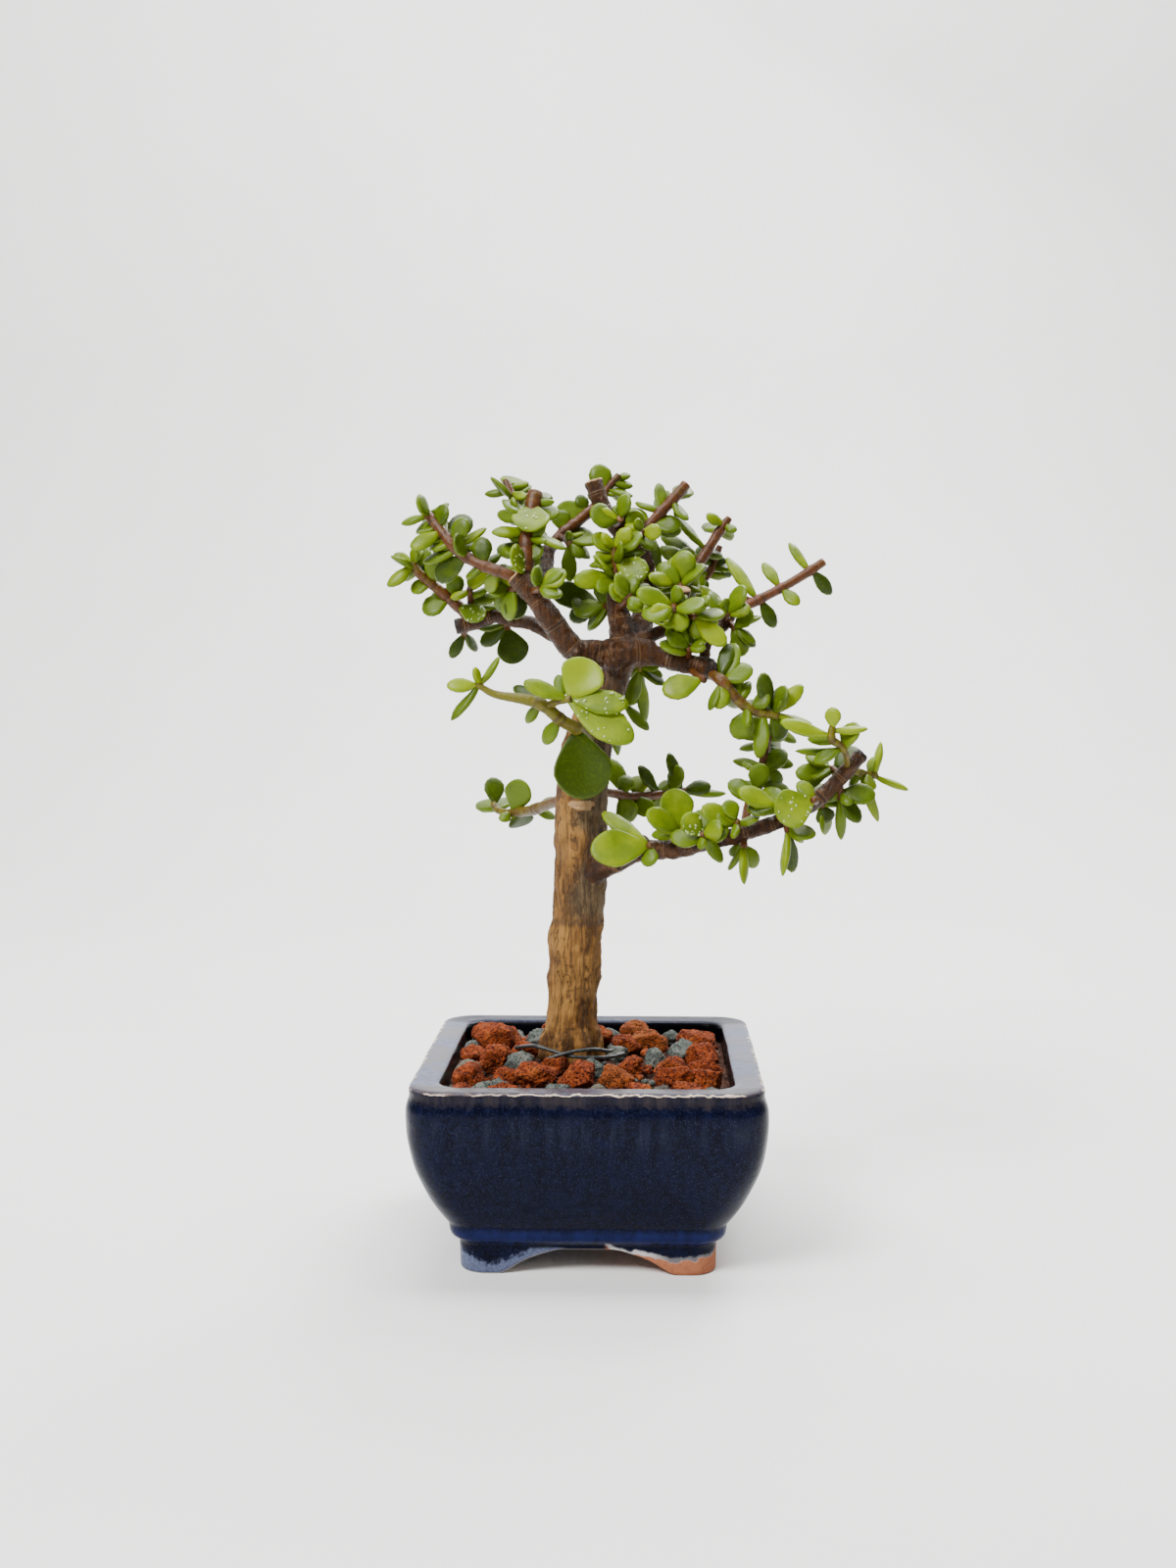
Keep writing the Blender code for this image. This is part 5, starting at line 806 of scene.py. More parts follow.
def start_group(effect: SharedEffect, numbers: Sequence[str], result: str, kind: str
                ) -> Tuple[Group, Node, Node]:
    """Start a node group whose first input is a place and whose others are numbers.

    Args:
        effect: the group that is built.
        numbers: names of the number inputs.
        result: name of the output.
        kind: the output's socket type.

    Returns:
        The group and its input and output nodes.
    """
    group = bpy.data.node_groups.new(effect.value, "ShaderNodeTree")
    group.interface.new_socket("Vector", in_out="INPUT", socket_type="NodeSocketVector")
    for word in numbers:
        group.interface.new_socket(word, in_out="INPUT", socket_type="NodeSocketFloat")
    group.interface.new_socket(result, in_out="OUTPUT", socket_type=kind)
    return group, group.nodes.new("NodeGroupInput"), group.nodes.new("NodeGroupOutput")


def group_noise(group: Group, given: Node) -> Socket:
    """Noise inside a group, fed by its place, scale and detail.

    Args:
        group: the group that is built.
        given: its input node.

    Returns:
        The noise's value.
    """
    noise_node = group.nodes.new("ShaderNodeTexNoise")
    noise_node.inputs["Roughness"].default_value = 0.55
    for word in ("Vector", "Scale", "Detail"):
        group.links.new(given.outputs[word], noise_node.inputs[word])
    return noise_node.outputs["Fac"]


def build_patches() -> Group:
    """Soft patches: noise spread smoothly from one range to another.

    Returns:
        The group.
    """
    ends = ("From Min", "From Max", "To Min", "To Max")
    numbers = ("Scale", "Detail", *ends)
    group, given, result = start_group(SharedEffect.PATCHES, numbers, "Mask", "NodeSocketFloat")
    spread = group.nodes.new("ShaderNodeMapRange")
    spread.interpolation_type = "SMOOTHSTEP"
    group.links.new(group_noise(group, given), spread.inputs["Value"])
    for word in ends:
        group.links.new(given.outputs[word], spread.inputs[word])
    group.links.new(spread.outputs["Result"], result.inputs["Mask"])
    return group


def build_relief() -> Group:
    """Fine relief: small bumps from noise.

    Returns:
        The group.
    """
    ends = ("Strength", "Distance")
    numbers = ("Scale", "Detail", *ends)
    group, given, result = start_group(SharedEffect.RELIEF, numbers, "Normal", "NodeSocketVector")
    raised = group.nodes.new("ShaderNodeBump")
    group.links.new(group_noise(group, given), raised.inputs["Height"])
    for word in ends:
        group.links.new(given.outputs[word], raised.inputs[word])
    group.links.new(raised.outputs["Normal"], result.inputs["Normal"])
    return group


@dataclass
class Recipe:
    """A material being put together from shader nodes."""

    name: str

    def __post_init__(self) -> None:
        """Make the material with its Principled shader."""
        self.material = bpy.data.materials.new(self.name)
        self.material.use_nodes = True
        self.tree = self.material.node_tree
        self.shader = self.tree.nodes["Principled BSDF"]
        self.spot = self.add("ShaderNodeTexCoord").outputs["Object"]

    def add(self, kind: str, inputs: Optional[Dict[object, object]] = None, **settings: object
            ) -> Node:
        """Add a node.

        Args:
            kind: the node's type name.
            inputs: socket name or number to a constant or to another node's output.
            settings: properties of the node.

        Returns:
            The node.
        """
        node = self.tree.nodes.new(kind)
        for key, value in settings.items():
            setattr(node, key, value)
        for key, value in (inputs or {}).items():
            self.feed(node.inputs[key], value)
        return node

    def feed(self, socket: Socket, value: object) -> None:
        """Link an output to a socket, or set a constant on it."""
        if isinstance(value, Socket):
            self.tree.links.new(value, socket)
        else:
            socket.default_value = value

    def attribute(self, name: str) -> Socket:
        """Value of a named attribute of the piece."""
        return self.add("ShaderNodeAttribute", attribute_name=name).outputs["Fac"]

    def noise(self, scale: float, detail: float = 4.0, rough: float = 0.55, where: Optional[Socket] = None
              ) -> Socket:
        """Noise value at a scale per metre."""
        inputs = {"Vector": where or self.spot, "Scale": scale, "Detail": detail, "Roughness": rough}
        return self.add("ShaderNodeTexNoise", inputs).outputs["Fac"]

    def patches(self, scale: float, detail: float, low: float, high: float, to_low: float = 0.0,
                to_high: float = 1.0) -> Socket:
        """Mask of soft patches.

        Args:
            scale: the noise's scale per metre.
            detail: its detail.
            low: noise value at which the mask starts.
            high: noise value at which it ends.
            to_low: the mask's value at its start.
            to_high: the mask's value at its end.

        Returns:
            The mask.
        """
        values = {"Vector": self.spot, "Scale": scale, "Detail": detail, "From Min": low, "From Max": high,
                  "To Min": to_low, "To Max": to_high}
        return self.add("ShaderNodeGroup", values, node_tree=SharedEffect.PATCHES.tree()).outputs["Mask"]

    def relief(self, scale: float, detail: float, strength: float, distance: float) -> Socket:
        """Normal with fine bumps of a scale per metre and a height in metres."""
        values = {"Vector": self.spot, "Scale": scale, "Detail": detail, "Strength": strength,
                  "Distance": distance}
        return self.add("ShaderNodeGroup", values, node_tree=SharedEffect.RELIEF.tree()).outputs["Normal"]

    def cells(self, scale: float) -> Socket:
        """Distance in a cell pattern at a scale per metre."""
        return self.add("ShaderNodeTexVoronoi", {"Vector": self.spot, "Scale": scale}).outputs["Distance"]

    def stretched(self, scale: Triple, move: Triple = (0, 0, 0)) -> Socket:
        """Object coordinates scaled along each axis and then moved."""
        inputs = {"Vector": self.spot, "Scale": scale, "Location": move}
        return self.add("ShaderNodeMapping", inputs).outputs["Vector"]

    def ramp(self, value: Socket, low: float, high: float, to_low: float = 0.0, to_high: float = 1.0
             ) -> Socket:
        """Value spread smoothly from a range to another."""
        inputs = {"Value": value, "From Min": low, "From Max": high, "To Min": to_low, "To Max": to_high}
        return self.add("ShaderNodeMapRange", inputs, interpolation_type="SMOOTHSTEP").outputs["Result"]

    def maths(self, how: str, first: object, second: object = 0.0) -> Socket:
        """Result of a Math node on one or two values."""
        return self.add("ShaderNodeMath", {0: first, 1: second}, operation=how).outputs["Value"]

    def times(self, first: object, second: object) -> Socket:
        """Product of two values."""
        return self.maths("MULTIPLY", first, second)

    def plus(self, first: object, second: object) -> Socket:
        """Sum of two values."""
        return self.maths("ADD", first, second)

    def mix(self, part: object, first: object, second: object) -> Socket:
        """Colour mixed from two.

        Args:
            part: how much of the second colour shows.
            first: the first colour.
            second: the second colour.

        Returns:
            The mixed colour.
        """
        node = self.add("ShaderNodeMix", data_type="RGBA", clamp_factor=True)
        sockets = (node.inputs["Factor"], node.inputs[6], node.inputs[7])
        for socket, value in zip(sockets, (part, first, second)):
            self.feed(socket, (*value, 1.0) if isinstance(value, tuple) else value)
        return node.outputs[2]

    def bump(self, height: Socket, strength: float, distance: float,
             normal: Optional[Socket] = None) -> Socket:
        """Normal bent by a height.

        Args:
            height: the height map.
            strength: how much it shows.
            distance: its height in metres.
            normal: normal that it starts from.

        Returns:
            The bent normal.
        """
        inputs = {"Height": height, "Strength": strength, "Distance": distance}
        if normal is not None:
            inputs["Normal"] = normal
        return self.add("ShaderNodeBump", inputs).outputs["Normal"]

    def finish(self, **sockets: object) -> Material:
        """Set the shader's sockets, given with underscores for spaces, and return the material."""
        for key, value in sockets.items():
            if isinstance(value, tuple) and len(value) == 3 and "Radius" not in key:
                value = (*value, 1.0)
            self.feed(self.shader.inputs[key.replace("_", " ")], value)
        return self.material


@dataclass(frozen=True)
class LeafFinish:
    """Fleshy green leaf: darker when old, lime when young, paler at its rim, which is partly its own edge
    colour and partly a painted highlight.
    """

    dark: Triple = (0.024, 0.044, 0.0)
    usual: Triple = (0.078, 0.126, 0.0)
    lime: Triple = (0.180, 0.240, 0.0)
    # Colour of the paler rim, which is partly a painted highlight on the rounded edge.
    rim: Triple = (0.125, 0.170, 0.0)

    def make(self) -> Material:
        """Build the material.

        Returns:
            The material.
        """
        m = Recipe("leaf skin")
        mood = m.attribute("mood")
        rim = m.attribute("rim")
        wet = m.attribute("wet")
        tone = m.plus(mood, m.patches(170.0, 3.0, 0.3, 0.7, -0.14, 0.14))
        base = m.mix(m.ramp(tone, 0.0, 0.5), self.dark, self.usual)
        base = m.mix(m.ramp(tone, 0.5, 1.0), base, self.lime)
        base = m.mix(m.patches(1500.0, 2.0, 0.5, 0.75, 0.0, 0.22), base, self.rim)
        # Paler rim: partly the leaf's own lighter edge, partly a painted highlight on the rounded edge.
        base = m.mix(m.ramp(rim, 0.55, 1.0, 0.0, 0.5), base, self.rim)
        soft = m.relief(900.0, 3.0, 0.12, 0.0004)
        return m.finish(Base_Color=base, Roughness=m.ramp(wet, 0.0, 1.0, 0.40, 0.46), Normal=soft,
                        Subsurface_Weight=0.3, Subsurface_Radius=(0.5, 1.0, 0.05), Subsurface_Scale=0.0014,
                        Specular_IOR_Level=0.2)


@dataclass(frozen=True)
class WaterFinish:
    """Clear bead of water that sits on a leaf and shows its green."""

    def make(self) -> Material:
        """Build the material.

        Returns:
            The material.
        """
        m = Recipe("water bead")
        base = m.mix(m.patches(900.0, 2.0, 0.35, 0.65), (0.13, 0.20, 0.01), (0.34, 0.42, 0.14))
        return m.finish(Base_Color=base, Roughness=0.03, Specular_IOR_Level=0.9, Coat_Weight=1.0,
                        Coat_Roughness=0.02)


@dataclass(frozen=True)
class StemFinish:
    """Young stem: red-brown at its foot, olive green toward its tip, pink where it is reddest."""

    brown: Triple = (0.072, 0.022, 0.003)
    olive: Triple = (0.100, 0.092, 0.002)
    pink: Triple = (0.19, 0.036, 0.018)

    def make(self) -> Material:
        """Build the material.

        Returns:
            The material.
        """
        m = Recipe("young stem")
        young = m.attribute("young")
        part = m.plus(young, m.patches(500.0, 4.0, 0.3, 0.7, -0.15, 0.15))
        base = m.mix(m.ramp(part, 0.4, 0.95), self.brown, self.olive)
        base = m.mix(m.ramp(part, 0.0, -0.45, 0.0, 0.85), base, self.pink)
        base = m.mix(m.patches(1400.0, 3.0, 0.52, 0.8, 0.0, 0.45), base, (0.28, 0.13, 0.055))
        base = m.mix(m.attribute("ring"), base, (0.035, 0.013, 0.006))
        base = m.mix(m.attribute("end"), base, (0.19, 0.095, 0.04))
        skin = m.relief(1200.0, 5.0, 0.45, 0.0006)
        return m.finish(Base_Color=base, Roughness=0.38, Normal=skin, Specular_IOR_Level=0.25)


@dataclass(frozen=True)
class BarkFinish:
    """Tan cracked bark on the trunk, smooth red-brown on the limbs, pale or black cut ends."""

    tan: Triple = (0.215, 0.098, 0.020)
    shade: Triple = (0.078, 0.033, 0.008)
    limb: Triple = (0.066, 0.022, 0.003)
    ring_height: float = 0.0965

    def make(self) -> Material:
        """Build the material.

        Returns:
            The material.
        """
        m = Recipe("bark")
        cracks = m.noise(330.0, 7.0, 0.66, m.stretched((1.0, 1.0, 0.20)))
        winding = {"Vector": m.stretched((1.0, 1.0, 0.13)), "Scale": 300.0, "Detail": 5.0, "Roughness": 0.6,
                   "Distortion": 0.6}
        wound = m.maths("SUBTRACT", m.add("ShaderNodeTexNoise", winding).outputs["Fac"], 0.5)
        seam = m.ramp(m.maths("ABSOLUTE", wound), 0.0, 0.035, 1.0, 0.0)
        breaks = m.ramp(m.noise(420.0, 5.0, 0.6, m.stretched((0.5, 0.5, 1.2))), 0.60, 0.70)
        fine = m.noise(900.0, 5.0, 0.6, m.stretched((1.0, 1.0, 0.4)))
        trunk = self.trunk_colour(m, cracks, fine)
        # Dark seams and breaks: partly the bark's dark cracks, partly painted shade in the crevices that the
        # bump sinks.
        trunk = m.mix(m.times(seam, 0.75), trunk, (0.045, 0.024, 0.011))
        trunk = m.mix(m.times(breaks, 0.6), trunk, (0.06, 0.032, 0.015))
        old = m.attribute("old")
        base = m.mix(old, self.limb_colour(m, fine), trunk)
        hoop = m.attribute("hoop")
        edges = m.times(m.ramp(hoop, 0.15, 0.5), m.ramp(hoop, 0.5, 0.9, 1.0, 0.0))
        base = m.mix(edges, base, (0.125, 0.060, 0.022))
        base = m.mix(m.ramp(hoop, 0.6, 1.0, 0.0, 0.8), base, (0.018, 0.008, 0.005))
        base = m.mix(m.attribute("cut"), base, (0.40, 0.24, 0.11))
        base = m.mix(m.attribute("charred"), base, (0.012, 0.008, 0.006))
        relief = m.maths("SUBTRACT", m.ramp(cracks, 0.3, 0.7), m.plus(seam, breaks))
        skin = m.bump(fine, 0.5, 0.0005, m.bump(relief, 0.6, 0.0009))
        return m.finish(Base_Color=base, Roughness=m.ramp(old, 0.0, 1.0, 0.36, 0.75), Normal=skin,
                        Specular_IOR_Level=0.24)

    def trunk_colour(self, m: Recipe, cracks: Socket, fine: Socket) -> Socket:
        """Tan bark, greyer and painted darker on the right above the old ring, where the darkening is painted
        shade.

        Args:
            m: the material.
            cracks: noise drawn out along the trunk.
            fine: finer noise.

        Returns:
            The colour.
        """
        axes = m.add("ShaderNodeSeparateXYZ", {"Vector": m.spot})
        side, height = axes.outputs["X"], axes.outputs["Z"]
        trunk = m.mix(m.ramp(cracks, 0.38, 0.62), self.shade, self.tan)
        trunk = m.mix(m.patches(75.0, 4.0, 0.44, 0.64, 0.0, 0.75), trunk, (0.30, 0.150, 0.036))
        upper = m.ramp(height, self.ring_height - 0.0025, self.ring_height + 0.0045)
        wander = m.plus(side, m.patches(60.0, 3.0, 0.3, 0.7, -0.004, 0.004))
        # Right side above the ring: greyer bark, painted darker as painted shade on the side away from the
        # key light.
        right_side_painted_shade = m.times(upper, m.ramp(wander, MIDDLE.x - 0.0045, MIDDLE.x - 0.0005, 0.12, 0.85))
        grey = m.mix(m.ramp(cracks, 0.35, 0.65), (0.035, 0.024, 0.013), (0.12, 0.085, 0.045))
        trunk = m.mix(right_side_painted_shade, trunk, grey)
        wavy = m.plus(height, m.ramp(fine, 0.3, 0.7, -0.0008, 0.0008))
        ringed = m.maths("ABSOLUTE", m.maths("SUBTRACT", wavy, self.ring_height))
        return m.mix(m.ramp(ringed, 0.0003, 0.0016, 0.6, 0.0), trunk, (0.05, 0.03, 0.015))

    def limb_colour(self, m: Recipe, fine: Socket) -> Socket:
        """Red-brown skin with tan and dark patches.

        Args:
            m: the material.
            fine: fine noise.

        Returns:
            The colour.
        """
        limb = m.mix(m.ramp(fine, 0.35, 0.7), (0.026, 0.009, 0.002), self.limb)
        limb = m.mix(m.patches(420.0, 4.0, 0.58, 0.75, 0.0, 0.55), limb, (0.17, 0.080, 0.024))
        return m.mix(m.patches(150.0, 4.0, 0.50, 0.68, 0.0, 0.7), limb, (0.022, 0.010, 0.006))


@dataclass
class GlazeMaps:
    """Places on the pot, in millimetres from its middle, and the patterns that its zones share."""

    m: Recipe

    def __post_init__(self) -> None:
        """Make the nodes."""
        m = self.m
        centred = m.stretched((1000.0, 1000.0, 1000.0), (-MIDDLE.x * 1000, -MIDDLE.y * 1000, 0))
        axes = m.add("ShaderNodeSeparateXYZ", {"Vector": centred})
        self.x, self.y, self.z = (axes.outputs[k] for k in "XYZ")
        self.out = m.maths("MAXIMUM", m.maths("ABSOLUTE", self.x), m.maths("ABSOLUTE", self.y))
        self.streaks = m.noise(260.0, 6.0, 0.62, m.stretched((1.0, 1.0, 0.14)))
        self.mottle = m.noise(480.0, 6.0, 0.7)
        self.fine = m.noise(2500.0, 3.0, 0.6, m.stretched((1.0, 1.0, 0.6)))


@dataclass(frozen=True)
class GlazeFinish:
    """Deep navy glaze with lighter flecks, a pale rim that is partly a painted highlight with painted shade
    at its back and inside, a worn edge and one bare foot.
    """

    navy: Triple = (0.0008, 0.0010, 0.0052)
    blue: Triple = (0.0028, 0.0042, 0.021)
    fleck: Triple = (0.011, 0.015, 0.036)
    belt_blue: Triple = (0.007, 0.011, 0.062)
    # Pale rim colour: partly the glaze and partly a painted highlight.
    pale: Triple = (0.092, 0.104, 0.165)
    clay: Triple = (0.34, 0.125, 0.060)
    cream: Triple = (0.62, 0.50, 0.38)

    def make(self) -> Material:
        """Build the material.

        Returns:
            The material.
        """
        m = Recipe("navy glaze")
        maps = GlazeMaps(m)
        base, worn = self.edge(m, maps, self.rim(m, maps, self.body(m, maps)))
        base, bare = self.bare_foot(m, maps, base)
        base = self.pale_foot(m, maps, base)
        lip = m.times(m.maths("SUBTRACT", 1.0, bare), m.attribute("lip"))
        base = m.mix(m.times(lip, m.ramp(maps.mottle, 0.25, 0.5, 0.45, 0.95)), base, (0.50, 0.44, 0.40))
        dull = m.maths("MAXIMUM", m.maths("MAXIMUM", bare, worn), lip)
        skin = m.bump(maps.fine, 0.12, 0.0004, m.relief(160.0, 3.0, 0.12, 0.002))
        return m.finish(Base_Color=base, Roughness=m.ramp(dull, 0.0, 1.0, 0.26, 0.7), Normal=skin,
                        Specular_IOR_Level=0.07)

    def body(self, m: Recipe, maps: GlazeMaps) -> Socket:
        """Navy with flecks and streaks, a bluer belt and a browner band under the rim.

        Args:
            m: the material.
            maps: its places and patterns.

        Returns:
            The colour.
        """
        z, streaks, mottle = maps.z, maps.streaks, maps.mottle
        base = m.mix(m.ramp(streaks, 0.36, 0.80, 0.0, 0.7), self.navy, self.blue)
        base = m.mix(m.ramp(mottle, 0.40, 0.70, 0.0, 0.8), base, self.blue)
        base = m.mix(m.ramp(maps.fine, 0.50, 0.72, 0.0, 0.8), base, self.fleck)
        high = m.times(m.ramp(z, 37.0, 47.0), m.ramp(z, 44.0, 51.0, 1.0, 0.1))
        base = m.mix(m.times(high, m.ramp(streaks, 0.46, 0.70, 0.0, 0.4)), base, (0.018, 0.022, 0.032))
        wave = m.plus(z, m.ramp(mottle, 0.3, 0.7, -0.9, 0.9))
        belt = m.times(m.ramp(wave, 8.8, 10.6), m.ramp(wave, 12.4, 15.0, 1.0, 0.0))
        base = m.mix(m.times(belt, m.ramp(streaks, 0.3, 0.65, 0.45, 0.9)), base, self.belt_blue)
        brow = m.times(m.ramp(wave, 51.4, 52.8), m.ramp(streaks, 0.36, 0.66, 0.15, 0.85))
        return m.mix(brow, base, (0.024, 0.019, 0.020))

    def rim(self, m: Recipe, maps: GlazeMaps, base: Socket) -> Socket:
        """Pale rim, partly its glaze colour and partly a painted highlight, browner in front and painted dark
        at the back as painted shade, with the inside painted near black as painted shade.

        Args:
            m: the material.
            maps: its places and patterns.
            base: the colour so far.

        Returns:
            The colour.
        """
        z, mottle = maps.z, maps.mottle
        # Pale rim top: partly glaze colour, partly a painted highlight from above.
        face = m.mix(m.ramp(mottle, 0.35, 0.65), self.pale, (0.060, 0.072, 0.130))
        face = m.mix(m.patches(70.0, 3.0, 0.40, 0.66, 0.0, 0.75), face, (0.105, 0.094, 0.102))
        front = m.times(m.ramp(maps.y, -40.5, -43.5), m.ramp(mottle, 0.3, 0.6, 0.5, 0.95))
        face = m.mix(front, face, (0.050, 0.040, 0.046))
        # Back of the rim painted dark navy: painted shade.
        back_rim_painted_shade = m.times(m.ramp(maps.y, 37.0, 41.0), m.ramp(mottle, 0.3, 0.6, 0.75, 1.0))
        face = m.mix(back_rim_painted_shade, face, (0.008, 0.011, 0.028))
        base = m.mix(m.ramp(z, 55.0, 55.6), base, face)
        # Inner wall above the gravel painted near black: painted shade inside the pot.
        inside = m.times(m.ramp(maps.out, 42.3, 41.6), m.ramp(z, 55.7, 54.8))
        return m.mix(m.times(inside, m.ramp(z, 24.0, 30.0)), base, (0.0012, 0.0014, 0.003))

    def edge(self, m: Recipe, maps: GlazeMaps, base: Socket) -> Tuple[Socket, Socket]:
        """Line along the rim's outer edge, worn to cream in places.

        Args:
            m: the material.
            maps: its places and patterns.
            base: the colour so far.

        Returns:
            The colour and the mask of the worn places.
        """
        level = m.plus(maps.z, m.patches(330.0, 5.0, 0.3, 0.7, -0.35, 0.35))
        line = m.times(m.ramp(level, 55.3, 55.5), m.ramp(level, 55.6, 55.8, 1.0, 0.0))
        line = m.times(line, m.ramp(maps.out, 48.6, 49.2))
        worn = m.times(line, m.patches(120.0, 4.0, 0.36, 0.5))
        base = m.mix(m.times(line, 0.7), base, (0.12, 0.085, 0.08))
        return m.mix(worn, base, self.cream), worn

    def bare_foot(self, m: Recipe, maps: GlazeMaps, base: Socket) -> Tuple[Socket, Socket]:
        """Bare clay on the right front foot, under a ragged white line.

        Args:
            m: the material.
            maps: its places and patterns.
            base: the colour so far.

        Returns:
            The colour and the mask of the bare clay.
        """
        x, y, z = maps.x, maps.y, maps.z
        right = m.times(m.ramp(x, 4.5, 7.0), m.ramp(y, 4.0, -12.0))
        bowl = m.times(m.maths("POWER", m.maths("SUBTRACT", x, 26.5), 2.0), 0.0105)
        turned = m.ramp(m.maths("ABSOLUTE", y), 34.5, 30.0, 0.0, 3.0)
        limit = m.plus(m.plus(bowl, turned), 4.4)
        ragged = m.maths("SUBTRACT", m.plus(z, m.patches(210.0, 4.0, 0.3, 0.7, -0.7, 0.7)), limit)
        bare = m.times(right, m.ramp(ragged, -0.2, 0.15, 1.0, 0.0))
        line = m.times(m.ramp(ragged, -0.5, 0.0), m.ramp(ragged, 0.5, 1.4, 1.0, 0.0))
        line = m.times(m.times(line, right), m.ramp(x, 24.0, 16.0, 0.25, 1.0))
        clay = m.mix(m.patches(900.0, 4.0, 0.4, 0.7), self.clay, (0.27, 0.095, 0.05))
        base = m.mix(bare, base, clay)
        return m.mix(m.times(line, 0.9), base, (0.52, 0.50, 0.50)), bare

    def pale_foot(self, m: Recipe, maps: GlazeMaps, base: Socket) -> Socket:
        """Pale blue veil that runs down the left front foot.

        Args:
            m: the material.
            maps: its places and patterns.
            base: the colour so far.

        Returns:
            The colour.
        """
        left = m.times(m.ramp(maps.x, -5.0, -9.0), m.ramp(maps.y, 4.0, -12.0))
        drip = m.times(m.maths("ABSOLUTE", m.plus(maps.x, 27.5)), 0.42)
        wave = m.plus(maps.z, m.ramp(maps.mottle, 0.3, 0.7, -1.2, 1.2))
        low = m.maths("SUBTRACT", wave, m.plus(drip, 2.4))
        veil = m.times(m.times(left, m.ramp(low, -0.8, 1.2, 1.0, 0.0)), m.ramp(maps.z, 8.6, 7.4))
        return m.mix(m.times(veil, m.ramp(maps.fine, 0.35, 0.6, 0.55, 0.95)), base, (0.105, 0.122, 0.20))


@dataclass(frozen=True)
class StoneFinish:
    """Broken stone with pores painted darker as painted shade, in one colour range."""

    name: str
    light: Triple
    deep: Triple
    fleck: Triple
    pores: float
    rough: float = 0.9

    def make(self) -> Material:
        """Build the material.

        Returns:
            The material.
        """
        m = Recipe(self.name)
        tint = m.attribute("tint")
        grain = m.noise(900.0, 5.0, 0.65)
        base = m.mix(m.ramp(grain, 0.35, 0.65), self.deep, self.light)
        base = m.mix(m.patches(210.0, 3.0, 0.5, 0.75, 0.0, 0.5), base, self.fleck)
        base = m.mix(m.patches(2600.0, 2.0, 0.6, 0.75, 0.0, 0.5), base, self.fleck)
        base = m.mix(m.ramp(tint, 0.6, 1.0, 0.0, 0.85), base, (0.34, 0.15, 0.022))
        base = m.mix(m.ramp(tint, 0.2, 0.0, 0.0, 0.8), base, (0.05, 0.035, 0.028))
        pits = m.cells(1100.0)
        # Pores painted darker: painted shade in the pits that the bump sinks.
        base = m.mix(m.ramp(pits, 0.0, 0.35, self.pores, 0.0), base, (0.02, 0.012, 0.01))
        rise = m.plus(grain, m.times(m.ramp(pits, 0.0, 0.45), self.pores))
        skin = m.bump(rise, 1.0, 0.0013)
        return m.finish(Base_Color=base, Roughness=self.rough, Normal=skin, Specular_IOR_Level=0.2)


@dataclass(frozen=True)
class PlainFinish:
    """Even finish with a fine grain, for what is hardly seen."""

    name: str
    colour: Triple
    other: Triple
    grain: float
    rough: float

    def make(self) -> Material:
        """Build the material.

        Returns:
            The material.
        """
        m = Recipe(self.name)
        cloud = m.noise(self.grain, 5.0)
        base = m.mix(m.ramp(cloud, 0.35, 0.65), self.colour, self.other)
        return m.finish(Base_Color=base, Roughness=self.rough, Normal=m.bump(cloud, 0.5, 0.0008))


# Building meshes

def as_piece(name: str, bm: BMesh, materials: Iterable[Material],
             stands_for: Sequence[str] = ()) -> Piece:
    """Turn a bmesh into a finished piece of the object.

    Args:
        name: the piece's name.
        bm: its mesh in metres in the row frame, freed here.
        materials: its materials in order.
        stands_for: CAD nodes that it replaces.

    Returns:
        The object.
    """
    mesh = bpy.data.meshes.new(name)
    bm.to_mesh(mesh)
    bm.free()
    for material in materials:
        mesh.materials.append(material)
    mesh.polygons.foreach_set("use_smooth", [True] * len(mesh.polygons))
    piece = bpy.data.objects.new(name, mesh)
    bpy.context.scene.collection.objects.link(piece)
    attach(piece, "root")
    if stands_for:
        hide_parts(*stands_for)
    LOG.info("%s: %d faces", name, len(mesh.polygons))
    return piece


def evaluated(bm: BMesh, *steps: Tuple[str, Dict[str, object]]) -> BMesh:
    """Run modifiers on a bmesh and give back the result as a bmesh.

    Args:
        bm: the mesh, freed here.
        steps: kind and settings of each modifier in order.

    Returns:
        The new bmesh.
    """
    mesh = bpy.data.meshes.new("work")
    bm.to_mesh(mesh)
    bm.free()
    helper = bpy.data.objects.new("work", mesh)
    bpy.context.scene.collection.objects.link(helper)
    for kind, settings in steps:
        step = helper.modifiers.new(kind.lower(), kind)
        for key, value in settings.items():
            setattr(step, key, value)
    graph = bpy.context.evaluated_depsgraph_get()
    result = bpy.data.meshes.new_from_object(helper.evaluated_get(graph))
    bpy.data.objects.remove(helper, do_unlink=True)
    bpy.data.meshes.remove(mesh)
    out = bmesh.new()
    out.from_mesh(result)
    bpy.data.meshes.remove(result)
    return out


def swept(bm: BMesh, points: List[Vector], radii: List[float], sides: int) -> List[List[bmesh.types.BMVert]]:
    """Add a closed round rod through points, as rings bridged one to the next.

    Args:
        bm: mesh to add to, in metres.
        points: middle line in millimetres of the pot's frame.
        radii: radius at each point.
        sides: corners round the rod.

    Returns:
        The rings of vertices.
    """
    rings = []
    turn = None
    for i, (where, radius) in enumerate(zip(points, radii)):
        ahead = (points[min(i + 1, len(points) - 1)] - points[max(i - 1, 0)]).normalized()
        if turn is None:
            turn = ahead.to_track_quat("Z", "Y")
        else:
            turn = (turn @ Vector((0, 0, 1))).rotation_difference(ahead) @ turn
        capped = i in (0, len(points) - 1)
        made = bmesh.ops.create_circle(bm, segments=sides, radius=radius * MM, cap_ends=capped)
        place = Matrix.Translation(in_row(where)) @ turn.to_matrix().to_4x4()
        bmesh.ops.transform(bm, matrix=place, verts=made["verts"])
        rings.append(made["verts"])
    for lower, upper in zip(rings, rings[1:]):
        for k in range(sides):
            bm.faces.new((lower[k], lower[(k + 1) % sides], upper[(k + 1) % sides], upper[k]))
    return rings


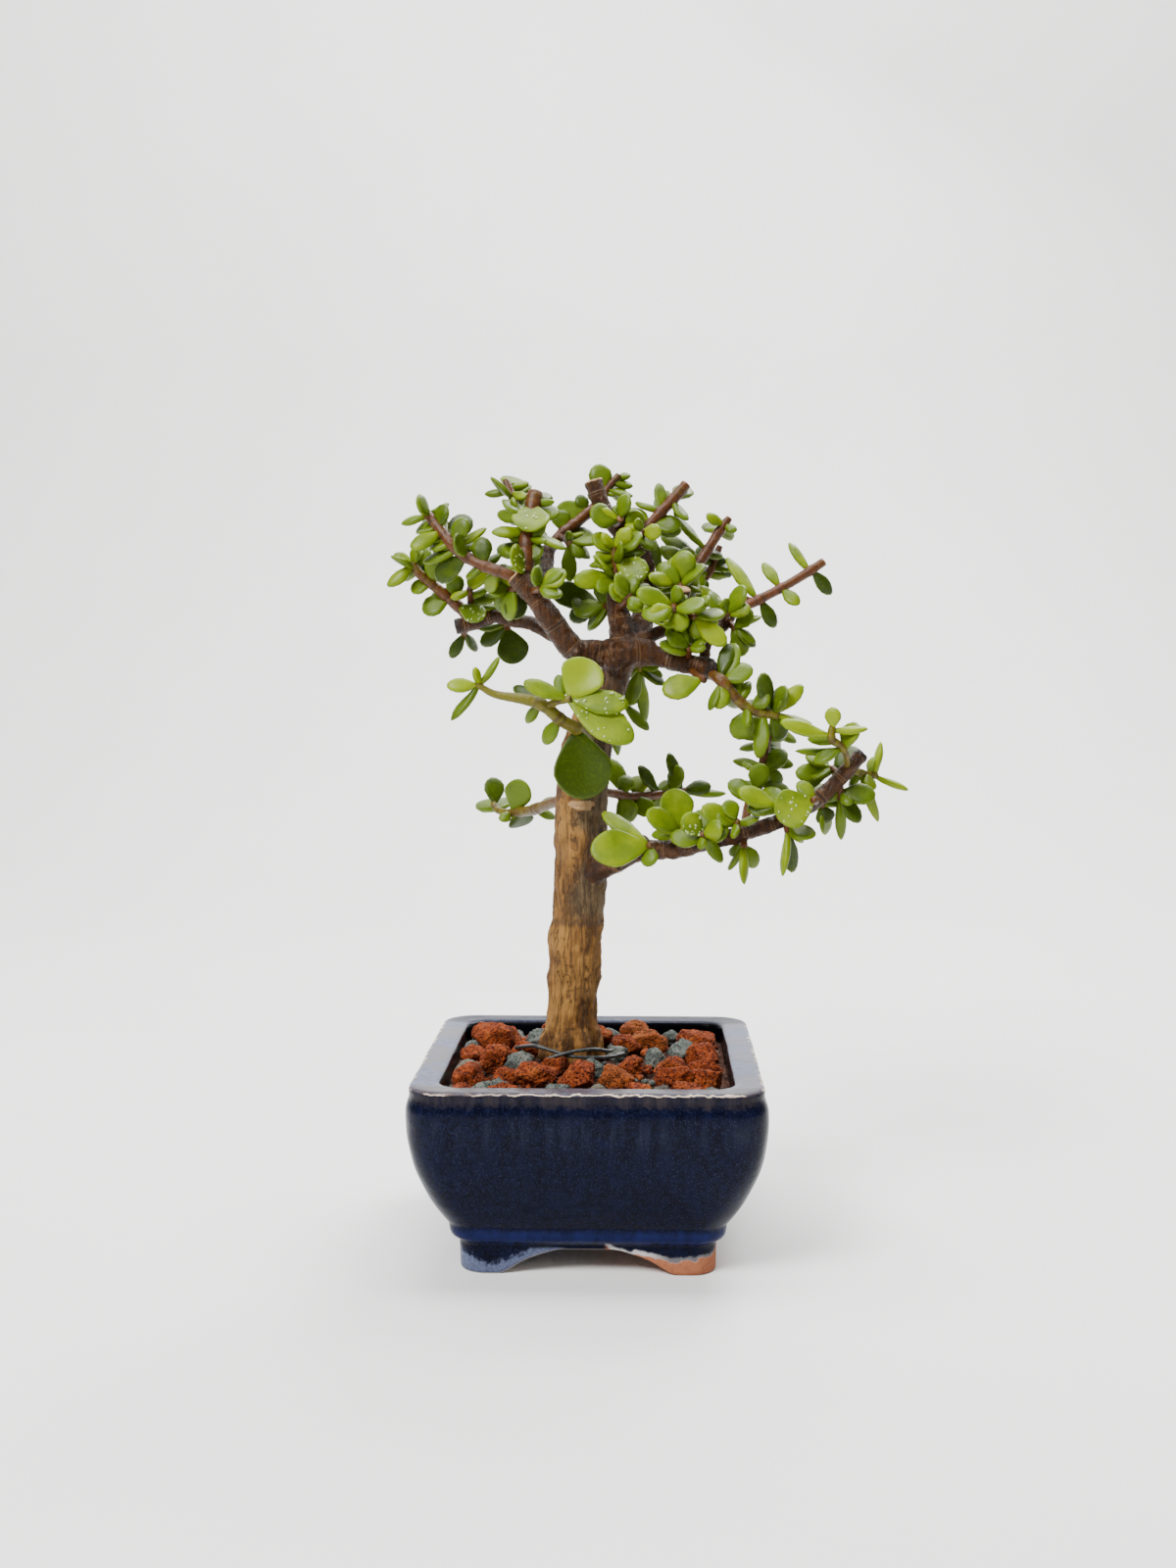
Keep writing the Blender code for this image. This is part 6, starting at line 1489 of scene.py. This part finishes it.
def smooth_line(points: List[Vector], radii: List[float], spacing: float) -> Rod:
    """Points and radii of a soft curve through a rod's points.

    Args:
        points: the points that it passes.
        radii: radius at each of them.
        spacing: distance between the new points.

    Returns:
        The new points and radii.
    """
    out_points: List[Vector] = []
    out_radii: List[float] = []
    for i in range(len(points) - 1):
        before, start = points[max(i - 1, 0)], points[i]
        end, after = points[i + 1], points[min(i + 2, len(points) - 1)]
        steps = max(2, int((end - start).length / spacing))
        for k in range(steps):
            t = k / steps
            spot = 0.5 * (2 * start + (end - before) * t + (2 * before - 5 * start + 4 * end - after) * t * t
                          + (3 * start - before - 3 * end + after) * t * t * t)
            out_points.append(spot)
            out_radii.append(radii[i] + (radii[i + 1] - radii[i]) * t)
    out_points.append(points[-1])
    out_radii.append(radii[-1])
    return out_points, out_radii


@dataclass
class LeafySpray:
    """One leafy stem: its rods with rings at the leaf joints, and its leaves."""

    name: str
    rods: List[Rod]
    blades: List[Tuple[int, Blade]]
    sink: float = 1.3

    def stem_radii(self, points: List[Vector], radii: List[float], draws: random.Random
                   ) -> Tuple[List[float], List[float]]:
        """Radii with a swelling at each leaf joint, and how strongly each ring shows.

        Args:
            points: middle line of the stem.
            radii: radius at each point.
            draws: where the small changes come from.

        Returns:
            The radii and the strengths.
        """
        joints = [blade.foot for _, blade in self.blades]
        fatter, rings = [], []
        for where, radius in zip(points, radii):
            near = min([(where - joint).length for joint in joints] or [9.0])
            bulge = math.exp(-(near / 0.9) ** 2)
            fatter.append(radius * (1 + 0.16 * bulge + draws.uniform(-0.03, 0.03)))
            rings.append(math.exp(-((near - 1.0) / 0.35) ** 2) * 0.8)
        return fatter, rings

    def build(self, leaf: Material, stem: Material, water: Material
              ) -> Piece:
        """Model the spray and hand it to the frame.

        Args:
            leaf: material of the leaves.
            stem: material of the stem.
            water: material of the beads.

        Returns:
            The piece.
        """
        draws = random.Random(self.name)
        bm = bmesh.new()
        for layer in ("mood", "rim", "wet", "young", "ring", "end"):
            bm.verts.layers.float.new(layer)
        for number, (points, radii) in enumerate(self.rods):
            if number == 0:
                back = (points[0] - points[1]).normalized() * self.sink
                points, radii = [points[0] + back] + points[1:], radii
            line, thick = smooth_line(points, radii, 0.8)
            thick, marks = self.stem_radii(line, thick, draws)
            first = len(bm.verts)
            rings = swept(bm, line, thick, 12)
            whole = len(rings) - 1
            young, ring_layer = bm.verts.layers.float["young"], bm.verts.layers.float["ring"]
            youth = YOUTH.get(self.name, 0.15)
            for i, ring in enumerate(rings):
                for vert in ring:
                    vert[young] = youth + 0.35 * i / whole
                    vert[ring_layer] = marks[i]
                    vert[bm.verts.layers.float["end"]] = 0.8 if i == whole and thick[-1] > 1.1 else 0.0
            bm.verts.ensure_lookup_table()
            for face in {face for vert in bm.verts[first:] for face in vert.link_faces}:
                face.material_index = 1
        for number, blade in self.blades:
            self.add_leaf(bm, number, blade, draws)
        bmesh.ops.recalc_face_normals(bm, faces=bm.faces)
        return as_piece(self.name + "_fine", bm, (leaf, stem, water), (self.name,))

    def mood_of(self, number: int, draws: random.Random) -> float:
        """How young a leaf looks.

        Args:
            number: the leaf's row, or FILLER.
            draws: where its small change comes from.

        Returns:
            Its mood, from dark to lime.
        """
        mood = LeafMood.USUAL.value
        if number == FILLER:
            return mood + draws.uniform(-0.3, 0.3)
        tables = {LeafMood.LIME: LIME_LEAVES, LeafMood.LIGHT: LIGHT_LEAVES, LeafMood.DARK: DARK_LEAVES}
        for kind, table in tables.items():
            if number in table.get(self.name, ()):
                mood = kind.value
        return mood + draws.uniform(-0.08, 0.08)

    def add_leaf(self, bm: BMesh, number: int, blade: Blade, draws: random.Random) -> None:
        """Add one leaf: a fine ball drawn out in a thick blade with a round rim.

        Args:
            bm: the spray's mesh.
            number: the leaf's row, or FILLER.
            blade: where it is.
            draws: where its waves come from.
        """
        around, rings = (26, 11) if blade.width > 8.5 else (14, 6)
        made = bmesh.ops.create_uvsphere(bm, u_segments=around, v_segments=rings, radius=1.0)["verts"]
        mood_layer, rim_layer = bm.verts.layers.float["mood"], bm.verts.layers.float["rim"]
        wet_layer = bm.verts.layers.float["wet"]
        mood = self.mood_of(number, draws)
        wet = 1.0 if number in WET_LEAVES.get(self.name, ()) else 0.0
        wave, phase = draws.uniform(0.0, 0.25), draws.uniform(0, math.tau)
        seed = Vector((draws.uniform(0, 50), draws.uniform(0, 50), draws.uniform(0, 50)))
        for vert in made:
            corner = Vector(vert.co).normalized()
            spot = blade.spot(corner, fine=True)
            dent = noise.noise(spot * 0.22 + seed) * 0.35 + wave * math.sin(corner.y * 2.4 + phase)
            spot += blade.normal * dent
            vert.co = in_row(spot)
            vert[mood_layer] = mood
            # Mask of the paler rim, which is partly a painted highlight.
            vert[rim_layer] = 1 - abs(corner.z)
            vert[wet_layer] = wet
        if wet:
            self.add_beads(bm, blade, draws)

    @staticmethod
    def add_beads(bm: BMesh, blade: Blade, draws: random.Random) -> None:
        """Add beads of water, most of them near the leaf's rim, on the side that faces the eye."""
        front = 1 if blade.normal.dot(EYE - blade.foot) > 0 else -1
        for k in range(16):
            angle = draws.uniform(0, math.tau)
            reach = draws.uniform(0.74, 0.9) if k % 3 else draws.uniform(0.1, 0.6)
            flat = Vector((math.cos(angle) * reach, math.sin(angle) * reach, 0))
            flat.z = front * math.sqrt(1 - reach * reach)
            made = bmesh.ops.create_icosphere(bm, subdivisions=2, radius=1.0)["verts"]
            size = draws.uniform(0.22, 0.5)
            middle = blade.spot(flat, fine=True)
            for vert in made:
                ball = Vector(vert.co)
                ball -= blade.normal * ball.dot(blade.normal) * 0.45
                vert.co = in_row(middle + ball * size)
            for face in {face for vert in made for face in vert.link_faces}:
                face.material_index = 2


@dataclass
class Trunk:
    """Trunk, limbs and stubs, joined by a fine remesh and then given its relief."""

    grain: float = 0.47
    hoops: float = 8.2
    cut_ends: Tuple[str, ...] = ("left_back_limb", "top_limb", "top_stub", "tan_stub", "right_limb",
                                 "lower_limb", "knob_stub", "left_limb")
    charred_ends: Tuple[str, ...] = ("left_back_limb", "top_limb", "right_limb", "lower_limb", "knob_stub")

    def build(self, bark: Material) -> Piece:
        """Model the wood and hand it to the frame.

        Args:
            bark: its material.

        Returns:
            The piece.
        """
        bm = bmesh.new()
        draws = random.Random(5)
        for name, rows in WOOD.items():
            points, radii = route(rows)
            line, thick = smooth_line(points, radii, 1.0)
            if name != "stem":
                thick = [r * (1 + 0.09 * math.exp(-((k % 9 - 4) / 1.0) ** 2) + draws.uniform(-0.02, 0.03))
                         for k, r in enumerate(thick)]
            swept(bm, line, thick, 24)
        for x, z, depth, radius in KNOBS:
            made = bmesh.ops.create_icosphere(bm, subdivisions=3, radius=radius * MM)["verts"]
            bmesh.ops.translate(bm, verts=made, vec=in_row(seen(x, z, depth)))
        self.add_roots(bm)
        bmesh.ops.recalc_face_normals(bm, faces=bm.faces)
        bm = evaluated(bm, ("REMESH", {"mode": "VOXEL", "voxel_size": self.grain * MM}),
                       ("SMOOTH", {"factor": 0.5, "iterations": 3}))
        self.weather(bm)
        return as_piece("trunk_fine", bm, (bark,), ("trunk",))

    @staticmethod
    def add_roots(bm: BMesh) -> None:
        """Root flare: short ribs that run down in the gravel."""
        for heading, radius in ROOTS:
            out = Vector((math.cos(math.radians(heading)), math.sin(math.radians(heading)), 0))
            foot = Vector((TRUNK_X, 0, 0))
            points = [foot + out * 2 + Vector((0, 0, 70)), foot + out * 5.2 + Vector((0, 0, 64)),
                      foot + out * 7.4 + Vector((0, 0, 59.5)), foot + out * 9.2 + Vector((0, 0, 54))]
            line, thick = smooth_line(points, [radius * 0.7, radius, radius * 1.05, radius * 0.8], 1.0)
            swept(bm, line, thick, 14)

    def weather(self, bm: BMesh) -> None:
        """Cracks on the old bark, and masks for old, cut and charred wood.

        Args:
            bm: the wood's mesh, changed in place.
        """
        places = np.array([tuple((vert.co - MIDDLE) / MM) for vert in bm.verts])
        old = np.zeros(len(places))
        best = np.full(len(places), 1e9)
        cut = np.zeros(len(places))
        charred = np.zeros(len(places))
        hoop = np.zeros(len(places))
        for name, rows in WOOD.items():
            points, radii = smooth_line(*route(rows), 2.0)
            gone = 0.0
            for i in range(len(points) - 1):
                start, step = np.array(points[i]), np.array(points[i + 1] - points[i])
                part = np.clip(((places - start) @ step) / max(step @ step, 1e-9), 0, 1)
                gap = np.linalg.norm(places - start - part[:, None] * step, axis=1) - radii[i]
                nearer = gap < best
                best = np.where(nearer, gap, best)
                old = np.where(nearer, 1.0 if name == "stem" else 0.0, old)
                off = np.mod(gone + part * np.linalg.norm(step), self.hoops) - self.hoops / 2
                hoop = np.where(nearer, 0.0 if name == "stem" else np.exp(-(off / 0.5) ** 2), hoop)
                gone += float(np.linalg.norm(step))
            if name in self.cut_ends:
                end, ahead = np.array(points[-1]), np.array((points[-1] - points[-2]).normalized())
                rise = (places - end) @ ahead
                near = np.linalg.norm(places - end, axis=1) < radii[-1] * 1.5
                mask = near & (rise > -0.55)
                if name in self.charred_ends:
                    charred = np.where(near & (rise > -1.6), 0.85, charred)
                else:
                    cut = np.where(mask, 0.9, cut)
        young = np.clip((places[:, 2] - 160) / 12, 0, 1)
        old = old * (1 - young)
        scar = np.linalg.norm((places - np.array(seen(-3, 131.4, -6.0))) / (4.5, 4.5, 1.4), axis=1) < 1
        cut = np.where(scar, 0.85, cut)
        layers = [bm.verts.layers.float.new(word) for word in ("old", "cut", "charred", "hoop")]
        bm.normal_update()
        for vert, place, *masks in zip(bm.verts, places, old, cut, charred, hoop):
            for layer, mask in zip(layers, masks):
                vert[layer] = mask
            a = masks[0]
            spot = Vector(place)
            tall = Vector((spot.x, spot.y, spot.z * 0.2))
            crack = abs(noise.noise(tall * 0.55)) * 0.9 + abs(noise.noise(tall * 1.1)) * 0.45
            lump = noise.noise(spot * 0.16) * 0.7 + noise.noise(spot * 0.45) * 0.28
            knotty = math.exp(-((spot - Vector((7, 0, 178))).length / 9) ** 2)
            rough = noise.noise(spot * 1.6) * 0.12 + noise.noise(spot * 0.55) * (0.18 + 0.75 * knotty)
            rough += masks[3] * 0.12
            vert.co += vert.normal * (a * (lump + 0.25 - 0.75 * (0.5 - min(0.5, crack))) + rough) * MM


@dataclass
class Pot:
    """The square pot: one closed skin of rings from the feet's lip over the rim to the drain hole."""

    corner: float = 10.0
    rim_half: float = 50.0
    floor_z: float = 11.0
    under_z: float = 7.9
    foot_wall: float = 7.0
    drain: float = 6.0
    along: int = 64
    round: int = 12
    foot_top: float = 8.6
    # Height of the feet's arch by the distance from the middle of a side
    arch_at: Tuple[float, ...] = (0.0, 7.5, 9.5, 12.0, 15.2, 18.0, 20.5, 22.5, 24.0, 25.3, 60.0)
    arch_z: Tuple[float, ...] = (7.2, 7.2, 6.9, 6.2, 5.15, 3.95, 2.5, 1.2, 0.4, 0.0, 0.0)
    # (height, half width) of the outside from the feet to the rim
    outside: Tuple[Tuple[float, float], ...] = (
        (0.0, 36.9), (2.0, 37.0), (6.0, 37.1), (8.4, 37.3), (9.4, 38.0), (10.4, 39.2), (11.6, 39.8),
        (13.0, 40.0), (14.4, 40.2), (15.6, 41.0), (19.0, 43.1), (22.5, 45.0), (28.0, 47.4), (33.5, 49.2),
        (40.5, 50.5),
        (46.0, 50.9), (50.0, 50.8), (52.0, 50.2), (53.4, 49.9), (54.8, 50.0), (55.6, 49.8))
    # (height, half width, corner) over the rim and down the inside
    inside: Tuple[Triple, ...] = (
        (55.9, 49.3, 9.3), (56.0, 48.6, 8.8), (55.9, 47.0, 8.0), (55.75, 44.5, 7.2), (55.7, 43.0, 6.9),
        (55.5, 42.2, 6.8), (55.0, 41.7, 6.8), (54.0, 41.5, 6.8), (50.0, 41.4, 6.8), (44.0, 42.0, 6.8),
        (33.5, 42.4, 5.5), (22.5, 38.4, 4.6), (15.5, 34.8, 4.6), (11.6, 33.0, 4.6))

    def arch(self, spot: Vector) -> float:
        """Height of the feet's arch at a place in the plan."""
        return float(np.interp(min(abs(spot.x), abs(spot.y)), self.arch_at, self.arch_z))

    def plan(self, half: float, corner: float) -> List[Vector]:
        """Points round a square with rounded corners, as many for every ring.

        Args:
            half: half its width.
            corner: its corners' radius.

        Returns:
            The points.
        """
        spots = []
        straight = half - corner
        for quarter in range(4):
            turn = Matrix.Rotation(quarter * math.pi / 2, 3, "Z")
            for k in range(self.along):
                spots.append(turn @ Vector((half, straight * (2 * k / self.along - 1), 0)))
            for k in range(self.round):
                angle = k / self.round * math.pi / 2
                x, y = straight + corner * math.cos(angle), straight + corner * math.sin(angle)
                spots.append(turn @ Vector((x, y, 0)))
        return spots

    def rings(self) -> List[List[Vector]]:
        """Every ring of the skin in order, from the middle of the feet's underside round to it.

        Returns:
            The rings of points.
        """
        heights, halves = zip(*self.outside)
        inner = self.outside[0][1] - self.foot_wall
        made = []

        def low(half_in: float, over: float) -> None:
            """Add a ring that follows the arch at a small height over it."""
            spots = self.plan(half_in, self.corner * half_in / self.rim_half)
            made.append([Vector((s.x, s.y, self.arch(s) + over)) for s in spots])

        low(inner + 3.0, 0.0)
        low(self.outside[0][1] - 1.0, 0.0)
        low(self.outside[0][1] - 0.3, 0.15)
        for k in range(7):
            spots = self.plan(halves[0], self.corner * halves[0] / self.rim_half)
            ring = []
            for s in spots:
                z = self.arch(s) + 0.5
                z += (self.foot_top - z) * k / 7
                wide = float(np.interp(z, heights, halves)) / halves[0]
                ring.append(Vector((s.x, s.y, 0)) * wide + Vector((0, 0, z)))
            made.append(ring)
        profile = [Vector((half, 0, z)) for z, half in self.outside if z >= self.foot_top - 0.3]
        for where in smooth_line(profile, [0.0] * len(profile), 0.9)[0]:
            spots = self.plan(where.x, self.corner * where.x / self.rim_half)
            made.append([Vector((s.x, s.y, where.z)) for s in spots])
        for z, half, corner in self.inside:
            made.append([Vector((s.x, s.y, z)) for s in self.plan(half, corner)])
        for half in (31.5, 20.0, 9.0):
            made.append([Vector((s.x, s.y, self.floor_z)) for s in self.plan(half, 4.6 * half / 33)])
        for z in (self.floor_z, self.under_z):
            made.append([Vector((s.x, s.y, 0)).normalized() * self.drain + Vector((0, 0, z))
                         for s in self.plan(9.0, 1.0)])
        for half in (9.0, 20.0, inner):
            made.append([Vector((s.x, s.y, self.under_z)) for s in self.plan(half, 5.5 * half / inner)])
        low(inner, 0.5)
        low(inner + 0.6, 0.0)
        return made

    def build(self, glaze: Material) -> Piece:
        """Model the pot and hand it to the frame.

        Args:
            glaze: its material.

        Returns:
            The piece.
        """
        bm = bmesh.new()
        lip = bm.verts.layers.float.new("lip")
        skin = []
        for ring in self.rings():
            verts = []
            for spot in ring:
                wobble = noise.noise(spot * 0.045) * 0.30 + noise.noise(spot * 0.13) * 0.12
                spread = 1 + wobble / self.rim_half * min(1.0, max(0.0, spot.z - 1.0) / 6)
                vert = bm.verts.new(in_row(Vector((spot.x * spread, spot.y * spread, spot.z))))
                reach = max(abs(spot.x), abs(spot.y))
                vert[lip] = 1.0 if spot.z - self.arch(spot) < 0.45 and reach > self.foot_wall * 4 else 0.0
                verts.append(vert)
            skin.append(verts)
        for lower, upper in zip(skin, skin[1:] + skin[:1]):
            for k in range(len(lower)):
                after = (k + 1) % len(lower)
                bm.faces.new((lower[k], lower[after], upper[after], upper[k]))
        bmesh.ops.recalc_face_normals(bm, faces=bm.faces)
        return as_piece("pot_fine", bm, (glaze,), ("pot",))


def bed_height(x: float, y: float) -> float:
    """Height of the gravel's surface: mounded toward the trunk."""
    reach = min(1.0, math.hypot(x - TRUNK_X, y) / 42.0)
    return BED_TOP + MOUND * (1 - reach) ** 1.2


@dataclass
class Gravel:
    """Stones of one colour on their bed, with crumbs between them."""

    name: str
    node: str
    slot: str
    rows: Sequence[Triple]
    rise: float
    seed: int
    pits: float
    crumbs: int
    bed: bool

    def build(self, finish: Material) -> Piece:
        """Model the stones and hand them to the frame.

        Args:
            finish: their material.

        Returns:
            The piece.
        """
        bm = bmesh.new()
        tint = bm.verts.layers.float.new("tint")
        draws = random.Random(self.seed)
        looks = random.Random(self.seed + 40)
        for x, y, size in self.rows:
            flat = (1.0, draws.uniform(0.75, 0.95), draws.uniform(0.62, 0.8))
            limit = STONE_LIMIT - size * 0.6
            x, y = max(-limit, min(limit, x)), max(-limit, min(limit, y))
            where = Vector((x, y, bed_height(x, y) + self.rise * size))
            turn = self.tumbled(draws, 0.5)
            for _ in range(12):
                draws.uniform(-1, 1)
            self.stone(bm, where, size, flat, turn, looks, 5 if y < -5 else 4, tint)
        for _ in range(self.crumbs):
            size = looks.uniform(1.6, 4.4)
            limit = STONE_LIMIT - size * 0.5
            x, y = looks.uniform(-limit, limit), looks.uniform(-limit, limit)
            if math.hypot(x - TRUNK_X, y) < 9.5:
                continue
            where = Vector((x, y, bed_height(x, y) + size * 0.25))
            flat = (1.0, looks.uniform(0.6, 0.95), looks.uniform(0.5, 0.85))
            turn = self.tumbled(looks, 0.7)
            self.stone(bm, where, size, flat, turn, looks, 2, tint)
        if self.bed:
            self.add_bed(bm, tint)
        bmesh.ops.recalc_face_normals(bm, faces=bm.faces)
        return as_piece(self.name, bm, (finish,), (self.node,))

    @staticmethod
    def tumbled(draws: random.Random, lean: float) -> Matrix:
        """A drawn turn about Z after a drawn lean about X."""
        turn = Matrix.Rotation(draws.uniform(0, math.tau), 3, "Z")
        return turn @ Matrix.Rotation(draws.uniform(-lean, lean), 3, "X")

    def stone(self, bm: BMesh, where: Vector, size: float, flat: Triple,
              turn: Matrix, looks: random.Random, fineness: int, tint: bmesh.types.BMLayerItem) -> None:
        """Add a broken stone: a ball with flats knocked off it, lumps and pits.

        Args:
            bm: the gravel's mesh.
            where: its middle.
            size: its width.
            flat: its proportions.
            turn: how it lies.
            looks: where its shape is drawn from.
            fineness: how often its ball is divided.
            tint: layer that holds its colour.
        """
        made = bmesh.ops.create_icosphere(bm, subdivisions=fineness, radius=1.0)["verts"]
        seed = Vector((looks.uniform(0, 90), looks.uniform(0, 90), looks.uniform(0, 90)))
        flats = []
        for _ in range(9):
            way = Vector((looks.gauss(0, 1), looks.gauss(0, 1), looks.gauss(0, 1))).normalized()
            flats.append((way, looks.uniform(0.62, 0.9)))
        colour = looks.uniform(0.2, 0.6) if looks.random() < 0.85 else looks.choice((0.0, 0.7))
        for vert in made:
            ball = Vector(vert.co).normalized()
            reach = 1.08
            for way, level in flats:
                facing = ball.dot(way)
                if facing > 0.01:
                    reach = min(reach, level / facing)
            spot = ball * reach
            shape = turn @ Vector((spot.x * flat[0], spot.y * flat[1], spot.z * flat[2])) * (size / 2)
            cell = (shape + seed) * 0.95
            push = noise.noise((shape + seed) * 0.35) * 0.06 * size
            push += noise.noise(cell) * 0.25 * min(1, size / 8)
            hole = max(0.0, noise.noise((shape + seed) * 1.7) - 0.12) * self.pits
            vert.co = in_row(where + shape + (turn @ ball) * (push - hole))
            vert[tint] = colour

    def add_bed(self, bm: BMesh, tint: bmesh.types.BMLayerItem) -> None:
        """Add the rough ground between the stones."""
        made = bmesh.ops.create_grid(bm, x_segments=110, y_segments=110, size=41.4)["verts"]
        for vert in made:
            x, y = vert.co.x, vert.co.y
            grit = noise.noise(Vector((x, y, 0)) * 0.7) * 0.7 + noise.noise(Vector((x, y, 5)) * 1.9) * 0.35
            vert.co = in_row(Vector((x, y, bed_height(x, y) - 0.6 + grit)))
            vert[tint] = 0.0


@dataclass
class Wire:
    """Dark tie wire that crosses in front of the trunk's foot."""

    def build(self, finish: Material) -> Piece:
        """Model both strands and hand them to the frame.

        Args:
            finish: their material.

        Returns:
            The piece.
        """
        bm = bmesh.new()
        for rows in WIRE:
            line, thick = smooth_line(*route(rows, -0.22), 0.6)
            swept(bm, [where - Vector((0, 0, 0.5)) for where in line], thick, 10)
        bmesh.ops.recalc_face_normals(bm, faces=bm.faces)
        return as_piece("tie_wire_fine", bm, (finish,), ("tie_wire",))


@dataclass
class Studio:
    """Pale floor and wall, soft light and the camera of the photograph."""

    lens: float = 36.67
    yaw: float = 0.031
    pitch: float = math.atan2(120, 1629.8)
    ambient: float = 0.34
    backdrop: float = 0.80

    def set_camera(self) -> None:
        """Camera at the photograph's place and angle."""
        camera = bpy.data.objects.new("camera", bpy.data.cameras.new("camera"))
        bpy.context.scene.collection.objects.link(camera)
        camera.data.lens = self.lens
        camera.data.sensor_width = 36.0
        camera.data.clip_start = 0.01
        camera.location = in_row(EYE)
        camera.rotation_euler = (math.pi / 2 - self.pitch, 0.0, self.yaw)
        bpy.context.scene.camera = camera

    def set_floor(self) -> None:
        """Pale floor that curves up in a pale wall behind."""
        outline = [(-2.5, 0.0), (0.55, 0.0)]
        outline += [(0.55 + 0.45 * math.sin(k * math.pi / 24), 0.45 - 0.45 * math.cos(k * math.pi / 24))
                    for k in range(1, 13)]
        outline.append((1.0, 1.6))
        bm = bmesh.new()
        rows = [[bm.verts.new((x, y, z)) for x in (-2.5, 2.5)] for y, z in outline]
        for low, high in zip(rows, rows[1:]):
            bm.faces.new((low[0], low[1], high[1], high[0]))
        mesh = bpy.data.meshes.new("floor")
        bm.to_mesh(mesh)
        bm.free()
        mesh.polygons.foreach_set("use_smooth", [True] * len(mesh.polygons))
        floor = bpy.data.objects.new("floor", mesh)
        bpy.context.scene.collection.objects.link(floor)
        m = Recipe("floor paint")
        shade = m.mix(m.patches(8.0, 3.0, 0.3, 0.7), (0.78, 0.78, 0.77), (0.80, 0.80, 0.79))
        mesh.materials.append(m.finish(Base_Color=shade, Roughness=0.9, Specular_IOR_Level=0.2))

    def lamp(self, name: str, where: Triple, size: float, power: float,
             at: Triple = (0.0, 0.0, 0.12)) -> None:
        """Soft square light that looks at the middle of the tree or at another place.

        Args:
            name: the light's name.
            where: its place.
            size: its width.
            power: its power in watts.
            at: what it looks at.
        """
        data = bpy.data.lights.new(name, "AREA")
        data.size = size
        data.energy = power
        light = bpy.data.objects.new(name, data)
        light.location = where
        aim = Vector(at) - Vector(where)
        light.rotation_euler = aim.to_track_quat("-Z", "Y").to_euler()
        bpy.context.scene.collection.objects.link(light)

    def set_lights(self) -> None:
        """Soft key from the upper left, soft light from above and behind, and weak even surroundings."""
        world = bpy.data.worlds.new("surroundings")
        bpy.context.scene.world = world
        world.use_nodes = True
        nodes, links = world.node_tree.nodes, world.node_tree.links
        nodes["Background"].inputs["Color"].default_value = (0.93, 0.94, 0.93, 1.0)
        glow = nodes.new("ShaderNodeMapRange")
        glow.inputs["To Min"].default_value = self.ambient
        glow.inputs["To Max"].default_value = self.backdrop
        links.new(nodes.new("ShaderNodeLightPath").outputs["Is Camera Ray"], glow.inputs["Value"])
        links.new(glow.outputs["Result"], nodes["Background"].inputs["Strength"])
        self.lamp("key", (-0.62, -0.80, 1.05), 0.5, 34.0)
        self.lamp("back", (0.35, 0.55, 0.95), 0.4, 13.0)
        self.lamp("wall", (0.0, 0.2, 1.5), 0.8, 36.0, (0.0, 1.0, 0.35))

    def build(self) -> None:
        """Set the stage."""
        self.set_camera()
        self.set_floor()
        self.set_lights()


def dress_nodes() -> None:
    """Give the CAD nodes that stay in view their finishes."""
    finishes = {
        "soil": PlainFinish("potting mix", (0.030, 0.018, 0.010), (0.075, 0.045, 0.025), 700.0, 0.95),
        "drain_mesh": PlainFinish("screen plastic", (0.015, 0.015, 0.015), (0.03, 0.03, 0.03), 300.0, 0.5)}
    for name, finish in finishes.items():
        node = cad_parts[name]
        node.data.materials.clear()
        node.data.materials.append(finish.make())


def main() -> None:
    """Build the stage, the pot, the gravel and the tree."""
    logging.basicConfig(level=logging.INFO)
    Studio().build()
    dress_nodes()
    Pot().build(GlazeFinish().make())
    lava = StoneFinish("lava stone", (0.31, 0.056, 0.010), (0.085, 0.014, 0.005), (0.42, 0.115, 0.022), 0.95)
    grey = StoneFinish("grey stone", (0.125, 0.140, 0.125), (0.036, 0.046, 0.040), (0.34, 0.33, 0.28), 0.45)
    Gravel("lava_gravel_fine", "lava_gravel", "lava_red", RED_STONES, 0.26, STONE_SEED + 1, 1.3, 210, True
           ).build(lava.make())
    Gravel("grey_grit_fine", "grey_grit", "grit_grey", GREY_STONES, 0.24, STONE_SEED, 0.25, 130, False
           ).build(grey.make())
    Wire().build(PlainFinish("wire coat", (0.012, 0.014, 0.015), (0.03, 0.035, 0.035), 900.0, 0.4).make())
    Trunk().build(BarkFinish().make())
    crown = Crown()
    crown.place_stems()
    crown.place_leaves()
    crown.fill_out()
    leaf, stem, water = LeafFinish().make(), StemFinish().make(), WaterFinish().make()
    for name in SPRAYS:
        LeafySpray(name, crown.stems[name], crown.blades[name]).build(leaf, stem, water)


if __name__ == "__main__":
    main()
